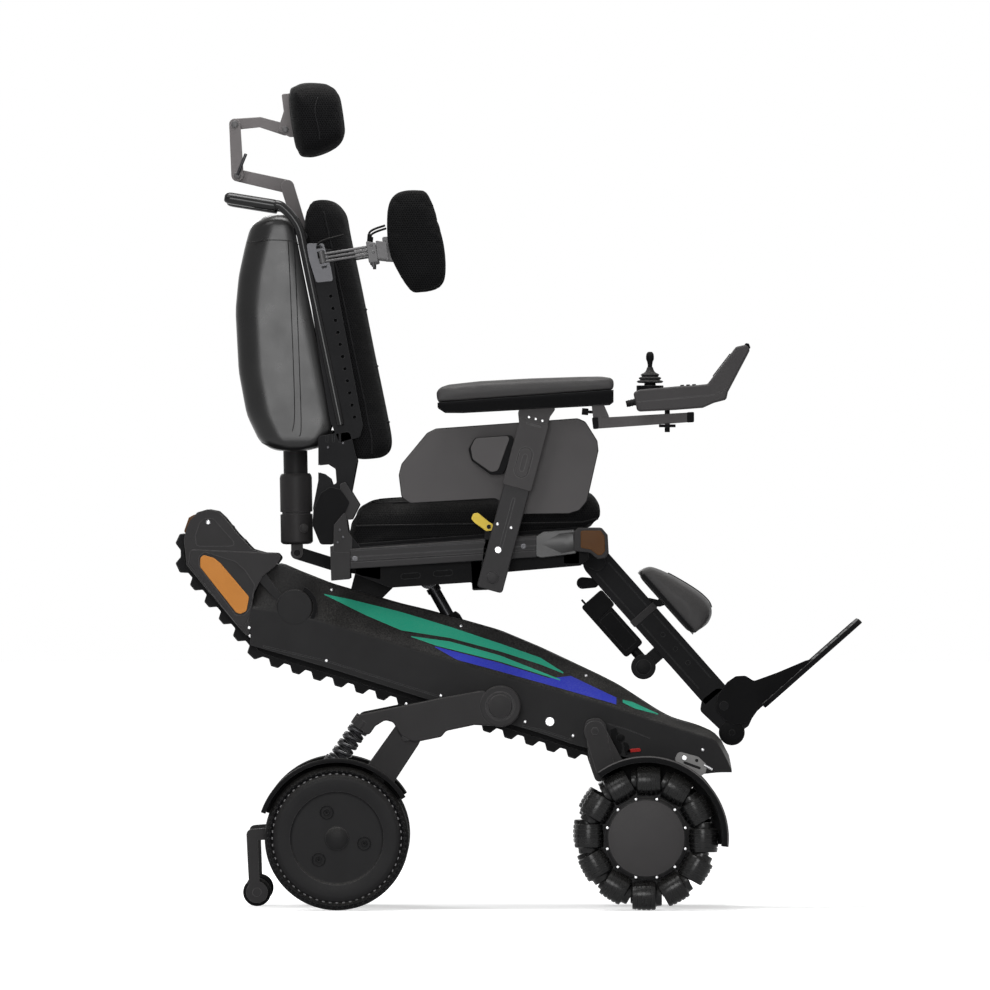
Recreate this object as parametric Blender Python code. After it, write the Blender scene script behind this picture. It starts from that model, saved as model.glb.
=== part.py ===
"""Stair climbing wheelchair: a powered seat on a body with two belts between four wheels.

Metres, with X forwards, Y to the rider's left and Z up. The origin is on the floor, in the
middle of the chair's length and width. Most pieces are plates whose outline is drawn in the
side view. An outline is listed in millimetres, as (forwards, up), from the point it turns on
or from the origin. Widths are distances from the middle plane, and every piece of the
right-hand side is mirrored to make the left-hand one.
"""

import math

import bmesh
import bpy
from mathutils import Matrix, Vector

MM = 0.001

# Clearances
GAP = 0.3 * MM            # between two pieces that touch or run on each other
SIDE_GAP = 0.5 * MM       # beside a link that turns between two cheeks
LINKAGE_PLAY = 3.6 * MM   # round the open pivot of each actuator

# Wheels
TYRE_RADIUS = 133.5 * MM
TYRE_WIDTH = 56 * MM
RIM_RADIUS = 116.5 * MM
HUB_DISC_RADIUS = 85 * MM
HUB_CAP_RADIUS = 21 * MM
HUB_MOTOR_RADIUS = 60 * MM
WHEEL_SHAFT_RADIUS = 10 * MM
FENDER_GAP = 6 * MM
FENDER_DEPTH = 9 * MM
FENDER_WEB_RADIUS = 102 * MM
ROLLER_COUNT = 12
ROLLER_RADIUS = 22 * MM
OMNI_CAP_RADIUS = 72 * MM

# Belts and the pulleys that carry them
BELT_WIDTH = 60 * MM
BELT_THICKNESS = 6 * MM
LUG_HEIGHT = 12 * MM
LUG_PITCH = 41 * MM
DRUM_SEAT = 47.7 * MM     # radius of the belt's inner face on the rear drum
HEEL_SEAT = 43 * MM       # on the slide bar's rear heel
IDLER_SEAT = 33.8 * MM    # on the front idler
RETURN_RADIUS = 30 * MM   # of the bend where the return guide presses the upper run down
GUIDE_BAR_HEIGHT = 60 * MM
DRUM_SHAFT_RADIUS = 10 * MM
IDLER_SHAFT_RADIUS = 8 * MM

# Swing arms and suspension
ARM_SHAFT_RADIUS = 11 * MM
ARM_THICKNESS = 38 * MM
ARM_CHEEK = 8 * MM
LEG_PIN_RADIUS = 8 * MM
TIP_PIN_RADIUS = 6 * MM
LEG_HALF_WIDTH = 27 * MM
SPRING_TURNS = 5
SPRING_RADIUS = 19 * MM
SPRING_WIRE_RADIUS = 2.75 * MM
TIP_WHEEL_RADIUS = 26 * MM

# Seat
CUSHION_HALF_WIDTH = 205 * MM
POST_DEPTH = 49 * MM
POST_WIDTH = 26 * MM
SLEEVE_WALL = 2.7 * MM
ARM_PAD_WIDTH = 62 * MM
CANE_RADIUS = 8.3 * MM
GRIP_RADIUS = 11 * MM
LEG_COLUMN_DEPTH = 54 * MM
LEG_COLUMN_WIDTH = 60 * MM
FOOTPLATE_HALF_WIDTH = 165 * MM
CALF_PAD_HALF_WIDTH = 150 * MM

# Turning points in the side view
REAR_AXLE = (-333 * MM, TYRE_RADIUS)
FRONT_AXLE = (239 * MM, TYRE_RADIUS)
DRUM = (-570 * MM, 660 * MM)
HEEL = (-452 * MM, 513 * MM)
IDLER = (250 * MM, 289 * MM)
RETURN_GUIDE = (-419 * MM, 606 * MM)
REAR_ARM = (-31 * MM, 377 * MM)
FRONT_ARM = (144 * MM, 331 * MM)
LEG_PIVOT = (-205 * MM, 320 * MM)
TIP_PIVOT = (-420 * MM, TYRE_RADIUS + 10 * MM)
TIP_AXLE = (-481 * MM, 33 * MM)
SEAT_TILT = (-298 * MM, 574 * MM)
LIFT_BASE = (-68 * MM, 438 * MM)
LIFT_TOP = (-165 * MM, 610 * MM)
RECLINE = (-350 * MM, 736 * MM)
STRUT_BASE = (-409 * MM, 660 * MM)
STRUT_TOP = (-413 * MM, 884 * MM)
HEAD_A = (-427 * MM, 1342 * MM)
HEAD_B = (-520 * MM, 1363 * MM)
HEAD_C = (-525 * MM, 1458 * MM)
HEAD_D = (-431 * MM, 1448 * MM)
SIDE_SUPPORT = (-361 * MM, 1208 * MM)
ARMREST = (-45 * MM, 615 * MM)
CONTROL_SWING = (154 * MM, 912 * MM)
CONTROL_HEAD = (278 * MM, 910 * MM)
STICK = (246 * MM, 970 * MM)
LEGREST = (150 * MM, 642 * MM)
CALF_HINGE = (266 * MM, 566 * MM)
FOOT_HINGE = (385 * MM, 376 * MM)
LEVER = (-52 * MM, 709 * MM)

BACK_LEAN = math.radians(12.5)
POST_LEAN = math.radians(15)
LEG_SLOPE = math.radians(-48.4)
RAIL_SLOPE = math.radians(4.25)

# Distances from the middle plane, from the chassis outwards
PLATE_IN = 96 * MM
PLATE_OUT = PLATE_IN + 6 * MM
HOUSING_SIDE = PLATE_IN - GAP
BELT_IN = PLATE_OUT + 3 * MM
BELT_OUT = BELT_IN + BELT_WIDTH
GUIDE_OUT = BELT_OUT - 10 * MM
COVER_WALL = 3 * MM
COVER_IN = BELT_OUT + 30 * MM
COVER_OUT = COVER_IN + COVER_WALL
ARM_IN = COVER_OUT + 4.5 * MM
ARM_OUT = ARM_IN + ARM_THICKNESS
LEG_IN = ARM_IN + ARM_CHEEK + SIDE_GAP
LEG_OUT = ARM_OUT - ARM_CHEEK - SIDE_GAP
SPRING_MIDDLE = (LEG_IN + LEG_OUT) / 2
WEB_IN = ARM_OUT + 10 * MM
WEB_OUT = WEB_IN + 3 * MM
WHEEL_IN = ARM_OUT + 19.5 * MM
WHEEL_OUT = WHEEL_IN + TYRE_WIDTH
FENDER_OUT = WHEEL_OUT + 4 * MM
HUB_FACE = WHEEL_OUT + 2.5 * MM
CAP_FACE = WHEEL_OUT + 7 * MM
SHAFT_END = WHEEL_OUT - 16 * MM
TIP_ARM_IN = LEG_OUT + 15.5 * MM
TIP_ARM_OUT = TIP_ARM_IN + 10 * MM
TIP_WHEEL_OUT = TIP_ARM_IN - SIDE_GAP
TIP_WHEEL_IN = TIP_WHEEL_OUT - 20 * MM

# Distances from the middle plane, from the cushion outwards
BACK_PLATE_IN = CUSHION_HALF_WIDTH + 1.5 * MM
BACK_PLATE_OUT = BACK_PLATE_IN + 6 * MM
SEAT_EAR_IN = BACK_PLATE_OUT + SIDE_GAP
SEAT_EAR_OUT = SEAT_EAR_IN + 6 * MM
RAIL_IN = CUSHION_HALF_WIDTH - 5 * MM
RAIL_OUT = SEAT_EAR_OUT + 9 * MM
GUARD_IN = RAIL_OUT + 2.5 * MM
GUARD_OUT = GUARD_IN + 4 * MM
SLEEVE_IN = GUARD_OUT + GAP
POST_IN = SLEEVE_IN + SLEEVE_WALL + GAP
POST_OUT = POST_IN + POST_WIDTH
SLEEVE_OUT = POST_OUT + GAP + SLEEVE_WALL
POST_MIDDLE = (POST_IN + POST_OUT) / 2
CANE_MIDDLE = BACK_PLATE_IN - 2 * MM
SHELL_HALF_WIDTH = CANE_MIDDLE - CANE_RADIUS - GAP

FINISHES = {
    "frame_black": ((0.035, 0.035, 0.038), 0.5, 0.3),
    "cover_graphite": ((0.055, 0.053, 0.056), 0.42, 0.1),
    "moulded_grey": ((0.13, 0.125, 0.125), 0.5, 0.0),
    "moulded_black": ((0.018, 0.018, 0.02), 0.55, 0.0),
    "rubber_black": ((0.015, 0.015, 0.015), 0.85, 0.0),
    "rail_aluminium": ((0.32, 0.32, 0.33), 0.38, 0.9),
    "bright_steel": ((0.62, 0.62, 0.63), 0.3, 1.0),
    "fabric_black": ((0.02, 0.02, 0.022), 0.9, 0.0),
    "lever_yellow": ((0.62, 0.47, 0.08), 0.5, 0.0),
}


# Outlines in the side view

def mm(points, origin=(0.0, 0.0)):
    """Side-view points listed in millimetres from an origin, as metres."""
    return [(origin[0] + x * MM, origin[1] + z * MM) for x, z in points]


def arc(centre, radius, start, end, steps):
    """Points on an arc, from the start angle to the end angle in degrees."""
    angles = [math.radians(start + (end - start) * i / steps) for i in range(steps + 1)]
    return [(centre[0] + radius * math.cos(a), centre[1] + radius * math.sin(a)) for a in angles]


def disc(centre, radius, sides=8):
    """A whole circle."""
    return arc(centre, radius, 0, 360 * (sides - 1) / sides, sides - 1)


def pin_bore(centre, radius, sides=8):
    """A hole with flats that clear a pin of this radius however it is turned."""
    reach = (radius + GAP) / math.cos(math.pi / sides)
    turn = 180 / sides
    return arc(centre, reach, turn, turn + 360 * (sides - 1) / sides, sides - 1)


def sector(centre, inner, outer, start, end, steps):
    """A ring segment, such as a fender seen from the side."""
    return arc(centre, outer, start, end, steps) + arc(centre, inner, end, start, steps)


def link(first, first_radius, second, second_radius, steps=3):
    """The outline round two circles, such as a flat link with two round ends."""
    dx, dz = second[0] - first[0], second[1] - first[1]
    heading = math.degrees(math.atan2(dz, dx))
    spread = math.degrees(math.acos((first_radius - second_radius) / math.hypot(dx, dz)))
    return (arc(second, second_radius, heading - spread, heading + spread, steps)
            + arc(first, first_radius, heading + spread, heading + 360 - spread, steps))


def rounded(points, radius, steps=1):
    """An outline whose corners are arcs of this radius, or of less on a short side."""
    result = []
    for i, corner in enumerate(points):
        here = Vector(corner)
        back = Vector(points[i - 1]) - here
        ahead = Vector(points[(i + 1) % len(points)]) - here
        half = back.angle(ahead) / 2
        reach = min(radius / math.tan(half), 0.45 * back.length, 0.45 * ahead.length)
        start = here + back.normalized() * reach
        end = here + ahead.normalized() * reach
        for j in range(steps + 1):
            t = j / steps
            point = start * (1 - t) ** 2 + here * 2 * t * (1 - t) + end * t ** 2
            result.append((point.x, point.y))
    return result


def area_of(points):
    """Signed area, positive when the outline runs anticlockwise."""
    pairs = zip(points, points[1:] + points[:1])
    return sum(a[0] * b[1] - b[0] * a[1] for a, b in pairs) / 2


def inset(points, distance):
    """The outline moved inwards, or outwards by a negative distance."""
    turn = 1 if area_of(points) > 0 else -1
    result = []
    for i, corner in enumerate(points):
        here = Vector(corner)
        before = (here - Vector(points[i - 1])).normalized()
        after = (Vector(points[(i + 1) % len(points)]) - here).normalized()
        normal = Vector((-before.y - after.y, before.x + after.x)).normalized() * turn
        stretch = max(0.5, abs(normal.dot(Vector((-before.y, before.x)))))
        moved = here + normal * distance / stretch
        result.append((moved.x, moved.y))
    return result


def height_at(line, x):
    """Height of a line of points, running forwards, at one place."""
    for (x0, z0), (x1, z1) in zip(line, line[1:]):
        if x <= x1:
            break
    return z0 + (z1 - z0) * (x - x0) / (x1 - x0)


def heading_of(start, end):
    return math.atan2(end[1] - start[1], end[0] - start[0])


def tilted(origin, angle):
    """A side-view frame: a function of distance along a slope and distance to its left."""
    c, s = math.cos(angle), math.sin(angle)

    def place(along, across=0.0):
        return (origin[0] + along * c - across * s, origin[1] + along * s + across * c)
    return place


# Shapes

def finished(bm):
    """A mesh from an edit mesh, with its faces turned outwards."""
    bmesh.ops.recalc_face_normals(bm, faces=bm.faces)
    mesh = bpy.data.meshes.new("shape")
    bm.to_mesh(mesh)
    bm.free()
    return mesh


def skin(sections):
    """A closed skin over sections with equal numbers of points, with flat ends."""
    bm = bmesh.new()
    rings = [[bm.verts.new(point) for point in section] for section in sections]
    for near, far in zip(rings, rings[1:]):
        for i in range(len(near)):
            bm.faces.new((near[i - 1], near[i], far[i], far[i - 1]))
    bm.faces.new(rings[0])
    bm.faces.new(rings[-1])
    return finished(bm)


def slab(outline, y0, y1):
    """A plate with a side-view outline."""
    return skin([[(x, y, z) for x, z in outline] for y in (y0, y1)])


def right_slab(outline, inner, outer):
    """A plate of the right-hand side, between two distances from the middle plane."""
    return slab(outline, -outer, -inner)


def eased_slab(outline, y0, y1, edge, drop):
    """A plate whose outline draws in towards both faces, as on a pad."""
    levels = [(y0, drop), (y0 + edge, 0.0), (y1 - edge, 0.0), (y1, drop)]
    return skin([[(x, y, z) for x, z in inset(outline, d)] for y, d in levels])


def block(x0, x1, y0, y1, z0, z1):
    return slab([(x0, z0), (x1, z0), (x1, z1), (x0, z1)], y0, y1)


def turned(centre, profile, sides=24):
    """A solid turned about a crosswise axis, from (radius, y) pairs that start and end on it."""
    bm = bmesh.new()
    rings = []
    for radius, y in profile:
        if radius == 0:
            rings.append([bm.verts.new((centre[0], y, centre[1]))])
        else:
            rings.append([bm.verts.new((x, y, z)) for x, z in disc(centre, radius, sides)])
    for near, far in zip(rings, rings[1:]):
        for i in range(sides):
            if len(near) == 1:
                bm.faces.new((near[0], far[i], far[i - 1]))
            elif len(far) == 1:
                bm.faces.new((near[i - 1], near[i], far[0]))
            else:
                bm.faces.new((near[i - 1], near[i], far[i], far[i - 1]))
    return finished(bm)


def turned_ring(centre, profile, sides=24):
    """A ring turned about a crosswise axis, from a closed profile of (radius, y) pairs."""
    bm = bmesh.new()
    rings = [[bm.verts.new((x, y, z)) for x, z in disc(centre, radius, sides)]
             for radius, y in profile]
    for near, far in zip(rings, rings[1:] + rings[:1]):
        for i in range(sides):
            bm.faces.new((near[i - 1], near[i], far[i], far[i - 1]))
    return finished(bm)


def rod(start, end, radius, sides=8, end_radius=None):
    """A round bar between two points in space."""
    start, end = Vector(start), Vector(end)
    place = Matrix.Translation((start + end) / 2) @ (
        end - start).to_track_quat("Z", "Y").to_matrix().to_4x4()
    bm = bmesh.new()
    bmesh.ops.create_cone(
        bm, cap_ends=True, segments=sides, radius1=radius,
        radius2=radius if end_radius is None else end_radius,
        depth=(end - start).length, matrix=place)
    return finished(bm)


def pin(centre, radius, inner, outer, sides=8):
    """A crosswise bar of the right-hand side."""
    return right_slab(disc(centre, radius, sides), inner, outer)


def pin_hole(centre, radius, inner, outer, sides=8):
    """A cutter for a pin of this radius through the right-hand side."""
    return right_slab(pin_bore(centre, radius, sides), inner, outer)


def pipe(path, radius, sides=8):
    """A round tube along points in space."""
    points = [Vector(p) for p in path]
    side = Vector((0, 1, 0))
    sections = []
    for i, point in enumerate(points):
        ahead = (points[min(i + 1, len(points) - 1)] - points[max(i - 1, 0)]).normalized()
        across = (side - ahead * side.dot(ahead)).normalized()
        up = ahead.cross(across)
        ring = []
        for j in range(sides):
            angle = 2 * math.pi * j / sides
            ring.append(point + across * radius * math.cos(angle) + up * radius * math.sin(angle))
        sections.append(ring)
    return skin(sections)


def ball(centre, radius):
    bm = bmesh.new()
    bmesh.ops.create_uvsphere(bm, u_segments=10, v_segments=5, radius=radius,
                              matrix=Matrix.Translation(centre))
    return finished(bm)


def combined(base, tools, operation):
    """A shape after a union with, or a cut by, each of the tool shapes."""
    body = bpy.data.objects.new("combined", base)
    helpers = []
    bpy.context.scene.collection.objects.link(body)
    for tool in tools:
        helper = bpy.data.objects.new("tool", tool)
        helper.hide_render = True
        helper.display_type = "WIRE"
        bpy.context.scene.collection.objects.link(helper)
        helpers.append(helper)
        step = body.modifiers.new("step", "BOOLEAN")
        step.operation = operation
        step.solver = "EXACT"
        step.object = helper
    depsgraph = bpy.context.evaluated_depsgraph_get()
    result = bpy.data.meshes.new_from_object(body.evaluated_get(depsgraph))
    for used in [body] + helpers:
        bpy.data.objects.remove(used)
    return result


def joined(first, *others):
    return combined(first, others, "UNION")


def cut(first, *tools):
    return combined(first, tools, "DIFFERENCE")


def mirrored(shape):
    """The left-hand copy of a right-hand shape."""
    copy = shape.copy()
    copy.transform(Matrix.Scale(-1, 4, (0, 1, 0)))
    copy.flip_normals()
    return copy


# Placing

def pivot(name, point, y=0.0, parent=None):
    """An empty on a joint's axis, which carries the pieces that turn with it."""
    empty = bpy.data.objects.new(name, None)
    empty.empty_display_size = 0.03
    world = Vector((point[0], y, point[1]))
    empty["world"] = world
    empty.location = world - (Vector(parent["world"]) if parent else Vector())
    empty.parent = parent
    bpy.context.scene.collection.objects.link(empty)
    return empty


def finish_of(name):
    material = bpy.data.materials.get(name)
    if material:
        return material
    colour, roughness, metallic = FINISHES[name]
    material = bpy.data.materials.new(name)
    material.use_nodes = True
    shader = material.node_tree.nodes["Principled BSDF"]
    shader.inputs["Base Color"].default_value = (*colour, 1)
    shader.inputs["Roughness"].default_value = roughness
    shader.inputs["Metallic"].default_value = metallic
    return material


def add(name, shape, carrier, finish):
    """Name a finished shape and hang it on the empty that it moves with."""
    mesh = shape.copy()
    mesh.name = name
    mesh.materials.clear()
    mesh.transform(Matrix.Translation(-Vector(carrier["world"])))
    mesh.shade_smooth()
    mesh.set_sharp_from_angle(angle=math.radians(35))
    own = finish_of(finish).copy()
    own.name = name
    mesh.materials.append(own)
    piece = bpy.data.objects.new(name, mesh)
    piece.parent = carrier
    bpy.context.scene.collection.objects.link(piece)
    return piece


def add_pair(name, shape, right_carrier, left_carrier, finish):
    add(name + "_right", shape, right_carrier, finish)
    add(name + "_left", mirrored(shape), left_carrier, finish)


# The belt's path

BEND_STEP = math.radians(20)


def tangent_angle(first, second):
    """Direction, in radians, of the left-hand normal of the straight run between two bends.

    A bend is its centre and its radius at the belt's inner face, which is negative where the
    belt bends outwards.
    """
    (x0, z0), r0 = first
    (x1, z1), r1 = second
    dx, dz = x1 - x0, z1 - z0
    return math.atan2(dz, dx) + math.acos((r1 - r0) / math.hypot(dx, dz))


def belt_bends():
    return [(DRUM, DRUM_SEAT), (HEEL, HEEL_SEAT), (IDLER, IDLER_SEAT),
            (RETURN_GUIDE, -(RETURN_RADIUS + BELT_THICKNESS))]


def belt_stretches():
    """The bends and straight runs in order, with their lengths at the belt's inner face."""
    bends = belt_bends()
    normals = [tangent_angle(bend, bends[(i + 1) % len(bends)]) for i, bend in enumerate(bends)]
    stretches = []
    for i, (centre, radius) in enumerate(bends):
        turn = (normals[i] - normals[i - 1]) % (2 * math.pi)
        if radius < 0:
            turn -= 2 * math.pi
        stretches.append(("bend", centre, radius, normals[i - 1], turn, abs(radius * turn)))
        following, next_radius = bends[(i + 1) % len(bends)]
        left = Vector((math.cos(normals[i]), math.sin(normals[i])))
        start = Vector(centre) - left * radius
        end = Vector(following) - left * next_radius
        stretches.append(("run", start, end, left, 0.0, (end - start).length))
    return stretches


def belt_point(stretches, distance, height):
    """A point on the belt's path, at a height above its inner face."""
    for kind, first, second, normal, turn, length in stretches:
        if distance <= length:
            break
        distance -= length
    if kind == "run":
        point = first + (second - first) * distance / length - normal * height
        return point.x, point.y
    angle = normal + turn * distance / length
    reach = second + height
    return first[0] - reach * math.cos(angle), first[1] - reach * math.sin(angle)


def belt_loop(height, bend_step=BEND_STEP):
    """The closed outline at a height above the belt's inner face, with its distances."""
    stretches = belt_stretches()
    distance = 0.0
    stations = []
    for kind, _, _, _, turn, length in stretches:
        if kind == "bend":
            steps = max(2, round(abs(turn) / bend_step))
            stations += [distance + length * i / steps for i in range(steps + 1)]
        distance += length
    return stations, [belt_point(stretches, s, height) for s in stations]


def belt_shape():
    """A ribbed belt: a smooth inner face, and evenly spaced lugs with narrower tips outside."""
    stretches = belt_stretches()
    total = sum(stretch[-1] for stretch in stretches)
    count = round(total / LUG_PITCH)
    pitch = total / count
    top = BELT_THICKNESS + LUG_HEIGHT
    draft = 1.5 * MM
    lug = [(0.0, BELT_THICKNESS), (0.3, top), (0.7, top)]
    outer = [((k + share) * pitch, height) for k in range(count) for share, height in lug]
    inner_stations, inner_points = belt_loop(0.0)
    outer_points = [belt_point(stretches, s, height) for s, height in outer]
    bm = bmesh.new()
    edges = []
    for y, inward in ((-BELT_OUT, draft), (-BELT_IN, -draft)):
        outside = [bm.verts.new((x, y + inward if height == top else y, z))
                   for (x, z), (_, height) in zip(outer_points, outer)]
        edges.append((outside, [bm.verts.new((x, y, z)) for x, z in inner_points]))
    for ring in (0, 1):
        for i in range(len(edges[0][ring])):
            near, far = edges[0][ring], edges[1][ring]
            bm.faces.new((near[i - 1], near[i], far[i], far[i - 1]))
    chain = []
    local = []
    for k in range(count):
        valley, following = Vector(outer_points[3 * k]), Vector(outer_points[(3 * k + 3) % len(outer)])
        below = Vector(belt_point(stretches, (k + 0.5) * pitch, 0.0))
        above = Vector(belt_point(stretches, (k + 0.5) * pitch, BELT_THICKNESS))
        chain.append(3 * k)
        if ((valley + following) / 2 - below).dot((above - below).normalized()) > 2 * MM:
            local.append(3 * k)
        else:
            chain += [3 * k + 1, 3 * k + 2]
    for outside, inside in edges:
        for k in local:
            bm.faces.new(outside[k:k + 3])
            bm.faces.new((outside[k], outside[k + 2], outside[(k + 3) % len(outside)]))
        border = [outside[k] for k in chain]
        i = j = 0
        while i < len(border) or j < len(inside):
            next_outer = outer[chain[i]][0] if i < len(border) else math.inf
            next_inner = inner_stations[j] if j < len(inside) else math.inf
            if next_outer <= next_inner:
                bm.faces.new((border[i - 1], border[i], inside[j - 1]))
                i += 1
            else:
                bm.faces.new((inside[j - 1], inside[j], border[i - 1]))
                j += 1
    return finished(bm)


def pulley_radius(seat):
    """A round pulley's radius under the belt's faceted inner face."""
    return seat * math.cos(BEND_STEP / 2) - GAP


# Chassis: side plates inside the belts, guide bars, cross tubes and the ears for the seat

def chassis_frame():
    _, loop = belt_loop(-8 * MM, math.radians(30))
    plate = right_slab(loop, PLATE_IN, PLATE_OUT)
    stretches = belt_stretches()
    heel_start = sum(stretch[-1] for stretch in stretches[:2])
    heel_length = stretches[2][-1]
    run_start = heel_start + heel_length
    run_end = run_start + stretches[3][-1] - 62 * MM
    clear = -GAP - HEEL_SEAT * (1 - math.cos(BEND_STEP / 2))
    bar = [belt_point(stretches, heel_start + heel_length * i / 3, clear) for i in range(4)]
    bar += [belt_point(stretches, run_end, clear),
            belt_point(stretches, run_end, clear - GUIDE_BAR_HEIGHT),
            belt_point(stretches, run_start + 10 * MM, clear - GUIDE_BAR_HEIGHT)]
    side = joined(
        plate,
        right_slab(bar, PLATE_OUT - 2 * MM, GUIDE_OUT),
        right_slab(link(RETURN_GUIDE, 22 * MM, mm([(8, -40)], RETURN_GUIDE)[0], 20 * MM),
                   PLATE_IN, PLATE_OUT),
        pin(RETURN_GUIDE, RETURN_RADIUS - LUG_HEIGHT - 1 * MM, PLATE_OUT - 2 * MM, BELT_OUT),
        right_slab(link(SEAT_TILT, 19 * MM, mm([(0, -45)], SEAT_TILT)[0], 26 * MM),
                   PLATE_IN, PLATE_OUT))
    side = cut(
        side,
        pin_hole(DRUM, DRUM_SHAFT_RADIUS, 0, BELT_OUT, 16),
        pin_hole(IDLER, IDLER_SHAFT_RADIUS, 0, BELT_OUT, 16),
        pin_hole(REAR_ARM, ARM_SHAFT_RADIUS, 0, BELT_OUT),
        pin_hole(FRONT_ARM, ARM_SHAFT_RADIUS, 0, BELT_OUT),
        pin_hole(SEAT_TILT, TILT_PIN_RADIUS, 0, BELT_OUT))
    tubes = [slab(disc(point, 9 * MM), -PLATE_OUT + 2 * MM, PLATE_OUT - 2 * MM)
             for point in CROSS_TUBES]
    return joined(side, mirrored(side), *tubes)


TILT_PIN_RADIUS = 8 * MM
STRUT_PIN_RADIUS = 4 * MM
CROSS_TUBES = mm([(-487, 560), (214, 330)])


def centre_housing():
    """The drive and battery unit between the side plates, with a well for the seat lift."""
    outline = mm([
        (-596, 628), (-605, 656), (-594, 682), (-572, 690), (-541, 688), (-402, 554), (-318, 532),
        (-142, 496), (80, 428), (186, 362), (208, 310), (200, 293), (150, 292), (-31, 352),
        (-216, 406), (-420, 470), (-452, 498)])
    shape = slab(outline, -HOUSING_SIDE, HOUSING_SIDE)
    well = slab(mm([(-150, 560), (-116, 424), (-76, 400), (-34, 420), (-22, 560)]),
                -34 * MM, 34 * MM)
    shape = cut(
        shape, well,
        slab(disc(REAR_ARM, ARM_SHAFT_RADIUS + 2 * MM), -PLATE_IN, PLATE_IN),
        slab(disc(CROSS_TUBES[0], 11 * MM), -PLATE_IN, PLATE_IN),
        slab(disc(CROSS_TUBES[1], 11 * MM), -PLATE_IN, PLATE_IN),
        slab(pin_bore(DRUM, DRUM_SHAFT_RADIUS, 16), -PLATE_IN, -HOUSING_SIDE + 16 * MM),
        slab(pin_bore(DRUM, DRUM_SHAFT_RADIUS, 16), HOUSING_SIDE - 16 * MM, PLATE_IN))
    return joined(shape, slab(disc(LIFT_BASE, 7 * MM), -36 * MM, 36 * MM))


def drive_drum():
    """A toothless rear drum on a shaft that reaches into the housing and the rear guard."""
    radius = pulley_radius(DRUM_SEAT)
    return turned(DRUM, [
        (0, -BELT_OUT - 9 * MM), (DRUM_SHAFT_RADIUS, -BELT_OUT - 9 * MM),
        (DRUM_SHAFT_RADIUS, -BELT_OUT + 2 * MM), (radius, -BELT_OUT + 2 * MM),
        (radius, -BELT_IN - 2 * MM), (DRUM_SHAFT_RADIUS, -BELT_IN - 2 * MM),
        (DRUM_SHAFT_RADIUS, -HOUSING_SIDE + 14 * MM), (0, -HOUSING_SIDE + 14 * MM)], 16)


def idler_axle():
    """The front shaft with its two plain rollers."""
    radius = pulley_radius(IDLER_SEAT)
    half = [(0, BELT_OUT - 1 * MM), (radius, BELT_OUT - 1 * MM), (radius, BELT_IN + 1 * MM),
            (IDLER_SHAFT_RADIUS, BELT_IN + 1 * MM)]
    return turned(IDLER, half + [(r, -y) for r, y in reversed(half)], 16)


# Side covers and rear guards

COVER_TOP = mm([
    (-494, 562), (-481, 601), (-472, 623), (-444, 644), (-405, 627), (-344, 603), (-216, 566),
    (-161, 553), (-31, 516), (43, 485), (154, 433), (191, 414), (265, 366), (290, 353),
    (339, 339), (372, 324), (392, 296), (398, 262)])
COVER_CREASE = mm([(-494, 560), (-405, 546), (-344, 529), (-216, 490), (-31, 433), (154, 383),
                   (290, 339), (372, 313), (398, 258)])
COVER_BOTTOM = mm([(-494, 490), (-344, 446), (-161, 388), (43, 327), (107, 305), (339, 250),
                   (372, 254), (398, 254)])
COVER_BOSSES = mm([(-161, 411), (80, 337)])


def cover_section(x, wall):
    """The cover's cross-section at one place, or with a wall that of the space inside."""
    top = height_at(COVER_TOP, x)
    crease = min(height_at(COVER_CREASE, x), top - 1 * MM)
    bottom = height_at(COVER_BOTTOM, x)
    only_side = x < -458 * MM
    rear_share = min(1, max(0, (-340 * MM - x) / (60 * MM)))
    ridge = BELT_OUT - 23 * MM + rear_share * 31 * MM - wall
    edge = BELT_OUT + 4 * MM if only_side else PLATE_OUT + GAP
    if wall:
        top -= wall
        crease -= 0.6 * wall
        bottom -= 30 * MM
        edge -= 20 * MM
    outer = COVER_OUT - wall
    return [(x, -outer, bottom), (x, -outer, crease), (x, -ridge, top), (x, -edge, top),
            (x, -edge, bottom)]


def track_cover():
    """A long shell: a ridge over the belt, a sloping shoulder, and a flat outer wall."""
    places = sorted({x for x, _ in COVER_TOP + COVER_CREASE + COVER_BOTTOM}
                    | {-459 * MM, -457 * MM})
    shape = skin([cover_section(x, 0.0) for x in places])
    inside = [x for x in places if x < 380 * MM]
    first = inside[0]
    room = skin([[(first - 10 * MM, y, z) for _, y, z in cover_section(first, COVER_WALL)]]
                + [cover_section(x, COVER_WALL) for x in inside])
    shape = cut(shape, room)
    bosses = [pin(point, 8 * MM, GUIDE_OUT + GAP, COVER_IN + 1 * MM, 10) for point in COVER_BOSSES]
    shape = joined(shape, *bosses)
    return cut(shape, pin(REAR_ARM, ARM_SHAFT_RADIUS + 3 * MM, COVER_IN - 5 * MM, ARM_IN),
               pin(FRONT_ARM, ARM_SHAFT_RADIUS + 3 * MM, COVER_IN - 5 * MM, ARM_IN))


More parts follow.
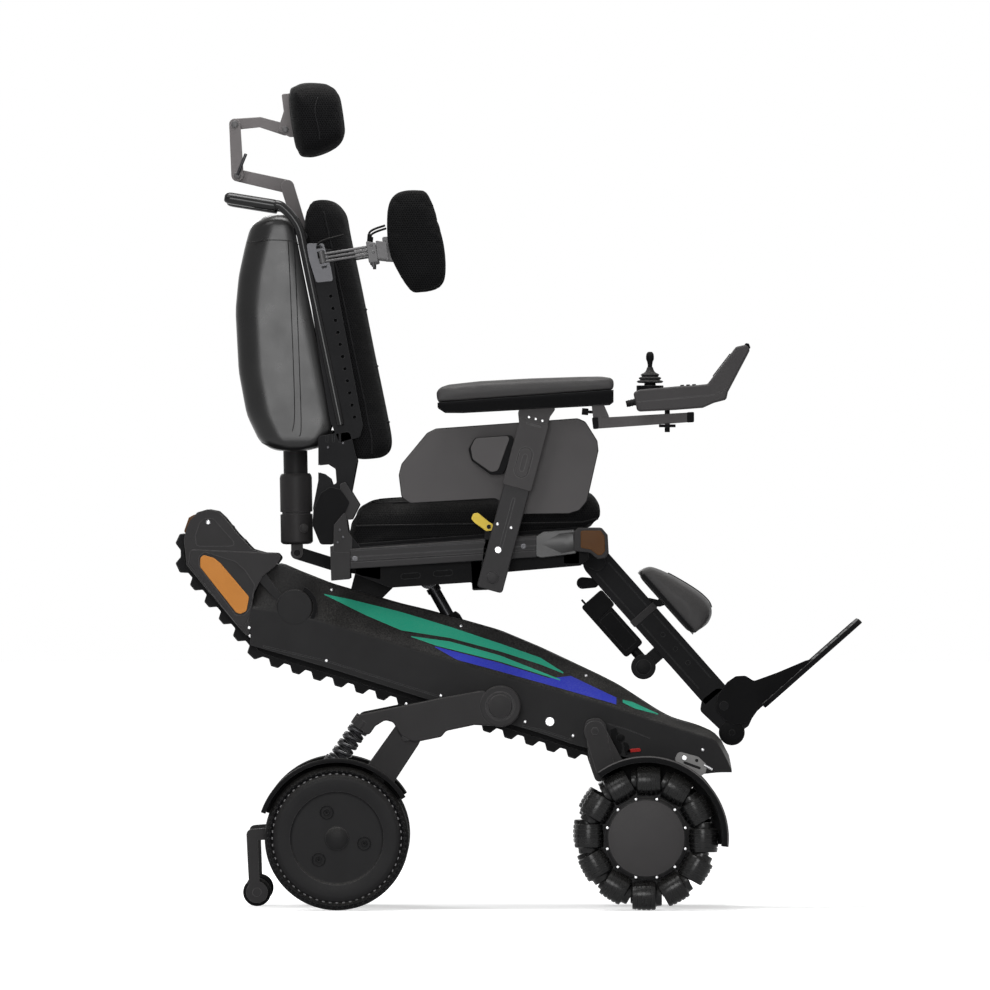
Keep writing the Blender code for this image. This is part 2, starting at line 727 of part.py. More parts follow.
def rear_guard():
    """The fin and guard over the rear drum, hollow inside, with a bearing for the drum."""
    outline = mm([
        (-612, 638), (-617, 684), (-605, 722), (-590, 741), (-550, 741), (-534, 720),
        (-481, 666), (-440, 653), (-444.4, 644.6), (-472.5, 623.5), (-481.6, 601.3),
        (-494.6, 562.2), (-494.6, 500), (-520, 528)])
    inner = BELT_OUT + 4 * MM
    shell = cut(right_slab(outline, inner, COVER_OUT),
                right_slab(inset(outline, COVER_WALL), inner - 5 * MM, COVER_IN),
                right_slab(rounded(mm([(-584, 658), (-524, 641), (-500, 625), (-489, 600),
                                       (-500, 556), (-519, 545), (-590, 636)]), 5 * MM),
                           COVER_OUT - 1.5 * MM, COVER_OUT + 5 * MM))
    bearing = cut(pin(DRUM, 16 * MM, inner, COVER_IN + 1 * MM),
                  pin_hole(DRUM, DRUM_SHAFT_RADIUS, inner - 5 * MM, inner + 8 * MM, 16))
    return joined(shell, bearing)


# Rear swing arms, sprung legs, wheels and anti-tip wheels

REAR_ARM_OUTLINE = [(-28, 30), (-111, 15), (-185, 0), (-259, -15), (-272, -31), (-270, -39),
                    (-244, -56), (-231, -37), (-213, -26), (-198, -30), (-191, -43), (-185, -54),
                    (-163, -66), (-148, -65), (-109, -57), (-100, -46), (-48, -35), (0, -37)]
SPRING_TOP = (-292 * MM, 336 * MM)


def spring_foot():
    """The lower end of the spring, on the fender's crown."""
    crown = TYRE_RADIUS + FENDER_GAP + FENDER_DEPTH
    return (REAR_AXLE[0] - 4 * MM, REAR_AXLE[1] + crown - 10 * MM)


def spring_way():
    """Unit vector up the spring."""
    foot = spring_foot()
    return Vector((SPRING_TOP[0] - foot[0], 0, SPRING_TOP[1] - foot[1])).normalized()


def rear_arm_pair():
    """Both rear arms on one shaft through the chassis, each forked over its leg."""
    plate = right_slab(mm(REAR_ARM_OUTLINE, REAR_ARM), ARM_IN, ARM_OUT)
    boss = pin(REAR_ARM, 38 * MM, ARM_IN, ARM_OUT, 16)
    cap = pin(REAR_ARM, 22 * MM, ARM_OUT - 3 * MM, ARM_OUT + 3 * MM)
    leg_end = LEG_HALF_WIDTH + 3.5 * MM
    along_leg = tilted(LEG_PIVOT, heading_of(REAR_AXLE, LEG_PIVOT) + math.pi)
    fork = right_slab(link(LEG_PIVOT, leg_end, along_leg(120 * MM), leg_end + 14 * MM, 5),
                      LEG_IN - SIDE_GAP, LEG_OUT + SIDE_GAP)
    arm = cut(joined(plate, boss, cap), fork)
    seat_end = Vector((SPRING_TOP[0], -SPRING_MIDDLE, SPRING_TOP[1]))
    way = spring_way()
    arm = cut(arm, rod(seat_end - way * 40 * MM, seat_end - way * 0.1 * MM,
                       SPRING_RADIUS + 2.2 * MM, 12))
    arm = joined(arm, pin(LEG_PIVOT, LEG_PIN_RADIUS, ARM_IN + 1 * MM, ARM_OUT - 1 * MM),
                 rod(seat_end, seat_end + way * 16 * MM, SPRING_RADIUS + 0.5 * MM, 12))
    return joined(arm, mirrored(arm), slab(disc(REAR_ARM, ARM_SHAFT_RADIUS), -ARM_OUT, ARM_OUT))


def rear_leg():
    """The sprung leg with the wheel's shaft, the fender and the seat of the spring."""
    heading = heading_of(REAR_AXLE, LEG_PIVOT)
    bar = right_slab(link(LEG_PIVOT, LEG_HALF_WIDTH, REAR_AXLE, 32 * MM, 5), LEG_IN, LEG_OUT)
    ear = right_slab(link(REAR_AXLE, 24 * MM, TIP_PIVOT, 13 * MM), LEG_IN, LEG_OUT)
    foot = spring_foot()
    tab = right_slab(link(foot, 11 * MM, mm([(30, 60)], REAR_AXLE)[0], 18 * MM), LEG_IN, LEG_OUT)
    base = Vector((foot[0], -SPRING_MIDDLE, foot[1]))
    seat = rod(base - spring_way() * 6 * MM, base, SPRING_RADIUS + 2.5 * MM)
    fender_in = TYRE_RADIUS + FENDER_GAP
    fender_out = fender_in + FENDER_DEPTH
    fender = right_slab(sector(REAR_AXLE, fender_in, fender_out, 31, 161, 11), WEB_IN, FENDER_OUT)
    web = right_slab(sector(REAR_AXLE, FENDER_WEB_RADIUS, fender_out - 4 * MM, 70, 145, 4),
                     WEB_IN + 0.5 * MM, WEB_OUT)
    stand = [(REAR_AXLE[0] + r * math.cos(heading), REAR_AXLE[1] + r * math.sin(heading))
             for r in (FENDER_WEB_RADIUS + 14 * MM, fender_out - 16 * MM)]
    spacer = right_slab(link(stand[0], 13 * MM, stand[1], 13 * MM), LEG_OUT - 2 * MM, WEB_OUT)
    shaft = pin(REAR_AXLE, WHEEL_SHAFT_RADIUS, LEG_OUT - 2 * MM, SHAFT_END)
    leg = joined(bar, ear, tab, seat, spacer, web, fender, shaft)
    return cut(leg, pin_hole(LEG_PIVOT, LEG_PIN_RADIUS, ARM_IN, ARM_OUT),
               pin_hole(TIP_PIVOT, TIP_PIN_RADIUS, ARM_IN, ARM_OUT))


def tyre():
    middle = -(WHEEL_IN + WHEEL_OUT) / 2
    side = TYRE_WIDTH / 2
    flat = side - 9 * MM
    inner = RIM_RADIUS + GAP
    return turned_ring(REAR_AXLE, [
        (inner, middle - side + 4 * MM), (TYRE_RADIUS - 9 * MM, middle - side),
        (TYRE_RADIUS, middle - flat), (TYRE_RADIUS, middle + flat),
        (TYRE_RADIUS - 9 * MM, middle + side), (inner, middle + side - 4 * MM)])


def rear_hub():
    """A hub motor in the wheel, bored for the leg's shaft from its inner side."""
    rim_face = WHEEL_OUT - 4 * MM
    bore = WHEEL_SHAFT_RADIUS + 2 * GAP
    return turned(REAR_AXLE, [
        (0, -CAP_FACE), (HUB_CAP_RADIUS, -CAP_FACE), (HUB_CAP_RADIUS, -HUB_FACE),
        (HUB_DISC_RADIUS, -HUB_FACE), (HUB_DISC_RADIUS + 3 * MM, -rim_face),
        (RIM_RADIUS, -rim_face),
        (RIM_RADIUS, -WHEEL_IN - 4 * MM), (HUB_MOTOR_RADIUS, -WHEEL_IN - 4 * MM),
        (HUB_MOTOR_RADIUS, -ARM_OUT - 4 * MM), (bore, -ARM_OUT - 4 * MM),
        (bore, -SHAFT_END - 1 * MM), (0, -SHAFT_END - 1 * MM)])


def anti_tip_arm():
    elbow = (TIP_PIVOT[0] - 70 * MM, TIP_PIVOT[1] - 4 * MM)
    shape = joined(
        right_slab(link(TIP_PIVOT, 12 * MM, elbow, 10.5 * MM), TIP_ARM_IN, TIP_ARM_OUT),
        right_slab(link(elbow, 10.5 * MM, (TIP_AXLE[0] - 5 * MM, TIP_AXLE[1] + 10 * MM), 10 * MM),
                   TIP_ARM_IN, TIP_ARM_OUT),
        pin(TIP_AXLE, 20 * MM, TIP_ARM_IN, TIP_ARM_OUT),
        pin(TIP_PIVOT, TIP_PIN_RADIUS, LEG_IN + 0.5 * MM, TIP_ARM_OUT - 2 * MM))
    return joined(shape, pin(TIP_AXLE, 5 * MM, TIP_WHEEL_IN, TIP_ARM_OUT - 2 * MM))


def anti_tip_wheel():
    bore = 5 * MM + 2 * GAP
    edge = 3 * MM
    profile = [(bore, -TIP_WHEEL_OUT), (TIP_WHEEL_RADIUS - edge, -TIP_WHEEL_OUT),
               (TIP_WHEEL_RADIUS, -TIP_WHEEL_OUT + edge), (TIP_WHEEL_RADIUS, -TIP_WHEEL_IN - edge),
               (TIP_WHEEL_RADIUS - edge, -TIP_WHEEL_IN), (bore, -TIP_WHEEL_IN)]
    return turned_ring(TIP_AXLE, profile, 14)


def spring_points():
    """The wire's middle line: straight into each seat, with even turns between."""
    foot = spring_foot()
    way = spring_way()
    low = Vector((foot[0], -SPRING_MIDDLE, foot[1])) + way * GAP
    high = Vector((SPRING_TOP[0], -SPRING_MIDDLE, SPRING_TOP[1])) - way * GAP
    across = Vector((0, 1, 0))
    out = way.cross(across)
    wire = 2 * SPRING_WIRE_RADIUS
    length = (high - low).length
    per_turn = 8
    steps = SPRING_TURNS * per_turn
    points = []
    for i in range(steps + 1):
        angle = 2 * math.pi * i / per_turn
        rise = wire + (length - 2 * wire) * i / steps
        points.append(low + way * rise
                      + (across * math.cos(angle) + out * math.sin(angle))
                      * (SPRING_RADIUS - SPRING_WIRE_RADIUS))
    return [points[0] - way * wire] + points + [points[-1] + way * wire]


def add_spring(name, points, carrier):
    """One unbroken round wire along its middle line."""
    world = Vector(carrier["world"])
    curve = bpy.data.curves.new(name, "CURVE")
    curve.dimensions = "3D"
    curve.bevel_depth = SPRING_WIRE_RADIUS
    curve.bevel_resolution = 1
    curve.resolution_u = 1
    curve.use_fill_caps = True
    spline = curve.splines.new("POLY")
    spline.points.add(len(points) - 1)
    for place, point in zip(spline.points, points):
        place.co = (*(point - world), 1)
    own = finish_of("bright_steel").copy()
    own.name = name
    curve.materials.append(own)
    piece = bpy.data.objects.new(name, curve)
    piece.parent = carrier
    bpy.context.scene.collection.objects.link(piece)
    least = min((a - b).length for i, a in enumerate(points) for b in points[i + 5:])
    print(name, "least gap to itself, mm:", round((least - 2 * SPRING_WIRE_RADIUS) / MM, 2))


# Front swing arms and wheels with rollers

def front_arm():
    heading = heading_of(FRONT_AXLE, FRONT_ARM)
    arm_out = ARM_OUT - 2 * MM
    bracket = right_slab(mm([(-19, 8), (-14, 18), (-4, 22), (10, 21), (19, 13), (34, -68),
                             (30, -84), (3, -98), (-9, -63)], FRONT_ARM), ARM_IN, arm_out)
    bar = right_slab(link(FRONT_ARM, 20 * MM, FRONT_AXLE, 28 * MM, 5), ARM_IN + 6 * MM, arm_out)
    fender_in = TYRE_RADIUS + FENDER_GAP
    fender_out = fender_in + FENDER_DEPTH + 4 * MM
    fender = right_slab(sector(FRONT_AXLE, fender_in, fender_out, -6, 127, 11), WEB_IN, FENDER_OUT)
    web = right_slab(sector(FRONT_AXLE, FENDER_WEB_RADIUS, fender_out - 4 * MM, 50, 125, 4),
                     WEB_IN + 0.5 * MM, WEB_OUT)
    stand = [(FRONT_AXLE[0] + r * math.cos(heading), FRONT_AXLE[1] + r * math.sin(heading))
             for r in (FENDER_WEB_RADIUS + 14 * MM, fender_out - 16 * MM)]
    spacer = right_slab(link(stand[0], 13 * MM, stand[1], 13 * MM), arm_out - 2 * MM, WEB_OUT)
    return joined(
        bar, bracket, spacer, web, fender,
        pin(FRONT_AXLE, WHEEL_SHAFT_RADIUS, arm_out - 2 * MM, SHAFT_END),
        pin(FRONT_ARM, ARM_SHAFT_RADIUS, PLATE_OUT + 2 * MM, ARM_IN + 8 * MM))


def roller_ring():
    """A ring of barrel rollers whose backs make the wheel's round edge."""
    middle = -(WHEEL_IN + WHEEL_OUT) / 2
    across = 6
    flats = math.cos(math.pi / across)
    edge = TYRE_RADIUS / math.cos(math.radians(9))
    bm = bmesh.new()
    rings = []
    for roller in range(ROLLER_COUNT):
        for share, size, reach in ((0, 0.62 * ROLLER_RADIUS, edge - 9 * MM),
                                   (0.2, 0.92 * ROLLER_RADIUS, edge),
                                   (0.8, 0.92 * ROLLER_RADIUS, edge)):
            angle = 2 * math.pi * (roller + share - 0.5) / ROLLER_COUNT
            ring = []
            for j in range(across):
                turn = 2 * math.pi * (j + 0.5) / across
                radius = reach - size + size * math.cos(turn) / flats
                ring.append(bm.verts.new((FRONT_AXLE[0] + radius * math.cos(angle),
                                          middle + size * math.sin(turn) / flats,
                                          FRONT_AXLE[1] + radius * math.sin(angle))))
            rings.append(ring)
    for near, far in zip(rings, rings[1:] + rings[:1]):
        for j in range(across):
            bm.faces.new((near[j - 1], near[j], far[j], far[j - 1]))
    return finished(bm)


def omni_wheel():
    middle = (WHEEL_IN + WHEEL_OUT) / 2
    bore = WHEEL_SHAFT_RADIUS + 2 * GAP
    hub = turned(FRONT_AXLE, [
        (0, -HUB_FACE), (OMNI_CAP_RADIUS - 4 * MM, -HUB_FACE),
        (OMNI_CAP_RADIUS, -HUB_FACE + 5 * MM), (OMNI_CAP_RADIUS, -middle - 8 * MM),
        (104 * MM, -middle - 8 * MM),
        (104 * MM, -middle + 8 * MM), (OMNI_CAP_RADIUS, -WHEEL_IN - 6 * MM),
        (bore, -ARM_OUT - 4 * MM),
        (bore, -SHAFT_END - 1 * MM), (0, -SHAFT_END - 1 * MM)], 20)
    return joined(hub, roller_ring())


# Seat frame, its lift and the release lever

RAIL_TOP = mm([(-309, 668), (41, 694)])


def cushion_underside(x):
    """Height of the seat pan's upper face."""
    return height_at(RAIL_TOP, x) + 2 * MM


def seat_frame():
    """Two rails, the pan between them, and the ears that everything on the seat turns on."""
    rail = right_slab(mm([(-309, 668), (41, 694), (41, 653), (-309, 631)]), RAIL_IN, RAIL_OUT)
    fitting = right_slab(mm([(36, 692), (44, 703), (107, 703), (111, 660), (44, 653),
                             (36, 657)]), CUSHION_HALF_WIDTH + 1 * MM,
                         RAIL_OUT - 1 * MM)
    lamp = right_slab(mm([(105, 700), (113, 707), (157, 707), (168, 694), (170, 660),
                          (163, 651), (150, 649), (135, 661), (105, 664)]),
                      CUSHION_HALF_WIDTH + 1 * MM, RAIL_OUT + 1 * MM)
    recline_ear = right_slab(link((RECLINE[0], RECLINE[1] + 8 * MM), 23 * MM,
                                  (RECLINE[0] - 2 * MM, RECLINE[1] - 16 * MM), 24 * MM),
                             SEAT_EAR_IN, SEAT_EAR_OUT)
    recline_leg = right_slab(link((RECLINE[0] + 2 * MM, RECLINE[1] - 20 * MM), 18 * MM,
                                  mm([(-296, 651)])[0], 17 * MM), SEAT_EAR_IN, SEAT_EAR_OUT)
    post_plate = right_slab(link(ARMREST, 22 * MM, (ARMREST[0] + 6 * MM, ARMREST[1] + 52 * MM),
                                 24 * MM), RAIL_OUT - 8 * MM, RAIL_OUT)
    post_pin = pin(ARMREST, 9 * MM, RAIL_OUT - 4 * MM, POST_OUT - 2 * MM)
    post_spacer = pin(ARMREST, 17 * MM, RAIL_OUT - 4 * MM, POST_IN - SIDE_GAP)
    lever_ear = right_slab(link(LEVER, 8 * MM, (LEVER[0] + 2 * MM, LEVER[1] - 32 * MM), 10 * MM),
                           RAIL_OUT - 6 * MM, RAIL_OUT)
    lever_pin = pin(LEVER, 4 * MM, RAIL_OUT - 2 * MM, GUARD_OUT, 10)
    tilt_arm = right_slab(mm([(-309, 590), (-314, 574), (-308, 561), (-293, 557), (-250, 576),
                              (-222, 604), (-222, 640), (-296, 640)]), 80 * MM, PLATE_IN - 3 * MM)
    skirt = right_slab(mm([(-302, 660), (131, 690), (133, 650), (118, 637), (-52, 622), (-52, 592),
                           (-83, 591), (-83, 606), (-235, 596), (-300, 622)]),
                       RAIL_IN - 8 * MM, RAIL_IN + 2 * MM)
    foot_ear = right_slab(link(LEGREST, 15 * MM, mm([(112, 662)])[0], 17 * MM),
                          LEG_COLUMN_WIDTH / 2 + 2 * MM, LEG_COLUMN_WIDTH / 2 + 10 * MM)
    lift_ear = right_slab(link(LIFT_TOP, 11 * MM, (LIFT_TOP[0], LIFT_TOP[1] + 50 * MM), 18 * MM),
                          13 * MM, 19 * MM)
    side = joined(rail, fitting, lamp, recline_ear, recline_leg, post_plate, post_spacer, post_pin,
                  lever_ear, lever_pin, tilt_arm, skirt, foot_ear, lift_ear)
    side = cut(side, pin_hole(RECLINE, RECLINE_PIN_RADIUS, BACK_PLATE_IN, RAIL_OUT))
    x0, x1 = -302 * MM, 118 * MM
    pan = slab([(x0, cushion_underside(x0) - 6 * MM), (x1, cushion_underside(x1) - 6 * MM),
                (x1, cushion_underside(x1)), (x0, cushion_underside(x0))],
               -RAIL_IN - 2 * MM, RAIL_IN + 2 * MM)
    beams = [slab(mm(corners), -RAIL_IN - 2 * MM, RAIL_IN + 2 * MM)
             for corners in BEAMS]
    strut_arm = [slab(link(STRUT_BASE, 12 * MM, mm([(-345, 640)])[0], 12 * MM), -8 * MM, 8 * MM),
                 slab(link(mm([(-345, 640)])[0], 12 * MM, mm([(-280, 632)])[0], 14 * MM),
                      -8 * MM, 8 * MM)]
    strut_pin = slab(disc(STRUT_BASE, 6 * MM), -14 * MM, 14 * MM)
    return joined(side, mirrored(side), pan, *beams, *strut_arm, strut_pin,
                  slab(disc(SEAT_TILT, TILT_PIN_RADIUS), -PLATE_OUT, PLATE_OUT),
                  slab(disc(LIFT_TOP, STRUT_PIN_RADIUS), -16 * MM, 16 * MM),
                  slab(disc(LEGREST, 7 * MM), -LEG_COLUMN_WIDTH / 2 - 6 * MM,
                       LEG_COLUMN_WIDTH / 2 + 6 * MM))


RECLINE_PIN_RADIUS = 8 * MM
BEAMS = [[(-300, 662), (-252, 665), (-252, 610), (-300, 620)],
         [(-188, 668), (-140, 672), (-140, 640), (-188, 637)],
         [(-88, 676), (-52, 680), (-52, 594), (-83, 594)],
         [(86, 690), (116, 692), (116, 640), (86, 640)]]


def lift_frame():
    """Distances along the seat lift, from its base towards its top."""
    return tilted(LIFT_BASE, heading_of(LIFT_BASE, LIFT_TOP))


def bar_along(place, start, end, radius, sides=16, across=0.0, y=0.0):
    """A round bar of the middle plane, between two distances along a side-view frame."""
    x0, z0 = place(start, across)
    x1, z1 = place(end, across)
    return rod((x0, y, z0), (x1, y, z1), radius, sides)


LIFT_BORE_RADIUS = 11 * MM


def seat_actuator_body():
    place = lift_frame()
    body = joined(bar_along(place, 8 * MM, 122 * MM, 20 * MM),
                  slab(disc(LIFT_BASE, 15 * MM), -13 * MM, 13 * MM))
    return cut(body, slab(pin_bore(LIFT_BASE, 7 * MM), -40 * MM, 40 * MM),
               bar_along(place, 26 * MM, 130 * MM, LIFT_BORE_RADIUS + GAP))


def seat_actuator_rod():
    place = lift_frame()
    length = math.dist(LIFT_BASE, LIFT_TOP)
    eye = STRUT_PIN_RADIUS + LINKAGE_PLAY
    shape = joined(bar_along(place, 46 * MM, length - 14 * MM, LIFT_BORE_RADIUS),
                   slab(disc(LIFT_TOP, 17 * MM), -12 * MM, 12 * MM))
    return cut(shape, slab(disc(LIFT_TOP, eye), -20 * MM, 20 * MM))


def seat_cushion():
    """A crowned cushion with a rolled front edge, drawn in along its sides."""
    under = [(-306, 0), (-124, 0), (43, 0), (142, 710)]
    over = [(158, 724), (163, 740), (154, 763), (135, 773), (60, 770), (-40, 766), (-124, 762),
            (-210, 759), (-262, 756), (-296, 748), (-307, 732), (-308, 700)]
    under, over = mm(under), mm(over)
    lift = 9 * MM
    stations = [(-1.0, 0.62, 0.0), (-0.985, 0.84, 0.15), (-0.93, 0.95, 0.45), (-0.75, 1.0, 0.8),
                (-0.38, 1.0, 1.0), (0.0, 1.0, 1.02)]
    stations += [(-y, full, crown) for y, full, crown in reversed(stations[:-1])]
    sections = []
    for share, full, crown in stations:
        section = []
        for x, z in under + over:
            floor = cushion_underside(x) + GAP
            raised = max(0.0, z - floor)
            swell = crown * lift * math.sin(math.pi * min(1, max(0, (x + 0.31) / 0.47)))
            height = floor + raised * full + (swell if raised > 40 * MM else 0.0)
            inward = 1.0 - 0.35 * (1 - full)
            section.append((-0.073 + (x + 0.073) * (0.9 + 0.1 * inward),
                            share * CUSHION_HALF_WIDTH, height))
        sections.append(section)
    return skin(sections)


def release_lever():
    outline = mm([(-33, 15), (-29, 25), (-20, 26), (-2, 11), (8, 4), (6, -7), (-5, -8), (-26, 7)],
                 LEVER)
    return cut(right_slab(outline, RAIL_OUT + SIDE_GAP, GUARD_OUT - 1 * MM),
               pin_hole(LEVER, 4 * MM, RAIL_OUT - 2 * MM, GUARD_OUT + 5 * MM, 10))


# Backrest with its frame, shell, cushion and recline actuator

BACK_AXIS = Vector((-math.sin(BACK_LEAN), 0, math.cos(BACK_LEAN)))


def cane_path():
    """Middle line of a push cane, from its grip down to the hinge bracket."""
    corners = [(x, z) for x, z in mm([(-178, 581), (-85, 566), (-56, 531), (-44, 485), (24, 160)],
                                     RECLINE)]
    smooth = [corners[0]]
    for before, here, after in zip(corners, corners[1:], corners[2:]):
        start = Vector(here).lerp(Vector(before), 0.4)
        end = Vector(here).lerp(Vector(after), 0.4 if after != corners[-1] else 0.06)
        smooth += [tuple(start), tuple((start + end + 2 * Vector(here)) / 4), tuple(end)]
    smooth.append(corners[-1])
    return [(x, -CANE_MIDDLE, z) for x, z in smooth]


HEAD_PLATE = 6 * MM       # half the thickness of the headrest's middle plates
HEAD_LINK = 8 * MM        # thickness of the links beside them
HEAD_PIN_RADIUS = 5 * MM


def back_frame():
    """Two push canes, cross bars, slotted side plates, and the ears for what turns on it."""
    path = cane_path()
    cane = pipe(path, CANE_RADIUS)
    grip = pipe([Vector(path[0]).lerp(Vector(path[1]), t) for t in (0.02, 0.8)], GRIP_RADIUS)
    bracket = cut(
        right_slab(mm([(-18, 141), (41, 150), (54, 96), (39, 17), (22, -18), (0, -28),
                       (-22, -18), (-28, 7), (-18, 59)], RECLINE), BACK_PLATE_IN, BACK_PLATE_OUT),
        right_slab(mm([(-6, 89), (24, 94), (26, 54), (2, 50)], RECLINE),
                   BACK_PLATE_IN - 5 * MM, BACK_PLATE_OUT + 5 * MM))
    side_plate = right_slab(mm([(-44, 490), (8, 487), (15, 425), (65, 161), (59, 139), (20, 128),
                                (4, 170), (-38, 425)], RECLINE), BACK_PLATE_IN, BACK_PLATE_OUT)
    hinge_pin = pin(RECLINE, RECLINE_PIN_RADIUS, BACK_PLATE_IN, SEAT_EAR_OUT)
    knuckle = Vector((SIDE_SUPPORT[0], -(BACK_PLATE_OUT + 8 * MM), SIDE_SUPPORT[1]))
    along = tilted(SIDE_SUPPORT, math.pi / 2 + BACK_LEAN)
    lugs = [right_slab([along(near, -7 * MM), along(near, 7 * MM), along(far, 7 * MM),
                        along(far, -7 * MM)], BACK_PLATE_OUT - 1 * MM, BACK_PLATE_OUT + 14 * MM)
            for near, far in ((11.5 * MM, 17 * MM), (-17 * MM, -11.5 * MM))]
    knuckle_pin = rod(knuckle - BACK_AXIS * 16 * MM, knuckle + BACK_AXIS * 16 * MM, 3 * MM, 8)
    side = joined(cane, grip, bracket, side_plate, hinge_pin, *lugs, knuckle_pin)
    low_bar, high_bar = mm([(11, 128), (-46, 511)], RECLINE)
    reach = BACK_PLATE_IN + 1 * MM
    bars = [slab(disc(low_bar, 8 * MM), -reach, reach),
            slab(disc(high_bar, 8 * MM), -CANE_MIDDLE, CANE_MIDDLE)]
    panel = slab(mm([(-29, 425), (-23, 426), (42, 150), (36, 148)], RECLINE), -reach, reach)
    elbow = mm([(-6, 14)], high_bar)[0]
    head_plate = slab(link(HEAD_A, 13 * MM, elbow, 14 * MM), -HEAD_PLATE, HEAD_PLATE)
    head_root = slab(link(elbow, 14 * MM, high_bar, 11 * MM), -HEAD_PLATE, HEAD_PLATE)
    head_pin = slab(disc(HEAD_A, HEAD_PIN_RADIUS), 0, HEAD_PLATE + GAP + HEAD_LINK)
    strut_ears = [slab(link(STRUT_TOP, 10 * MM, low_bar, 10 * MM), y, y + 6 * MM)
                  for y in (-13 * MM, 7 * MM)]
    strut_pin = slab(disc(STRUT_TOP, STRUT_PIN_RADIUS), -12 * MM, 12 * MM)
    return joined(side, mirrored(side), *bars, panel, head_plate, head_root, head_pin,
                  *strut_ears, strut_pin)


SHELL_OUTLINE = [
    (-130, 548), (-81, 551), (-63, 540), (-4, 140), (-14, 122), (-52, 114), (-104, 116),
    (-126, 128), (-151, 180), (-166, 260), (-172, 374), (-166, 438), (-154, 494), (-143, 533)]
SHELL_WALL = 3 * MM


def back_shell():
    """The casing behind the back: open to the front and, for the actuator, underneath."""
    outline = mm(SHELL_OUTLINE, RECLINE)
    top, low = outline[2], outline[3]

    def loft(points, half):
        sections = []
        for share, depth in ((-1, 0.55), (-0.93, 0.88), (-0.75, 1), (0.75, 1), (0.93, 0.88),
                             (1, 0.55)):
            section = []
            for x, z in points:
                front = top[0] + (low[0] - top[0]) * (top[1] - z) / (top[1] - low[1])
                section.append((front + (x - front) * depth, share * half, z))
            sections.append(section)
        return skin(sections)

    half = SHELL_HALF_WIDTH - SHELL_WALL
    mouth = slab(mm([(-80, 527), (-22, 152), (30, 152), (-30, 527)], RECLINE),
                 -half + 1 * MM, half - 1 * MM)
    way_in = slab(mm([(-108, 90), (20, 90), (20, 160), (-108, 160)], RECLINE), -45 * MM, 45 * MM)
    head_slot = slab(mm([(-100, 520), (-30, 520), (-30, 570), (-100, 570)], RECLINE),
                     -9 * MM, 9 * MM)
    return cut(loft(outline, SHELL_HALF_WIDTH), loft(inset(outline, SHELL_WALL), half),
               mouth, way_in, head_slot)


def back_cushion():
    """A padded back with a rolled top and a deeper lumbar end, drawn in along its sides."""
    rear = [(-23, 426), (42, 150)]
    outline = [(46, 92), (92, 93), (111, 102), (118, 122), (105, 189), (81, 300), (59, 411),
               (37, 512), (27, 560), (14, 582), (-6, 588), (-28, 579), (-38, 556), (-30, 528),
               (-8, 500), (-22, 426), (42, 150), (44, 108)]
    outline = mm(outline, RECLINE)
    (x0, z0), (x1, z1) = mm(rear, RECLINE)
    stations = [(-1.0, 0.55), (-0.975, 0.82), (-0.87, 0.97), (-0.45, 1.03), (0.0, 1.05)]
    stations += [(-y, full) for y, full in reversed(stations[:-1])]
    sections = []
    for share, full in stations:
        section = []
        for x, z in outline:
            back = x0 + (x1 - x0) * (z0 - z) / (z0 - z1) + 1.2 * GAP
            depth = x - back
            if depth > 0:
                depth *= full
            elif z1 <= z <= z0:
                depth = 0.0
            section.append((back + depth, share * CUSHION_HALF_WIDTH, z))
        sections.append(section)
    return skin(sections)


def strut_frame():
    return tilted(STRUT_BASE, heading_of(STRUT_BASE, STRUT_TOP))


STRUT_BORE_RADIUS = 23 * MM


def recline_actuator_body():
    place = strut_frame()
    ears = []
    for y in (8 * MM + SIDE_GAP, -14 * MM - SIDE_GAP):
        ears.append(slab(link(STRUT_BASE, 11 * MM, place(26 * MM), 11 * MM), y, y + 6 * MM))
    body = joined(bar_along(place, 16 * MM, 148 * MM, 30 * MM), *ears)
    return cut(body, slab(pin_bore(STRUT_BASE, 6 * MM), -20 * MM, 20 * MM),
               bar_along(place, 26 * MM, 160 * MM, STRUT_BORE_RADIUS + GAP))


def recline_actuator_rod():
    place = strut_frame()
    length = math.dist(STRUT_BASE, STRUT_TOP)
    eye = STRUT_PIN_RADIUS + LINKAGE_PLAY
    shape = joined(bar_along(place, 82 * MM, length - 34 * MM, STRUT_BORE_RADIUS),
                   slab(link(STRUT_TOP, 15 * MM, place(length - 38 * MM), 10 * MM),
                        -6 * MM, 6 * MM))
    return cut(shape, slab(disc(STRUT_TOP, eye), -20 * MM, 20 * MM))


# Headrest: a chain of three links and a pad

def beside(outline):
    """A link that runs beside the middle plates of the headrest."""
    return slab(outline, HEAD_PLATE + GAP, HEAD_PLATE + GAP + HEAD_LINK)


def headrest_lower_link():
    return cut(beside(link(HEAD_A, 12.5 * MM, HEAD_B, 11.5 * MM)),
               slab(pin_bore(HEAD_A, HEAD_PIN_RADIUS), 0, 20 * MM),
               slab(pin_bore(HEAD_B, HEAD_PIN_RADIUS), 0, 20 * MM))


def headrest_middle_link():
    plate = slab(link(HEAD_B, 11.5 * MM, HEAD_C, 10.5 * MM), -HEAD_PLATE, HEAD_PLATE)
    pins = [slab(disc(point, HEAD_PIN_RADIUS), 0, HEAD_PLATE + GAP + HEAD_LINK)
            for point in (HEAD_B, HEAD_C)]
    return joined(plate, *pins)


def headrest_upper_link():
    middle = ((HEAD_C[0] + HEAD_D[0]) / 2, (HEAD_C[1] + HEAD_D[1]) / 2 + 9 * MM)
    plate = joined(beside(link(HEAD_C, 10.5 * MM, middle, 9.5 * MM)),
                   beside(link(middle, 9.5 * MM, HEAD_D, 11 * MM)))
    return cut(plate, slab(pin_bore(HEAD_C, HEAD_PIN_RADIUS), 0, 20 * MM),
               slab(pin_bore(HEAD_D, HEAD_PIN_RADIUS), 0, 20 * MM))


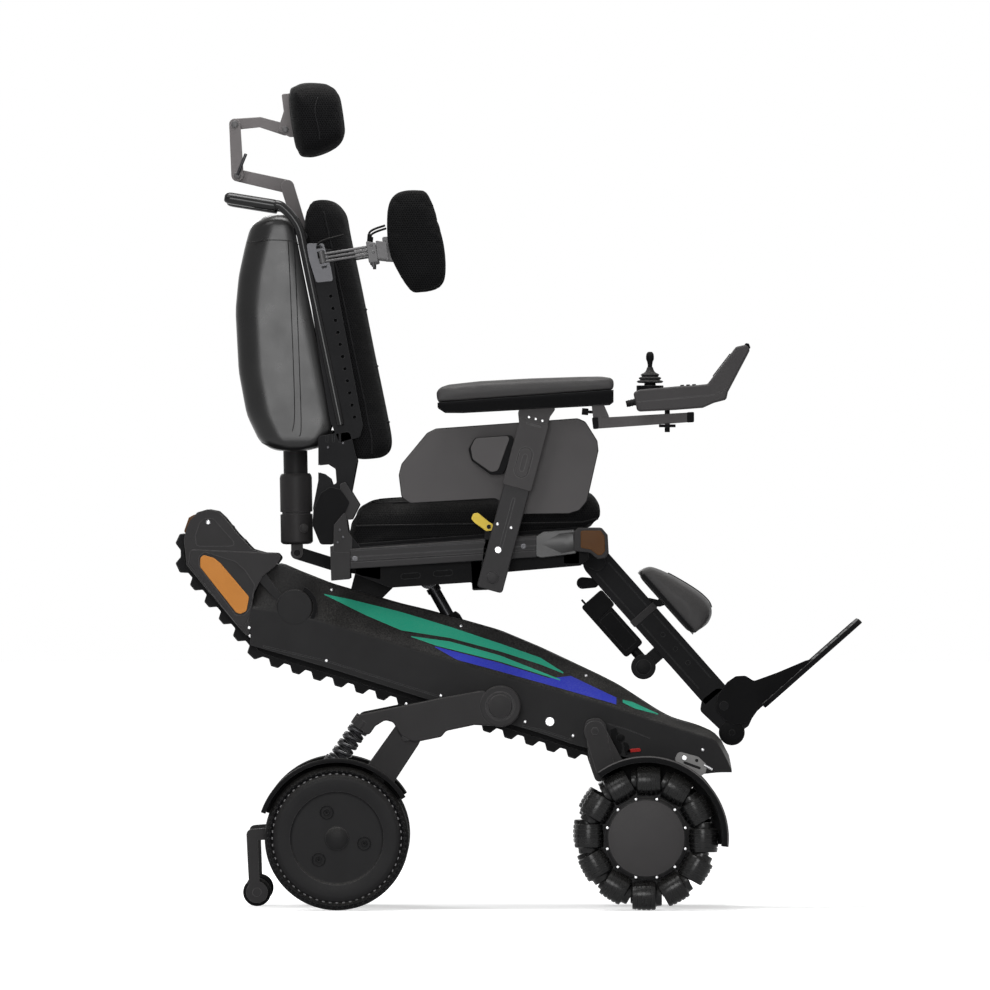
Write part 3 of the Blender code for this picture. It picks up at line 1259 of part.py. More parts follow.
def headrest_pad():
    """The pad, its back plate and the hinge eye, as they lift off together."""
    pad = eased_slab(mm([(13, 71), (22, 82), (52, 87), (94, 83), (107, 71), (113, 51), (120, 0),
                         (117, -23), (104, -34), (76, -47), (42, -55), (29, -44), (19, 10)],
                        HEAD_D), -120 * MM, 120 * MM, 26 * MM, 12 * MM)
    plate = slab(rounded(mm([(-7, 66), (13, 68), (24, 10), (30, -14), (8, -14), (-14, -2),
                             (-10, 12), (-3, 34)], HEAD_D), 4 * MM), -HEAD_PLATE, HEAD_PLATE)
    return joined(pad, plate, slab(disc(HEAD_D, HEAD_PIN_RADIUS), 0,
                                   HEAD_PLATE + GAP + HEAD_LINK))


# Side supports of the trunk

def lateral_support():
    """A swing-away pad on a bracket, turning on a pin at the edge of the back."""
    inner = BACK_PLATE_OUT + GAP
    y = -(BACK_PLATE_OUT + 8 * MM)
    knuckle = Vector((SIDE_SUPPORT[0], y, SIDE_SUPPORT[1]))
    barrel = rod(knuckle - BACK_AXIS * 11 * MM, knuckle + BACK_AXIS * 11 * MM, 6.5 * MM)
    bars = right_slab(mm([(-9, 462), (80, 478), (80, 494), (-9, 478)], RECLINE),
                      inner + 1 * MM, inner + 12 * MM)
    clamp = right_slab(mm([(72, 503), (92, 500), (96, 464), (78, 460)], RECLINE),
                       inner, inner + 16 * MM)
    blockish = right_slab(mm([(88, 503), (108, 500), (112, 468), (92, 470)], RECLINE),
                          CUSHION_HALF_WIDTH - 8 * MM, inner + 14 * MM)
    plate = right_slab(mm([(100, 510), (150, 512), (154, 466), (104, 468)], RECLINE),
                       CUSHION_HALF_WIDTH - 9 * MM, CUSHION_HALF_WIDTH - 4 * MM)
    pad = eased_slab(mm([
        (109, 520), (110, 562), (118, 584), (136, 595), (168, 597), (186, 589), (208, 530),
        (217, 480), (217, 434), (200, 416), (170, 411), (150, 414), (122, 460), (112, 490)],
        RECLINE),
        -(CUSHION_HALF_WIDTH - 7 * MM), -(CUSHION_HALF_WIDTH - 40 * MM), 8 * MM, 6 * MM)
    shape = joined(barrel, bars, clamp, blockish, plate, pad)
    return cut(shape, rod(knuckle - BACK_AXIS * 30 * MM, knuckle + BACK_AXIS * 30 * MM,
                          3 * MM + GAP))


# Armrests

def post_frame():
    """Distances up the armrest post, and to its rear."""
    return tilted(ARMREST, math.pi / 2 - POST_LEAN)


def post_box(start, end, half):
    place = post_frame()
    return [place(start, -half), place(end, -half), place(end, half), place(start, half)]


POST_TOP = 288 * MM
SLEEVE_START = 172 * MM
SLEEVE_ROOM = 294 * MM
ARM_PAD_UNDER = mm([(-140, 919), (175, 936)])


def armrest_post():
    shape = right_slab(rounded(post_box(-24 * MM, POST_TOP, POST_DEPTH / 2), 5 * MM),
                       POST_IN, POST_OUT)
    return cut(shape, pin_hole(ARMREST, 9 * MM, RAIL_OUT, SLEEVE_OUT + 5 * MM))


def armrest_sleeve():
    """The sliding sleeve, the neck under the pad, and the housing of its side catch."""
    half = POST_DEPTH / 2 + GAP + SLEEVE_WALL
    sleeve = right_slab(post_box(SLEEVE_START, 300 * MM, half), SLEEVE_IN, SLEEVE_OUT)
    x0, x1 = 2 * MM, 74 * MM
    neck = right_slab([(x0, height_at(ARM_PAD_UNDER, x0) - GAP), post_frame()(286 * MM, half),
                       post_frame()(286 * MM, -half), (61 * MM, 916 * MM),
                       (x1, height_at(ARM_PAD_UNDER, x1) - GAP)], SLEEVE_IN + 2 * MM,
                      SLEEVE_OUT - 2 * MM)
    catch = right_slab(rounded(mm([(-90, 853), (-78, 874), (-8, 879), (-2, 860), (-24, 806),
                                   (-48, 805), (-84, 831)]), 8 * MM),
                       SLEEVE_IN + 1 * MM, SLEEVE_OUT - 5 * MM)
    room = right_slab(post_box(SLEEVE_START - 10 * MM, SLEEVE_ROOM, POST_DEPTH / 2 + GAP),
                      POST_IN - GAP, POST_OUT + GAP)
    return cut(joined(sleeve, neck, catch), room)


def armrest_pad():
    under = [(x, height_at(ARM_PAD_UNDER, x)) for x in (-130 * MM, 60 * MM, 172 * MM)]
    over = mm([(178, 944), (179, 980), (172, 986), (117, 985), (24, 982), (-68, 977), (-142, 969),
               (-149, 960), (-148, 942)])
    return eased_slab(under + over, -POST_MIDDLE - ARM_PAD_WIDTH / 2,
                        -POST_MIDDLE + ARM_PAD_WIDTH / 2, 9 * MM, 5 * MM)


def side_guard():
    outline = mm([(-218, 805), (-213, 825), (-166, 882), (-150, 890), (112, 909), (126, 903),
                  (148, 868), (150, 850), (129, 757), (115, 740), (96, 734), (11, 733), (-41, 762),
                  (-198, 753), (-213, 764)])
    return right_slab(outline, GUARD_IN, GUARD_OUT)


def control_arm():
    """The bar that carries the joystick, hung under the front of the right armrest."""
    top = height_at(ARM_PAD_UNDER, 138 * MM) - GAP
    bracket = right_slab([(138 * MM, top), (161 * MM, top)] + mm([(170, 914), (172, 902), (142, 900)]),
                         POST_MIDDLE - 8 * MM, POST_MIDDLE + 8 * MM)
    bar = right_slab(mm([(139, 910), (327, 921), (327, 903), (142, 890)]),
                     POST_MIDDLE - 10 * MM, POST_MIDDLE + 10 * MM)
    y = -POST_MIDDLE
    reach = (5 * MM + GAP) / math.cos(math.pi / 8)
    hole = rod((CONTROL_HEAD[0], y, 870 * MM), (CONTROL_HEAD[0], y, 940 * MM), reach)
    return cut(joined(bar, bracket), hole)


def joystick_housing():
    """The hand control's casing, its turning pin and the wing nut below the bar."""
    y = -POST_MIDDLE
    outline = mm([(215, 958), (222, 925), (227, 922), (292, 925), (344, 929), (364, 938),
                  (387, 944), (390, 958), (431, 1036), (424, 1046), (405, 1042), (352, 973),
                  (331, 971), (298, 969), (228, 963)])
    casing = eased_slab(outline, y - 32 * MM, y + 32 * MM, 6 * MM, 2.5 * MM)
    collar = rod((STICK[0], y, 955 * MM), (STICK[0], y, 970 * MM), 25 * MM, 16)
    stem = rod((CONTROL_HEAD[0], y, 935 * MM), (CONTROL_HEAD[0], y, 886 * MM), 5 * MM)
    nut = rod((CONTROL_HEAD[0], y, 898 * MM), (CONTROL_HEAD[0], y, 893 * MM), 16 * MM)
    plug = rod((232 * MM, y, 943 * MM), (202 * MM, y, 936 * MM), 6 * MM)
    shape = joined(casing, collar, stem, nut, plug)
    socket = ball((STICK[0], y, STICK[1]), 11 * MM + 0.8 * MM)
    return cut(shape, socket)


def joystick():
    """The stick, its bell of folded rubber and the ball that it tips on."""
    y = -POST_MIDDLE
    x, z = STICK
    return joined(ball((x, y, z), 11 * MM), rod((x, y, z), (x, y, z + 22 * MM), 6 * MM),
                  rod((x, y, z + 11 * MM), (x, y, z + 22 * MM), 21 * MM, 16, 8 * MM),
                  rod((x, y, z + 20 * MM), (x, y, z + 44 * MM), 5 * MM, 12, 7 * MM))


# Leg rest: telescoping column, actuator, calf pad and footplate

def leg_frame():
    """Distances down the leg column, and in front of its middle line."""
    return tilted(LEGREST, LEG_SLOPE)


def leg_box(start, end, rear, front):
    place = leg_frame()
    return [place(start, rear), place(end, rear), place(end, front), place(start, front)]


HALF_COLUMN = LEG_COLUMN_DEPTH / 2
COLUMN_END = 135 * MM
TONGUE_HALF = HALF_COLUMN - 6 * MM
RAM_AXIS = -57 * MM
RAM_RADIUS = 9 * MM


def legrest_upper():
    half = LEG_COLUMN_WIDTH / 2
    place = leg_frame()
    tube = slab(link(LEGREST, HALF_COLUMN, place(60 * MM), HALF_COLUMN), -half, half)
    tube = joined(tube, slab(leg_box(50 * MM, COLUMN_END, -HALF_COLUMN, HALF_COLUMN), -half, half))
    band = slab(leg_box(COLUMN_END - 12 * MM, COLUMN_END, -HALF_COLUMN - 1.5 * MM,
                        HALF_COLUMN + 1.5 * MM), -half - 1.5 * MM, half + 1.5 * MM)
    root = place(COLUMN_END - 16 * MM, HALF_COLUMN - 4 * MM)
    ears = [slab(link(CALF_HINGE, 6 * MM, root, 8 * MM), y, y + 5 * MM)
            for y in (-13 * MM, 8 * MM)]
    hinge = slab(disc(CALF_HINGE, 3 * MM, 10), -10 * MM, 10 * MM)
    inside = slab(leg_box(28 * MM, COLUMN_END + 10 * MM, -TONGUE_HALF - GAP, TONGUE_HALF + GAP),
                  -half + 5 * MM, half - 5 * MM)
    shape = joined(tube, band, *ears, hinge)
    return cut(shape, inside, slab(pin_bore(LEGREST, 7 * MM), -half - 5 * MM, half + 5 * MM))


def legrest_lower():
    """The sliding column with its foot block, bump roller and the ram of the actuator."""
    half = LEG_COLUMN_WIDTH / 2
    place = leg_frame()
    side = HALF_COLUMN - 0.5 * MM
    tube = slab(leg_box(COLUMN_END + GAP, 332 * MM, -side, side), -half, half)
    tongue = slab(leg_box(34 * MM, COLUMN_END + 20 * MM, -TONGUE_HALF, TONGUE_HALF),
                  -half + 5 * MM + GAP, half - 5 * MM - GAP)
    foot_block = slab(rounded(mm([(-40, 14), (-14, 34), (12, 32), (58, -12), (46, -38), (20, -56),
                                  (-6, -46), (-44, -10)], FOOT_HINGE), 8 * MM), -half, half)
    roller = slab(disc((FOOT_HINGE[0] + 15 * MM, FOOT_HINGE[1] - 50 * MM), 24 * MM, 14),
                  -half - 4 * MM, half + 4 * MM)
    knuckle = slab(disc(place(202 * MM, -65 * MM), 23 * MM, 14), -22 * MM, 22 * MM)
    bridge = slab(leg_box(188 * MM, 214 * MM, -60 * MM, -HALF_COLUMN + 4 * MM), -10 * MM, 10 * MM)
    ram = bar_along(place, 66 * MM, 192 * MM, RAM_RADIUS, 14, RAM_AXIS)
    shape = joined(tube, tongue, foot_block, roller, knuckle, bridge, ram)
    return joined(shape, slab(disc(FOOT_HINGE, 8 * MM), -half - 7 * MM, half + 7 * MM))


def legrest_actuator():
    place = leg_frame()
    motor = slab(rounded(leg_box(42 * MM, 80 * MM, -78 * MM, -HALF_COLUMN - GAP), 5 * MM),
                 -24 * MM, 24 * MM)
    barrel = slab(rounded(leg_box(70 * MM, 168 * MM, -78 * MM, -35 * MM), 6 * MM),
                  -21 * MM, 21 * MM)
    bore = bar_along(place, 60 * MM, 180 * MM, RAM_RADIUS + GAP, 14, RAM_AXIS)
    return cut(joined(motor, barrel), bore)


def calf_pad():
    """A wide pad on a hinge eye, bowed across and rounded at its ends."""
    place = leg_frame()
    side = [(65, 44), (68, 52), (74, 60), (84, 70), (112, 86), (146, 92), (180, 92), (206, 88),
            (214, 78), (216, 60), (218, 44)]
    outline = [place(t * MM, n * MM) for t, n in side]
    width = CALF_PAD_HALF_WIDTH
    pad = eased_slab(outline, -width, width, 22 * MM, 11 * MM)
    eye = slab(link(CALF_HINGE, 6 * MM, place(134 * MM, 56 * MM), 12 * MM), -7.5 * MM, 7.5 * MM)
    return cut(joined(pad, eye), slab(disc(CALF_HINGE, 3 * MM + GAP, 10), -20 * MM, 20 * MM))


def footplate():
    """The tread, the hinge cheeks at each side of the foot block and the raised heel bar."""
    half = LEG_COLUMN_WIDTH / 2
    cheeks = []
    for y in (half + SIDE_GAP, -half - SIDE_GAP - 6 * MM):
        cheeks.append(slab(link(FOOT_HINGE, 17 * MM, mm([(58, 14)], FOOT_HINGE)[0], 20 * MM), y,
                           y + 6 * MM))
        cheeks.append(slab(mm([(40, 26), (72, 50), (150, 86), (160, 74), (72, -7),
                               (50, -4)], FOOT_HINGE), y, y + 6 * MM))
    tread = slab(mm([(76, -3), (255, 155), (249, 162), (70, 4)], FOOT_HINGE),
                 -FOOTPLATE_HALF_WIDTH, FOOTPLATE_HALF_WIDTH)
    spine = slab(mm([(74, 2), (80, 44), (113, 68), (155, 85), (168, 84)], FOOT_HINGE),
                 -half - 2 * MM, half + 2 * MM)
    shape = joined(tread, spine, *cheeks)
    return cut(shape, slab(pin_bore(FOOT_HINGE, 8 * MM), -half - 20 * MM, half + 20 * MM))


def build():
    for old in list(bpy.data.objects):
        bpy.data.objects.remove(old)

    chassis = pivot("chassis", (0, 0))
    add("chassis_frame", chassis_frame(), chassis, "frame_black")
    add("centre_housing", centre_housing(), chassis, "moulded_black")
    add_pair("track_cover", track_cover(), chassis, chassis, "cover_graphite")
    add_pair("rear_guard", rear_guard(), chassis, chassis, "moulded_grey")
    add_pair("track_belt", belt_shape(), chassis, chassis, "rubber_black")
    add_pair("drive_drum", drive_drum(), pivot("drum_right", DRUM, -BELT_IN, chassis),
             pivot("drum_left", DRUM, BELT_IN, chassis), "moulded_black")
    add("idler_axle", idler_axle(), pivot("idler", IDLER, 0, chassis), "bright_steel")

    rear_arms = pivot("rear_arms", REAR_ARM, 0, chassis)
    add("rear_arm_pair", rear_arm_pair(), rear_arms, "moulded_grey")
    legs, wheels, tips, tip_wheels, fronts, omnis = {}, {}, {}, {}, {}, {}
    for name, side in (("right", -1), ("left", 1)):
        legs[name] = pivot("leg_" + name, LEG_PIVOT, side * LEG_OUT, rear_arms)
        wheels[name] = pivot("rear_wheel_" + name, REAR_AXLE, side * WHEEL_IN, legs[name])
        tips[name] = pivot("tip_" + name, TIP_PIVOT, side * TIP_ARM_IN, legs[name])
        tip_wheels[name] = pivot("tip_wheel_" + name, TIP_AXLE, side * TIP_ARM_IN, tips[name])
        fronts[name] = pivot("front_arm_pivot_" + name, FRONT_ARM, side * ARM_IN, chassis)
        omnis[name] = pivot("front_wheel_" + name, FRONT_AXLE, side * WHEEL_IN, fronts[name])
    add_pair("rear_leg", rear_leg(), legs["right"], legs["left"], "moulded_grey")
    points = spring_points()
    add_spring("rear_spring_right", points, rear_arms)
    add_spring("rear_spring_left", [Vector((p.x, -p.y, p.z)) for p in points], rear_arms)
    add_pair("rear_tyre", tyre(), wheels["right"], wheels["left"], "rubber_black")
    add_pair("rear_hub", rear_hub(), wheels["right"], wheels["left"], "cover_graphite")
    add_pair("anti_tip_arm", anti_tip_arm(), tips["right"], tips["left"], "moulded_grey")
    add_pair("anti_tip_wheel", anti_tip_wheel(), tip_wheels["right"], tip_wheels["left"],
             "rubber_black")
    add_pair("front_arm", front_arm(), fronts["right"], fronts["left"], "moulded_grey")
    add_pair("omni_wheel", omni_wheel(), omnis["right"], omnis["left"], "rubber_black")

    seat = pivot("seat", SEAT_TILT, 0, chassis)
    add("seat_frame", seat_frame(), seat, "frame_black")
    add("seat_cushion", seat_cushion(), seat, "fabric_black")
    add("seat_actuator_body", seat_actuator_body(), pivot("lift_base", LIFT_BASE, 0, chassis),
        "moulded_black")
    add("seat_actuator_rod", seat_actuator_rod(), pivot("lift_rod", LIFT_TOP, 0, chassis),
        "bright_steel")
    add("release_lever", release_lever(), pivot("lever", LEVER, -RAIL_OUT, seat), "lever_yellow")

    back = pivot("back", RECLINE, 0, seat)
    add("back_frame", back_frame(), back, "frame_black")
    add("back_shell", back_shell(), back, "moulded_grey")
    add("back_cushion", back_cushion(), back, "fabric_black")
    add("recline_actuator_body", recline_actuator_body(),
        pivot("strut_base", STRUT_BASE, 0, seat), "moulded_black")
    add("recline_actuator_rod", recline_actuator_rod(),
        pivot("strut_rod", STRUT_TOP, 0, seat), "moulded_black")

    head_low = pivot("head_low", HEAD_A, 0, back)
    head_mid = pivot("head_mid", HEAD_B, 0, head_low)
    head_high = pivot("head_high", HEAD_C, 0, head_mid)
    head = pivot("head", HEAD_D, 0, head_high)
    add("headrest_lower_link", headrest_lower_link(), head_low, "moulded_grey")
    add("headrest_middle_link", headrest_middle_link(), head_mid, "moulded_grey")
    add("headrest_upper_link", headrest_upper_link(), head_high, "moulded_grey")
    add("headrest_pad", headrest_pad(), head, "fabric_black")

    knuckle_y = BACK_PLATE_OUT + 8 * MM
    add_pair("lateral_support", lateral_support(),
             pivot("support_right", SIDE_SUPPORT, -knuckle_y, back),
             pivot("support_left", SIDE_SUPPORT, knuckle_y, back), "fabric_black")

    posts = {name: pivot("post_" + name, ARMREST, side * POST_MIDDLE, seat)
             for name, side in (("right", -1), ("left", 1))}
    for name, shape, finish in (("armrest_post", armrest_post(), "moulded_grey"),
                                ("armrest_sleeve", armrest_sleeve(), "moulded_grey"),
                                ("armrest_pad", armrest_pad(), "moulded_grey"),
                                ("side_guard", side_guard(), "moulded_grey")):
        add_pair(name, shape, posts["right"], posts["left"], finish)
    control = pivot("control", CONTROL_SWING, -POST_MIDDLE, posts["right"])
    control_head = pivot("control_head", CONTROL_HEAD, -POST_MIDDLE, control)
    add("control_arm", control_arm(), control, "moulded_grey")
    add("joystick_housing", joystick_housing(), control_head, "moulded_grey")
    add("joystick", joystick(), pivot("stick", STICK, -POST_MIDDLE, control_head),
        "moulded_black")

    leg = pivot("leg_rest", LEGREST, 0, seat)
    add("legrest_upper", legrest_upper(), leg, "frame_black")
    add("legrest_lower", legrest_lower(), leg, "frame_black")
    add("legrest_actuator", legrest_actuator(), leg, "moulded_black")
    add("calf_pad", calf_pad(), pivot("calf", CALF_HINGE, 0, leg), "moulded_grey")
    add("footplate", footplate(), pivot("foot", FOOT_HINGE, 0, leg), "moulded_black")


build()
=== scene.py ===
"""Looks of the stair climbing wheelchair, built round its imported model.

Metres, with X forwards, Y to the rider's left and Z up. Outlines are drawn in the side view and
listed in millimetres, as (forwards, up). Every piece of the right-hand side is mirrored to make
the left-hand one.
"""

import math

import bmesh
import bpy
import numpy as np
from mathutils import Matrix, Vector
from mathutils.bvhtree import BVHTree


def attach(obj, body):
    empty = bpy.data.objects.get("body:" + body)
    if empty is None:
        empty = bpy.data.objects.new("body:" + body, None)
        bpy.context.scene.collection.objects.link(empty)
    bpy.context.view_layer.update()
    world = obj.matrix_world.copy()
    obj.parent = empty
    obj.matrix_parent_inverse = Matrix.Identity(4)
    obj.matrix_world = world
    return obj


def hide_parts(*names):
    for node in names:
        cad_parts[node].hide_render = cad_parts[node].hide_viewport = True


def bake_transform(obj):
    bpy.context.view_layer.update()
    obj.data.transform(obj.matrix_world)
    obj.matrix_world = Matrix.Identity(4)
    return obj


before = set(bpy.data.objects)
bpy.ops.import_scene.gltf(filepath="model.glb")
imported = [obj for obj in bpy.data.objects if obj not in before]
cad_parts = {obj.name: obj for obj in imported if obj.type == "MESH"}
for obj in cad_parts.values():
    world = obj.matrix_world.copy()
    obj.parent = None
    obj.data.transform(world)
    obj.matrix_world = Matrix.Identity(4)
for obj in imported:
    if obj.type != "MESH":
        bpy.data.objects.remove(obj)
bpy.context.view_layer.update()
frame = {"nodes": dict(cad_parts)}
MM = 0.001
SIDES = ("right", "left")

# Distances from the middle plane
PLATE_OUT = 0.102
BELT_IN, BELT_OUT = 0.105, 0.165
COVER_IN, COVER_OUT = 0.195, 0.198
ARM_IN, ARM_OUT = 0.2025, 0.2405
LEG_IN, LEG_OUT = 0.211, 0.232
WEB_IN, WEB_OUT = 0.2505, 0.2535
WHEEL_IN, WHEEL_OUT = 0.260, 0.316
WHEEL_MIDDLE = (WHEEL_IN + WHEEL_OUT) / 2
FENDER_OUT = 0.320
HUB_FACE = 0.3185
SHAFT_END = 0.300
TIP_ARM_IN, TIP_ARM_OUT = 0.2475, 0.2575
TIP_WHEEL_IN, TIP_WHEEL_OUT = 0.227, 0.247
SPRING_MIDDLE = 0.2215
CUSHION_HALF = 0.205
BACK_PLATE_IN, BACK_PLATE_OUT = 0.2065, 0.2125
SEAT_EAR_IN, SEAT_EAR_OUT = 0.213, 0.219
RAIL_IN, RAIL_OUT = 0.200, 0.228
GUARD_IN, GUARD_OUT = 0.2305, 0.2345
SLEEVE_IN, SLEEVE_OUT = 0.2348, 0.2668
POST_IN, POST_OUT = 0.2378, 0.2638
POST_MIDDLE = 0.2508
CANE_MIDDLE = 0.2045
CANE_SIGHT = 0.2085

# Turning points in the side view, in millimetres
DRUM = (-570, 660)
HEEL = (-452, 513)
IDLER = (250, 289)
RETURN_GUIDE = (-419, 606)
REAR_ARM = (-31, 377)
FRONT_ARM = (144, 331)
LEG_PIVOT = (-205, 320)
REAR_AXLE = (-333, 133.5)
FRONT_AXLE = (239, 133.5)
TIP_PIVOT = (-420, 143.5)
TIP_AXLE = (-481, 33)
SPRING_TOP = (-292, 336)
SPRING_FOOT = (-337, 272)
SEAT_TILT = (-298, 574)
LIFT_BASE = (-68, 438)
LIFT_TOP = (-165, 610)
RECLINE = (-350, 736)
STRUT_BASE = (-409, 660)
STRUT_TOP = (-413, 884)
HEAD_A, HEAD_B, HEAD_C, HEAD_D = (-427, 1342), (-520, 1363), (-525, 1458), (-431, 1448)
SIDE_SUPPORT = (-361, 1208)
ARMREST = (-45, 615)
CONTROL_HEAD = (278, 910)
STICK = (246, 970)
STICK_BALL = (STICK[0] * MM, -POST_MIDDLE, STICK[1] * MM)
LEGREST = (150, 642)
CALF_HINGE = (266, 566)
FOOT_HINGE = (385, 376)
LEVER = (-52, 709)
TYRE_RADIUS = 133.5


# Outlines, in millimetres

def moved(points, origin):
    return [(origin[0] + x, origin[1] + z) for x, z in points]


def arc(centre, radius, start, end, steps):
    angles = [math.radians(start + (end - start) * i / steps) for i in range(steps + 1)]
    return [(centre[0] + radius * math.cos(a), centre[1] + radius * math.sin(a)) for a in angles]


def disc(centre, radius, sides=48):
    return arc(centre, radius, 0, 360 * (sides - 1) / sides, sides - 1)


def sector(centre, inner, outer, start, end, steps=48):
    return arc(centre, outer, start, end, steps) + arc(centre, inner, end, start, steps)


def link(first, first_radius, second, second_radius, steps=14):
    """The outline round two circles, such as a flat link with two round ends."""
    dx, dz = second[0] - first[0], second[1] - first[1]
    heading = math.degrees(math.atan2(dz, dx))
    spread = math.degrees(math.acos((first_radius - second_radius) / math.hypot(dx, dz)))
    return (arc(second, second_radius, heading - spread, heading + spread, steps)
            + arc(first, first_radius, heading + spread, heading + 360 - spread, steps))


def rounded(points, radius, steps=5):
    """An outline whose corners are curves of this radius, or of less on a short side."""
    result = []
    for i, corner in enumerate(points):
        here = Vector(corner)
        back = Vector(points[i - 1]) - here
        ahead = Vector(points[(i + 1) % len(points)]) - here
        half = max(0.05, back.angle(ahead, math.pi) / 2)
        reach = min(radius / math.tan(half) if half < 1.56 else 0.0,
                    0.45 * back.length, 0.45 * ahead.length)
        if reach < 0.05:
            result.append(tuple(here))
            continue
        start = here + back.normalized() * reach
        end = here + ahead.normalized() * reach
        for j in range(steps + 1):
            t = j / steps
            point = start * (1 - t) ** 2 + here * 2 * t * (1 - t) + end * t ** 2
            result.append((point.x, point.y))
    return result


def area_of(points):
    return sum(a[0] * b[1] - b[0] * a[1] for a, b in zip(points, points[1:] + points[:1])) / 2


def inset(points, distance):
    """The outline moved inwards, or outwards by a negative distance."""
    turn = 1 if area_of(points) > 0 else -1
    result = []
    for i, corner in enumerate(points):
        here = Vector(corner)
        before = (here - Vector(points[i - 1])).normalized()
        after = (Vector(points[(i + 1) % len(points)]) - here).normalized()
        normal = Vector((-before.y - after.y, before.x + after.x)).normalized() * turn
        stretch = max(0.5, abs(normal.dot(Vector((-before.y, before.x)))))
        move = here + normal * distance / stretch
        result.append((move.x, move.y))
    return result


def height_at(line, x):
    for (x0, z0), (x1, z1) in zip(line, line[1:]):
        if x <= x1:
            break
    return z0 + (z1 - z0) * (x - x0) / (x1 - x0)


def tilted(origin, angle):
    """A side-view frame: a function of distance along a slope and distance to its left."""
    c, s = math.cos(angle), math.sin(angle)

    def place(along, across=0.0):
        return (origin[0] + along * c - across * s, origin[1] + along * s + across * c)
    return place


def heading_of(start, end):
    return math.atan2(end[1] - start[1], end[0] - start[0])


def smooth_path(points, steps=8):
    """Points on a smooth curve through the given ones, in two or three dimensions."""
    points = [Vector(p) for p in points]
    result = []
    for i in range(len(points) - 1):
        p0, p1, p2 = points[max(i - 1, 0)], points[i], points[i + 1]
        p3 = points[min(i + 2, len(points) - 1)]
        for j in range(steps):
            t = j / steps
            result.append(0.5 * (2 * p1 + (p2 - p0) * t + (2 * p0 - 5 * p1 + 4 * p2 - p3) * t * t
                                 + (3 * p1 - p0 - 3 * p2 + p3) * t ** 3))
    return result + [points[-1]]


# Shapes, from outlines in millimetres and distances from the middle plane in metres

def to_mesh(bm):
    bmesh.ops.recalc_face_normals(bm, faces=bm.faces)
    mesh = bpy.data.meshes.new("shape")
    bm.to_mesh(mesh)
    bm.free()
    return mesh


def skin(sections, closed=False):
    """A skin over sections with equal numbers of points, with flat ends or joined in a ring."""
    bm = bmesh.new()
    rings = [[bm.verts.new(point) for point in section] for section in sections]
    for near, far in zip(rings, rings[1:] + (rings[:1] if closed else [])):
        for i in range(len(near)):
            bm.faces.new((near[i - 1], near[i], far[i], far[i - 1]))
    if not closed:
        bm.faces.new(rings[0])
        bm.faces.new(rings[-1])
    return to_mesh(bm)


def slab(outline, y0, y1, edge=0.6, steps=2):
    """A plate with a side-view outline, between two places across, with eased edges."""
    if y0 > y1:
        y0, y1 = y1, y0
    edge = min(edge, 400 * (y1 - y0))
    levels = []
    for k in range(steps + 1 if edge > 0 else 1):
        turn = math.pi / 2 * k / steps
        levels.append((edge * (1 - math.cos(turn)) * MM, edge * (1 - math.sin(turn))))
    sides = [(y0 + rise, draw) for rise, draw in levels]
    sides += [(y1 - rise, draw) for rise, draw in reversed(levels)]
    return skin([[(x * MM, y, z * MM) for x, z in (inset(outline, draw) if draw else outline)]
                 for y, draw in sides])


def plate(outline, inner, outer, edge=0.6, steps=2):
    """A plate of the right-hand side, between two distances from the middle plane."""
    return slab(outline, -outer, -inner, edge, steps)


def pin(centre, radius, inner, outer, edge=0.6, sides=40):
    return plate(disc(centre, radius, sides), inner, outer, edge)


def turned(centre, profile, sides=72, ring=False):
    """A solid turned about a crosswise axis, from (radius, distance) pairs in millimetres."""
    bm = bmesh.new()
    rings = []
    for radius, y in profile:
        if radius == 0:
            rings.append([bm.verts.new((centre[0] * MM, y * MM, centre[1] * MM))])
        else:
            rings.append([bm.verts.new((x * MM, y * MM, z * MM))
                          for x, z in disc(centre, radius, sides)])
    for near, far in zip(rings, rings[1:] + (rings[:1] if ring else [])):
        for i in range(sides):
            if len(near) == 1:
                bm.faces.new((near[0], far[i], far[i - 1]))
            elif len(far) == 1:
                bm.faces.new((near[i - 1], near[i], far[0]))
            else:
                bm.faces.new((near[i - 1], near[i], far[i], far[i - 1]))
    return to_mesh(bm)


def tube(path, radius, sides=16, ends=True):
    """A round tube along points in space, in metres, with its ends rounded over."""
    points = [Vector(p) for p in path]
    first = (points[1] - points[0]).normalized()
    last = (points[-1] - points[-2]).normalized()
    radii = [radius] * len(points)
    if ends:
        points = ([points[0], points[0] + first * 0.3 * radius] + points[1:-1]
                  + [points[-1] - last * 0.3 * radius, points[-1]])
        radii = [0.72 * radius, radius] + radii[1:-1] + [radius, 0.72 * radius]
    side = Vector((0, 1, 0)) if abs(first.y) < 0.9 else Vector((1, 0, 0))
    sections = []
    for i, point in enumerate(points):
        ahead = (points[min(i + 1, len(points) - 1)] - points[max(i - 1, 0)]).normalized()
        side = (side - ahead * side.dot(ahead)).normalized()
        up = ahead.cross(side)
        sections.append([point + (side * math.cos(a) + up * math.sin(a)) * radii[i]
                         for a in (2 * math.pi * j / sides for j in range(sides))])
    return skin(sections)


def rod(start, end, radius, sides=28, tip=None, edge=0.0006):
    """A round bar between two points in space, in metres, with eased ends."""
    start, end = Vector(start), Vector(end)
    ahead = (end - start).normalized()
    tip = radius if tip is None else tip
    edge = min(edge, 0.3 * (end - start).length, 0.5 * min(radius, tip))
    side = ahead.orthogonal().normalized()
    up = ahead.cross(side)
    sections = []
    for point, size in ((start, radius - edge), (start + ahead * edge, radius),
                        (end - ahead * edge, tip), (end, tip - edge)):
        sections.append([point + (side * math.cos(a) + up * math.sin(a)) * size
                         for a in (2 * math.pi * j / sides for j in range(sides))])
    return skin(sections)


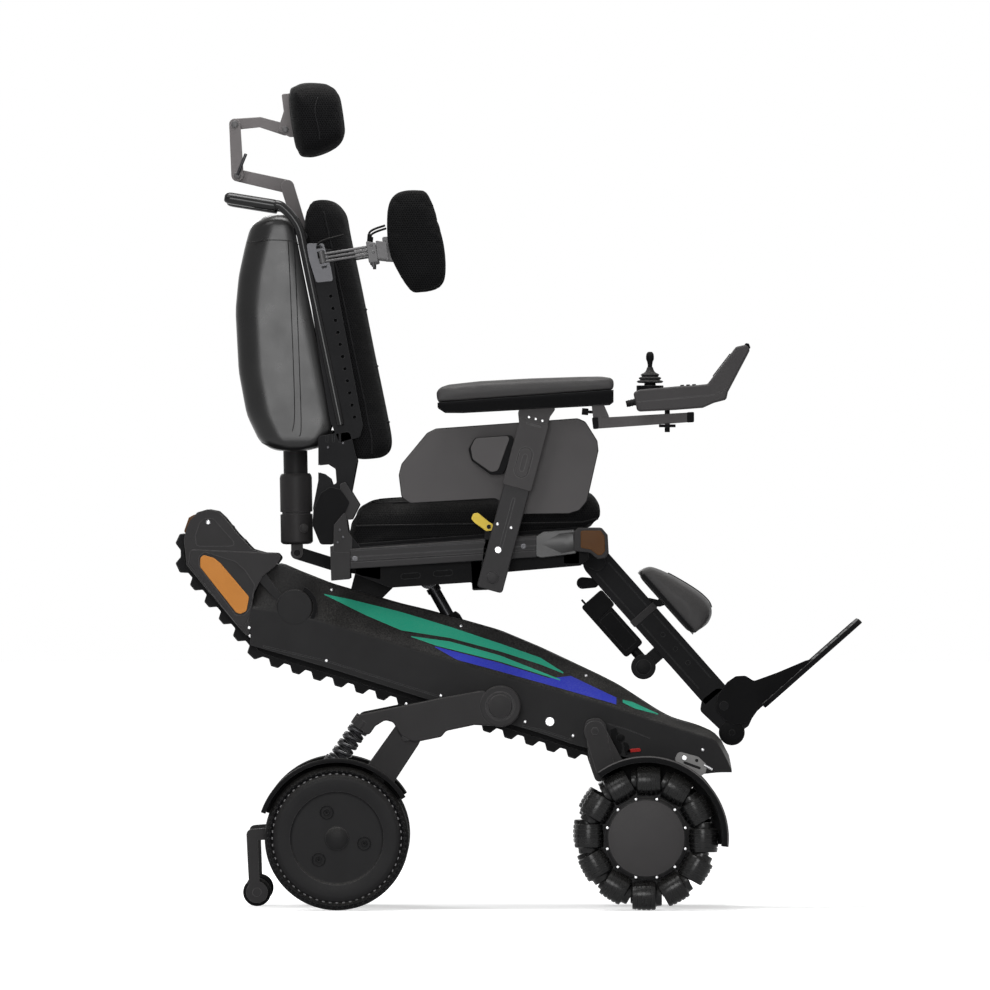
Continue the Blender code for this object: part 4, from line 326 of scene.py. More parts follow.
def bar(place, start, end, radius, y=0.0, across=0.0, sides=32, tip=None):
    """A round bar in the side view, between two distances along a frame in millimetres."""
    (x0, z0), (x1, z1) = place(start, across), place(end, across)
    return rod((x0 * MM, y, z0 * MM), (x1 * MM, y, z1 * MM), radius * MM, sides,
               None if tip is None else tip * MM)


def box_along(place, start, end, rear, front):
    return [place(start, rear), place(end, rear), place(end, front), place(start, front)]


def ball(centre, radius):
    bm = bmesh.new()
    bmesh.ops.create_uvsphere(bm, u_segments=32, v_segments=16, radius=radius,
                              matrix=Matrix.Translation(centre))
    return to_mesh(bm)


def with_modifiers(thing):
    """The mesh that an object's modifiers make of it."""
    depsgraph = bpy.context.evaluated_depsgraph_get()
    return bpy.data.meshes.new_from_object(thing.evaluated_get(depsgraph))


def merged(*shapes):
    """One mesh that holds several closed shapes."""
    bm = bmesh.new()
    for shape in shapes:
        bm.from_mesh(shape)
    mesh = bpy.data.meshes.new("shape")
    bm.to_mesh(mesh)
    bm.free()
    return mesh


def combined(base, tools, operation):
    body = bpy.data.objects.new("combined", base)
    helpers = []
    bpy.context.scene.collection.objects.link(body)
    for tool in tools:
        helper = bpy.data.objects.new("tool", tool)
        bpy.context.scene.collection.objects.link(helper)
        helpers.append(helper)
        step = body.modifiers.new("step", "BOOLEAN")
        step.operation = operation
        step.solver = "EXACT"
        step.object = helper
    result = with_modifiers(body)
    for used in [body] + helpers:
        bpy.data.objects.remove(used)
    return result


def joined(first, *others):
    return combined(first, others, "UNION")


def cut(first, *tools):
    return combined(first, tools, "DIFFERENCE")


def mirrored(shape):
    copy = shape.copy()
    copy.transform(Matrix.Scale(-1, 4, (0, 1, 0)))
    copy.flip_normals()
    return copy


def two_sided(shape):
    return merged(shape, mirrored(shape))


# Effects that several finishes share

def new_group(name, sockets):
    group = bpy.data.node_groups.new(name, "ShaderNodeTree")
    for label, way, kind, value in sockets:
        socket = group.interface.new_socket(label, in_out=way, socket_type="NodeSocket" + kind)
        if value is not None:
            socket.default_value = value
    return group, group.nodes.new("NodeGroupInput"), group.nodes.new("NodeGroupOutput")


def math_node(tree, operation, first, second=None, third=None):
    node = tree.nodes.new("ShaderNodeMath")
    node.operation = operation
    for slot, value in enumerate((first, second, third)):
        if value is None:
            continue
        if isinstance(value, (int, float)):
            node.inputs[slot].default_value = value
        else:
            tree.links.new(value, node.inputs[slot])
    return node.outputs[0]


def noise_node(tree, scale, detail=3.0, stretch=None):
    """Noise on the piece's own coordinates, drawn out along an axis by its stretch."""
    place = tree.nodes.new("ShaderNodeTexCoord").outputs["Object"]
    if stretch:
        mapping = tree.nodes.new("ShaderNodeMapping")
        mapping.inputs["Scale"].default_value = stretch
        tree.links.new(place, mapping.inputs["Vector"])
        place = mapping.outputs["Vector"]
    node = tree.nodes.new("ShaderNodeTexNoise")
    tree.links.new(place, node.inputs["Vector"])
    node.inputs["Detail"].default_value = detail
    if isinstance(scale, (int, float)):
        node.inputs["Scale"].default_value = scale
    else:
        tree.links.new(scale, node.inputs["Scale"])
    return node.outputs["Fac"]


def mix_colour(tree, share, first, second):
    node = tree.nodes.new("ShaderNodeMix")
    node.data_type = "RGBA"
    for socket, value in ((node.inputs["Factor"], share), (node.inputs[6], first),
                          (node.inputs[7], second)):
        if isinstance(value, (int, float, tuple)):
            socket.default_value = value
        else:
            tree.links.new(value, socket)
    return node.outputs[2]


def edge_wear_and_highlight_group():
    """Lighter edges in broken patches: partly rubbed wear, partly a painted highlight along the bevels."""
    # The worn colour and its amount make the edges lighter: wear, and a painted highlight along every
    # bevel.
    group, source, out = new_group("edge_wear", [
        ("Colour", "INPUT", "Color", None), ("Worn Colour", "INPUT", "Color", None),
        ("Wear", "INPUT", "Float", 0.5), ("Colour", "OUTPUT", "Color", None),
        ("Mask", "OUTPUT", "Float", None)])
    bevel = group.nodes.new("ShaderNodeBevel")
    bevel.samples = 3
    bevel.inputs["Radius"].default_value = 0.0016
    facing = group.nodes.new("ShaderNodeNewGeometry")
    dot = group.nodes.new("ShaderNodeVectorMath")
    dot.operation = "DOT_PRODUCT"
    group.links.new(bevel.outputs[0], dot.inputs[0])
    group.links.new(facing.outputs["Normal"], dot.inputs[1])
    lost = math_node(group, "SUBTRACT", 1.0, dot.outputs["Value"])
    strong = math_node(group, "MULTIPLY", lost, 9.0)
    broken = math_node(group, "MULTIPLY_ADD", noise_node(group, 90.0), 1.3, 0.1)
    mask = math_node(group, "MULTIPLY", strong, broken)
    mask = math_node(group, "MINIMUM", math_node(group, "MULTIPLY", mask, source.outputs["Wear"]),
                     1.0)
    colour = mix_colour(group, mask, source.outputs["Colour"], source.outputs["Worn Colour"])
    group.links.new(colour, out.inputs["Colour"])
    group.links.new(mask, out.inputs["Mask"])
    return group


def dust_group():
    """Fine dust that settles on what faces up, and unevenness of the colour."""
    group, source, out = new_group("settled_dust", [
        ("Colour", "INPUT", "Color", None), ("Dust", "INPUT", "Float", 0.1),
        ("Unevenness", "INPUT", "Float", 0.1), ("Colour", "OUTPUT", "Color", None),
        ("Mask", "OUTPUT", "Float", None)])
    facing = group.nodes.new("ShaderNodeNewGeometry")
    split = group.nodes.new("ShaderNodeSeparateXYZ")
    group.links.new(facing.outputs["Normal"], split.inputs[0])
    upward = math_node(group, "MAXIMUM", split.outputs["Z"], 0.0)
    specks = math_node(group, "MULTIPLY_ADD", noise_node(group, 420.0, 6.0), 2.4, -0.75)
    clouds = noise_node(group, 16.0, 4.0)
    specks = math_node(group, "MULTIPLY", math_node(group, "MAXIMUM", specks, 0.0), clouds)
    mask = math_node(group, "MULTIPLY", math_node(group, "MULTIPLY", specks, upward),
                     source.outputs["Dust"])
    mask = math_node(group, "MINIMUM", mask, 1.0)
    shift = math_node(group, "MULTIPLY_ADD", clouds, 2.0, -1.0)
    shift = math_node(group, "MULTIPLY_ADD", shift, source.outputs["Unevenness"], 1.0)
    scaled = group.nodes.new("ShaderNodeVectorMath")
    scaled.operation = "SCALE"
    group.links.new(source.outputs["Colour"], scaled.inputs[0])
    group.links.new(shift, scaled.inputs["Scale"])
    colour = mix_colour(group, mask, scaled.outputs[0], (0.28, 0.27, 0.25, 1.0))
    group.links.new(colour, out.inputs["Colour"])
    group.links.new(mask, out.inputs["Mask"])
    return group


def grain_group():
    """The fine grain of a moulding or a coat of paint, as a height and a roughness."""
    group, source, out = new_group("fine_grain", [
        ("Scale", "INPUT", "Float", 900.0), ("Roughness", "INPUT", "Float", 0.5),
        ("Variation", "INPUT", "Float", 0.1), ("Height", "OUTPUT", "Float", None),
        ("Roughness", "OUTPUT", "Float", None)])
    fine = noise_node(group, source.outputs["Scale"], 4.0)
    broad = noise_node(group, 24.0, 3.0)
    shift = math_node(group, "MULTIPLY_ADD", broad, 2.0, -1.0)
    rough = math_node(group, "MULTIPLY_ADD", shift, source.outputs["Variation"],
                      source.outputs["Roughness"])
    group.links.new(fine, out.inputs["Height"])
    group.links.new(rough, out.inputs["Roughness"])
    return group


def brushed_group():
    """Fine parallel lines left by drawing or brushing metal."""
    group, source, out = new_group("brushed_lines", [
        ("Scale", "INPUT", "Float", 60.0), ("Roughness", "INPUT", "Float", 0.3),
        ("Variation", "INPUT", "Float", 0.1), ("Height", "OUTPUT", "Float", None),
        ("Roughness", "OUTPUT", "Float", None)])
    lines = noise_node(group, source.outputs["Scale"], 3.0, (1.0, 1.0, 30.0))
    shift = math_node(group, "MULTIPLY_ADD", lines, 2.0, -1.0)
    rough = math_node(group, "MULTIPLY_ADD", shift, source.outputs["Variation"],
                      source.outputs["Roughness"])
    group.links.new(lines, out.inputs["Height"])
    group.links.new(rough, out.inputs["Roughness"])
    return group


def cloth_group():
    """Spacer cloth: rows of small round holes, offset by half a pitch, on each face's own plane."""
    group, source, out = new_group("spacer_cloth", [
        ("Holes Per Metre", "INPUT", "Float", 220.0), ("Height", "OUTPUT", "Float", None),
        ("Hole", "OUTPUT", "Float", None)])
    place = group.nodes.new("ShaderNodeTexCoord")
    where = group.nodes.new("ShaderNodeSeparateXYZ")
    group.links.new(place.outputs["Object"], where.inputs[0])
    facing = group.nodes.new("ShaderNodeSeparateXYZ")
    group.links.new(place.outputs["Normal"], facing.inputs[0])
    ax, ay, az = (math_node(group, "ABSOLUTE", facing.outputs[i]) for i in range(3))
    sideways = math_node(group, "GREATER_THAN", ay, math_node(group, "MAXIMUM", ax, az))
    upwards = math_node(group, "GREATER_THAN", az, math_node(group, "MAXIMUM", ax, ay))

    def choose(share, first, second):
        node = group.nodes.new("ShaderNodeMix")
        group.links.new(share, node.inputs["Factor"])
        group.links.new(first, node.inputs[2])
        group.links.new(second, node.inputs[3])
        return node.outputs[0]

    x, y, z = (where.outputs[i] for i in range(3))
    u = choose(sideways, choose(upwards, y, x), x)
    v = choose(sideways, choose(upwards, z, y), z)
    u = math_node(group, "MULTIPLY", u, source.outputs["Holes Per Metre"])
    v = math_node(group, "DIVIDE",
                  math_node(group, "MULTIPLY", v, source.outputs["Holes Per Metre"]), 0.866)
    row = math_node(group, "FLOOR", v)
    odd = math_node(group, "MULTIPLY", math_node(group, "FLOORED_MODULO", row, 2.0), 0.5)
    du = math_node(group, "SUBTRACT",
                   math_node(group, "FRACT", math_node(group, "ADD", u, odd)), 0.5)
    dv = math_node(group, "MULTIPLY", math_node(
        group, "SUBTRACT", math_node(group, "FRACT", v), 0.5), 0.866)
    reach = math_node(group, "SQRT", math_node(
        group, "ADD", math_node(group, "POWER", du, 2.0), math_node(group, "POWER", dv, 2.0)))
    edge = group.nodes.new("ShaderNodeMapRange")
    edge.interpolation_type = "SMOOTHSTEP"
    group.links.new(reach, edge.inputs["Value"])
    for label, value in (("From Min", 0.2), ("From Max", 0.38), ("To Min", 1.0), ("To Max", 0.0)):
        edge.inputs[label].default_value = value
    hole = edge.outputs[0]
    threads = noise_node(group, 1500.0, 2.0)
    height = math_node(group, "SUBTRACT", math_node(group, "MULTIPLY", threads, 0.35), hole)
    group.links.new(height, out.inputs["Height"])
    group.links.new(hole, out.inputs["Hole"])
    return group


EDGE_WEAR_AND_HIGHLIGHT = edge_wear_and_highlight_group()
DUST = dust_group()
GRAIN = grain_group()
BRUSHED = brushed_group()
CLOTH = cloth_group()
FINISHES = {}


def place_group(tree, group, **values):
    node = tree.nodes.new("ShaderNodeGroup")
    node.node_tree = group
    for label, value in values.items():
        socket = node.inputs[label.replace("_", " ")]
        if isinstance(value, (int, float, tuple)):
            socket.default_value = value
        else:
            tree.links.new(value, socket)
    return node


def finish(name, slot, colour, roughness, edge_and_hole_colour=None, wear_and_highlight=0.35, dust=0.25, uneven=0.08,
           scale=900.0, depth=0.00008, variation=0.07, surface=GRAIN, **constants):
    """A finish with lighter edges, which are partly rubbed wear and partly a painted highlight, and with
    dust, uneven colour and its own fine surface.
    """
    material = bpy.data.materials.new(name)
    material.use_nodes = True
    tree = material.node_tree
    shader = tree.nodes["Principled BSDF"]
    for label, value in constants.items():
        shader.inputs[label.replace("_", " ")].default_value = value
    edge_and_hole_colour = edge_and_hole_colour or tuple(min(1.0, 2.4 * c + 0.03) for c in colour)
    if surface is CLOTH:
        cloth = place_group(tree, CLOTH, Holes_Per_Metre=scale)
        base = mix_colour(tree, cloth.outputs["Hole"], (*colour, 1.0), (*edge_and_hole_colour, 1.0))
        height = cloth.outputs["Height"]
        grain = place_group(tree, GRAIN, Scale=500.0, Roughness=roughness, Variation=variation)
    else:
        # Lighter edges from the bevel mask: partly wear, partly a painted highlight.
        edges = place_group(tree, EDGE_WEAR_AND_HIGHLIGHT, Colour=(*colour, 1.0), Worn_Colour=(*edge_and_hole_colour, 1.0),
                            Wear=wear_and_highlight)
        base = edges.outputs["Colour"]
        grain = place_group(tree, surface, Scale=scale, Roughness=roughness, Variation=variation)
        height = grain.outputs["Height"]
    settled = place_group(tree, DUST, Colour=base, Dust=dust, Unevenness=uneven)
    tree.links.new(settled.outputs["Colour"], shader.inputs["Base Color"])
    tree.links.new(grain.outputs["Roughness"], shader.inputs["Roughness"])
    bump = tree.nodes.new("ShaderNodeBump")
    bump.inputs["Strength"].default_value = 1.0
    bump.inputs["Distance"].default_value = depth
    tree.links.new(height, bump.inputs["Height"])
    tree.links.new(bump.outputs[0], shader.inputs["Normal"])
    FINISHES[name] = (material, slot)


finish("satin_paint", "frame_black", (0.006, 0.006, 0.0065), 0.42, scale=1400.0,
       depth=0.00004, Specular_IOR_Level=0.03)
finish("gloss_black", "frame_black", (0.004, 0.004, 0.0043), 0.2, scale=1400.0,
       depth=0.00002, Specular_IOR_Level=0.16)
finish("grey_anodised", "aluminium_grey", (0.05, 0.049, 0.05), 0.45, wear_and_highlight=0.5, scale=50.0,
       depth=0.00003, surface=BRUSHED, Metallic=0.5, Specular_IOR_Level=0.25)
finish("dark_anodised", "frame_black", (0.017, 0.0165, 0.017), 0.42, scale=50.0, depth=0.00003,
       surface=BRUSHED, Metallic=0.15, Specular_IOR_Level=0.05)
finish("bright_steel", "steel", (0.4, 0.4, 0.41), 0.32, (0.6, 0.6, 0.6), scale=90.0,
       depth=0.00002, surface=BRUSHED, Metallic=0.8, Specular_IOR_Level=0.3)
finish("dark_steel", "steel", (0.02, 0.02, 0.022), 0.3, scale=90.0, depth=0.00002,
       surface=BRUSHED, Metallic=0.5, Specular_IOR_Level=0.2)
finish("zinc", "steel", (0.08, 0.078, 0.077), 0.45, (0.12, 0.12, 0.12), scale=60.0,
       depth=0.00003, surface=BRUSHED, Metallic=0.3, Specular_IOR_Level=0.45)
finish("cover_moulding", "cover_black", (0.009, 0.0088, 0.0092), 0.42, wear_and_highlight=0.6, dust=0.35,
       scale=1500.0, depth=0.00004, Specular_IOR_Level=0.05)
finish("grey_moulding", "grey_plastic", (0.017, 0.0163, 0.0167), 0.44, wear_and_highlight=0.5, scale=1100.0,
       depth=0.00006, Specular_IOR_Level=0.055)
finish("light_moulding", "grey_plastic", (0.05, 0.0475, 0.048), 0.5, wear_and_highlight=0.3, scale=1100.0,
       depth=0.00005, Specular_IOR_Level=0.08)
finish("arm_grey", "grey_plastic", (0.03, 0.0285, 0.029), 0.46, wear_and_highlight=0.4, scale=1100.0,
       depth=0.00005, Specular_IOR_Level=0.07)
finish("link_grey", "grey_plastic", (0.1, 0.093, 0.0935), 0.5, wear_and_highlight=0.3, scale=1100.0,
       depth=0.00005, Specular_IOR_Level=0.08)
finish("black_moulding", "black_plastic", (0.004, 0.004, 0.0043), 0.45, wear_and_highlight=0.4, scale=1100.0,
       depth=0.00006, Specular_IOR_Level=0.02)
finish("belt_rubber", "belt_rubber", (0.008, 0.008, 0.0084), 0.68, wear_and_highlight=0.5, dust=0.4,
       scale=700.0, depth=0.00016, Specular_IOR_Level=0.04)
finish("tyre_rubber", "tyre_rubber", (0.003, 0.003, 0.0033), 0.6, wear_and_highlight=0.3, dust=0.3,
       scale=800.0, depth=0.00012, Specular_IOR_Level=0.03)
finish("roller_rubber", "tyre_rubber", (0.003, 0.003, 0.0032), 0.27, wear_and_highlight=0.3, dust=0.2,
       scale=600.0, depth=0.00005, Specular_IOR_Level=0.16)
finish("mesh_cloth", "mesh_fabric", (0.006, 0.006, 0.0063), 0.85, (0.0018, 0.0018, 0.002),
       dust=0.1, scale=215.0, depth=0.0006, surface=CLOTH, Specular_IOR_Level=0.02,
       Sheen_Weight=0.02, Sheen_Roughness=0.5)
finish("piping_cloth", "mesh_fabric", (0.007, 0.007, 0.0075), 0.75, scale=1600.0, depth=0.0002,
       Specular_IOR_Level=0.03)
finish("pad_skin", "pad_cover", (0.032, 0.031, 0.0313), 0.46, wear_and_highlight=0.15, scale=420.0,
       depth=0.00014, Specular_IOR_Level=0.09)
finish("shell_skin", "black_plastic", (0.005, 0.0049, 0.0051), 0.3, wear_and_highlight=0.3, scale=500.0,
       depth=0.00006, Specular_IOR_Level=0.22)
finish("lever_yellow", "yellow_plastic", (0.5, 0.36, 0.045), 0.45, (0.62, 0.5, 0.14),
       scale=900.0, depth=0.00006, Specular_IOR_Level=0.1)
finish("stripe_green", "cover_black", (0.018, 0.26, 0.165), 0.42, wear_and_highlight=0.1, uneven=0.05,
       scale=1500.0, depth=0.00003, Specular_IOR_Level=0.05)
finish("stripe_blue", "cover_black", (0.02, 0.03, 0.32), 0.42, wear_and_highlight=0.1, uneven=0.05,
       scale=1500.0, depth=0.00003, Specular_IOR_Level=0.05)
finish("reflector_orange", "yellow_plastic", (0.34, 0.13, 0.022), 0.4, wear_and_highlight=0.2, scale=320.0,
       depth=0.0001, Specular_IOR_Level=0.08)
# The strongly lighter edges of the lamp glass are a painted highlight round its border as well as wear.
finish("lamp_amber", "yellow_plastic", (0.05, 0.02, 0.005), 0.3, (0.16, 0.07, 0.015), wear_and_highlight=0.6,
       dust=0.05, scale=260.0, depth=0.00006, Specular_IOR_Level=0.04)
finish("signal_red", "grey_plastic", (0.25, 0.01, 0.008), 0.4, Specular_IOR_Level=0.05)


# Placing pieces

def smooth(mesh):
    """Smooth shading that keeps flat faces flat."""
    mesh.shade_smooth()
    mesh.set_sharp_from_angle(angle=math.radians(38))
    body = bpy.data.objects.new("smooth", mesh)
    bpy.context.scene.collection.objects.link(body)
    step = body.modifiers.new("weight", "WEIGHTED_NORMAL")
    step.keep_sharp = True
    result = with_modifiers(body)
    bpy.data.objects.remove(body)
    return result


def add(name, shape, body, look, *nodes):
    """A piece in a finish that stands for the CAD nodes named and rides on a body, or, where body is (one
    body, another, start, end), stays in place with no body."""
    material, slot = FINISHES[look]
    mesh = smooth(shape)
    mesh.name = name
    mesh.materials.clear()
    mesh.materials.append(material)
    thing = bpy.data.objects.new(name, mesh)
    bpy.context.scene.collection.objects.link(thing)
    if isinstance(body, tuple):
        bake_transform(thing)
    else:
        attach(thing, body)
    if nodes:
        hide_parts(*nodes)
    return thing


def add_pair(name, shape, body, look, *nodes):
    """A right-hand piece and its mirror image. Bodies and nodes are named without the side."""
    for side, form in zip(SIDES, (shape, mirrored(shape))):
        add(f"{name}_{side}", form, body if body == body.rstrip("_") else body + side, look,
            *[f"{node}_{side}" for node in nodes])


# What repeats: one item set on points, or round a wheel, by Geometry Nodes

def geometry_tree(name, inputs):
    tree = bpy.data.node_groups.new(name, "GeometryNodeTree")
    tree.interface.new_socket("Geometry", in_out="INPUT", socket_type="NodeSocketGeometry")
    for label, kind, value in inputs:
        socket = tree.interface.new_socket(label, in_out="INPUT", socket_type="NodeSocket" + kind)
        if value is not None:
            socket.default_value = value
    tree.interface.new_socket("Geometry", in_out="OUTPUT", socket_type="NodeSocketGeometry")
    return tree, tree.nodes.new("NodeGroupInput"), tree.nodes.new("NodeGroupOutput")


def ending(tree, instances, source, out):
    real = tree.nodes.new("GeometryNodeRealizeInstances")
    look = tree.nodes.new("GeometryNodeSetMaterial")
    tree.links.new(instances, real.inputs[0])
    tree.links.new(real.outputs[0], look.inputs["Geometry"])
    tree.links.new(source.outputs["Finish"], look.inputs["Material"])
    tree.links.new(look.outputs[0], out.inputs[0])


def points_tree():
    """An item on every point, turned by the point's own angles and sized by one number."""
    tree, source, out = geometry_tree("set_on_points", [
        ("Item", "Object", None), ("Size", "Float", 1.0), ("Finish", "Material", None)])
    item = tree.nodes.new("GeometryNodeObjectInfo")
    tree.links.new(source.outputs["Item"], item.inputs["Object"])
    turn = tree.nodes.new("GeometryNodeInputNamedAttribute")
    turn.data_type = "FLOAT_VECTOR"
    turn.inputs["Name"].default_value = "turn"
    angles = tree.nodes.new("FunctionNodeEulerToRotation")
    tree.links.new(turn.outputs["Attribute"], angles.inputs[0])
    spread = tree.nodes.new("GeometryNodeInstanceOnPoints")
    tree.links.new(source.outputs["Geometry"], spread.inputs["Points"])
    tree.links.new(item.outputs["Geometry"], spread.inputs["Instance"])
    tree.links.new(angles.outputs[0], spread.inputs["Rotation"])
    tree.links.new(source.outputs["Size"], spread.inputs["Scale"])
    ending(tree, spread.outputs[0], source, out)
    return tree


def wheel_tree():
    """An item repeated evenly round a crosswise axis, at a radius and a distance out."""
    tree, source, out = geometry_tree("repeat_round", [
        ("Item", "Object", None), ("Count", "Int", 12), ("Radius", "Float", 0.1),
        ("First Turn", "Float", 0.0), ("Centre", "Vector", None), ("Finish", "Material", None)])
    item = tree.nodes.new("GeometryNodeObjectInfo")
    tree.links.new(source.outputs["Item"], item.inputs["Object"])
    points = tree.nodes.new("GeometryNodePoints")
    tree.links.new(source.outputs["Count"], points.inputs["Count"])
    index = tree.nodes.new("GeometryNodeInputIndex")
    share = math_node(tree, "DIVIDE", index.outputs[0], source.outputs["Count"])
    angle = math_node(tree, "MULTIPLY_ADD", share, 2 * math.pi, source.outputs["First Turn"])
    across = math_node(tree, "MULTIPLY", math_node(tree, "COSINE", angle),
                       source.outputs["Radius"])
    up = math_node(tree, "MULTIPLY", math_node(tree, "SINE", angle), source.outputs["Radius"])
    place = tree.nodes.new("ShaderNodeCombineXYZ")
    tree.links.new(across, place.inputs["X"])
    tree.links.new(up, place.inputs["Z"])
    moved_out = tree.nodes.new("ShaderNodeVectorMath")
    tree.links.new(place.outputs[0], moved_out.inputs[0])
    tree.links.new(source.outputs["Centre"], moved_out.inputs[1])
    tree.links.new(moved_out.outputs[0], points.inputs["Position"])
    turn = tree.nodes.new("ShaderNodeCombineXYZ")
    tree.links.new(math_node(tree, "MULTIPLY", angle, -1.0), turn.inputs["Y"])
    angles = tree.nodes.new("FunctionNodeEulerToRotation")
    tree.links.new(turn.outputs[0], angles.inputs[0])
    spread = tree.nodes.new("GeometryNodeInstanceOnPoints")
    tree.links.new(points.outputs[0], spread.inputs["Points"])
    tree.links.new(item.outputs["Geometry"], spread.inputs["Instance"])
    tree.links.new(angles.outputs[0], spread.inputs["Rotation"])
    ending(tree, spread.outputs[0], source, out)
    return tree


ON_POINTS = points_tree()
ROUND_WHEEL = wheel_tree()


def grown(base, tree, item, look, **values):
    """The plain mesh that a tree makes from a base mesh and an item."""
    base_object = bpy.data.objects.new("base", base)
    item_object = bpy.data.objects.new("item", item)
    for thing in (base_object, item_object):
        bpy.context.scene.collection.objects.link(thing)
    step = base_object.modifiers.new("grow", "NODES")
    step.node_group = tree
    values["Item"], values["Finish"] = item_object, FINISHES[look][0]
    for socket in tree.interface.items_tree:
        if socket.in_out == "INPUT" and socket.name.replace(" ", "_") in values:
            step[socket.identifier] = values[socket.name.replace(" ", "_")]
    result = with_modifiers(base_object)
    bpy.data.objects.remove(base_object)
    bpy.data.objects.remove(item_object)
    return result


def set_on(places, item, look, size=1.0):
    """The item at each (point, outward direction), modelled to face the right-hand side."""
    base = bpy.data.meshes.new("places")
    base.from_pydata([tuple(point) for point, _ in places], [], [])
    turn = base.attributes.new("turn", "FLOAT_VECTOR", "POINT")
    face = Vector((0, -1, 0))
    for i, (_, way) in enumerate(places):
        turn.data[i].vector = tuple(face.rotation_difference(Vector(way)).to_euler())
    return grown(base, ON_POINTS, item, look, Size=size)


def round_wheel(item, look, count, centre, radius, y, first=0.0):
    empty = bpy.data.meshes.new("none")
    empty.from_pydata([(0, 0, 0)], [], [])
    return grown(empty, ROUND_WHEEL, item, look, Count=count, Radius=radius * MM,
                 First_Turn=first, Centre=(centre[0] * MM, -y, centre[1] * MM))


def side_places(points, y):
    """Places in the side view, in millimetres, that face the right-hand side."""
    return [((x * MM, -y, z * MM), (0, -1, 0)) for x, z in points]


def dome_screw():
    """A button-head screw of 10 mm with a six-sided socket, its seat at the origin."""
    head = turned((0, 0), [(0, 1), (5, 1), (5, -0.6), (4.6, -1.8), (3.6, -2.7), (2.3, -3.1),
                           (0, -3.2)], 20)
    return cut(head, slab(disc((0, 0), 1.7, 6), -0.0045, -0.0016, 0))


def flat_bolt():
    """A flat cap screw of 12 mm with a socket and a washer."""
    washer = turned((0, 0), [(0, 1), (8, 1), (8, -0.9), (7.6, -1.2), (0, -1.2)], 24)
    head = turned((0, 0), [(0, 0), (6, 0), (6, -3.6), (5.5, -4.2), (0, -4.2)], 24)
    return merged(washer, cut(head, slab(disc((0, 0), 2.9, 6), -0.006, -0.0018, 0)))


SCREW = dome_screw()
BOLT = flat_bolt()


# Stage: camera, lamps, floor and the pale surroundings

CAMERA_PLACE = (-0.0407, -40.95, 0.7678)
CAMERA_LENS = 800         # long and far away, because the photo hardly narrows with distance
LAMP_AIM = Vector((0, 0, 0.7))
LAMPS = (("lamp_upper_left", (-1.8, -3.0, 3.8), 1.8, 55),
         ("lamp_over", (-0.2, -0.6, 3.6), 1.6, 115),
         ("lamp_front", (-0.35, -5.2, 1.3), 2.0, 130),
         ("lamp_behind", (-1.6, 3.4, 2.8), 2.2, 90))
FLOOR_HALF = 60           # metres, so that its edge never shows


def seen_directly(tree):
    """1 for what the camera sees, also in a shiny or clear surface, and 0 for plain light."""
    shown = tree.nodes.new("ShaderNodeLightPath")
    return math_node(tree, "MAXIMUM", shown.outputs["Is Camera Ray"],
                     math_node(tree, "MAXIMUM", shown.outputs["Is Glossy Ray"],
                               shown.outputs["Is Transmission Ray"]))


def set_stage():
    scene = bpy.context.scene
    scene.view_settings.view_transform = "Standard"
    camera = bpy.data.objects.new("camera", bpy.data.cameras.new("camera"))
    camera.data.lens = CAMERA_LENS
    camera.data.clip_end = 200
    camera.location = CAMERA_PLACE
    camera.rotation_euler = (math.pi / 2, 0, 0)
    scene.collection.objects.link(camera)
    scene.camera = camera
    for name, place, size, watts in LAMPS:
        lamp = bpy.data.lights.new(name, "AREA")
        lamp.shape = "DISK"
        lamp.size = size
        lamp.energy = watts
        thing = bpy.data.objects.new(name, lamp)
        thing.location = place
        thing.rotation_euler = (LAMP_AIM - Vector(place)).to_track_quat("-Z", "Y").to_euler()
        scene.collection.objects.link(thing)

    world = bpy.data.worlds.new("studio")
    scene.world = world
    world.use_nodes = True
    tree = world.node_tree
    seen = seen_directly(tree)
    strength = math_node(tree, "MULTIPLY_ADD", seen, 0.8, 0.2)
    back = tree.nodes["Background"]
    back.inputs["Color"].default_value = (1, 1, 1, 1)
    tree.links.new(strength, back.inputs["Strength"])

    ground = bpy.data.meshes.new("floor")
    bm = bmesh.new()
    bmesh.ops.create_grid(bm, x_segments=8, y_segments=8, size=FLOOR_HALF)
    bm.to_mesh(ground)
    bm.free()
    floor = bpy.data.objects.new("floor", ground)
    floor.location.z = -0.0005
    scene.collection.objects.link(floor)
    material = bpy.data.materials.new("pale_floor")
    material.use_nodes = True
    tree = material.node_tree
    shader = tree.nodes["Principled BSDF"]
    shader.inputs["Roughness"].default_value = 0.9
    shader.inputs["Specular IOR Level"].default_value = 0.1
    tint = mix_colour(tree, math_node(tree, "MULTIPLY", noise_node(tree, 3.0), 0.02),
                      (0.8, 0.8, 0.8, 1), (0.7, 0.7, 0.7, 1))
    tree.links.new(tint, shader.inputs["Base Color"])
    glow = tree.nodes.new("ShaderNodeEmission")
    seen = seen_directly(tree)
    place = tree.nodes.new("ShaderNodeTexCoord")
    reach = tree.nodes.new("ShaderNodeVectorMath")
    reach.operation = "LENGTH"
    tree.links.new(place.outputs["Object"], reach.inputs[0])
    far = math_node(tree, "MINIMUM", math_node(tree, "MULTIPLY_ADD", reach.outputs["Value"], 0.13,
                                               0.42), 0.9)
    tree.links.new(math_node(tree, "MULTIPLY", seen, far), glow.inputs["Strength"])
    both = tree.nodes.new("ShaderNodeAddShader")
    tree.links.new(shader.outputs[0], both.inputs[0])
    tree.links.new(glow.outputs[0], both.inputs[1])
    tree.links.new(both.outputs[0], tree.nodes["Material Output"].inputs["Surface"])
    ground.materials.append(material)


# Belts: a smooth band with scalloped lugs

BELT_THICKNESS = 6.0
LUG_HEIGHT = 12.0


def tangent_angle(first, second):
    (x0, z0), r0 = first
    (x1, z1), r1 = second
    dx, dz = x1 - x0, z1 - z0
    return math.atan2(dz, dx) + math.acos((r1 - r0) / math.hypot(dx, dz))


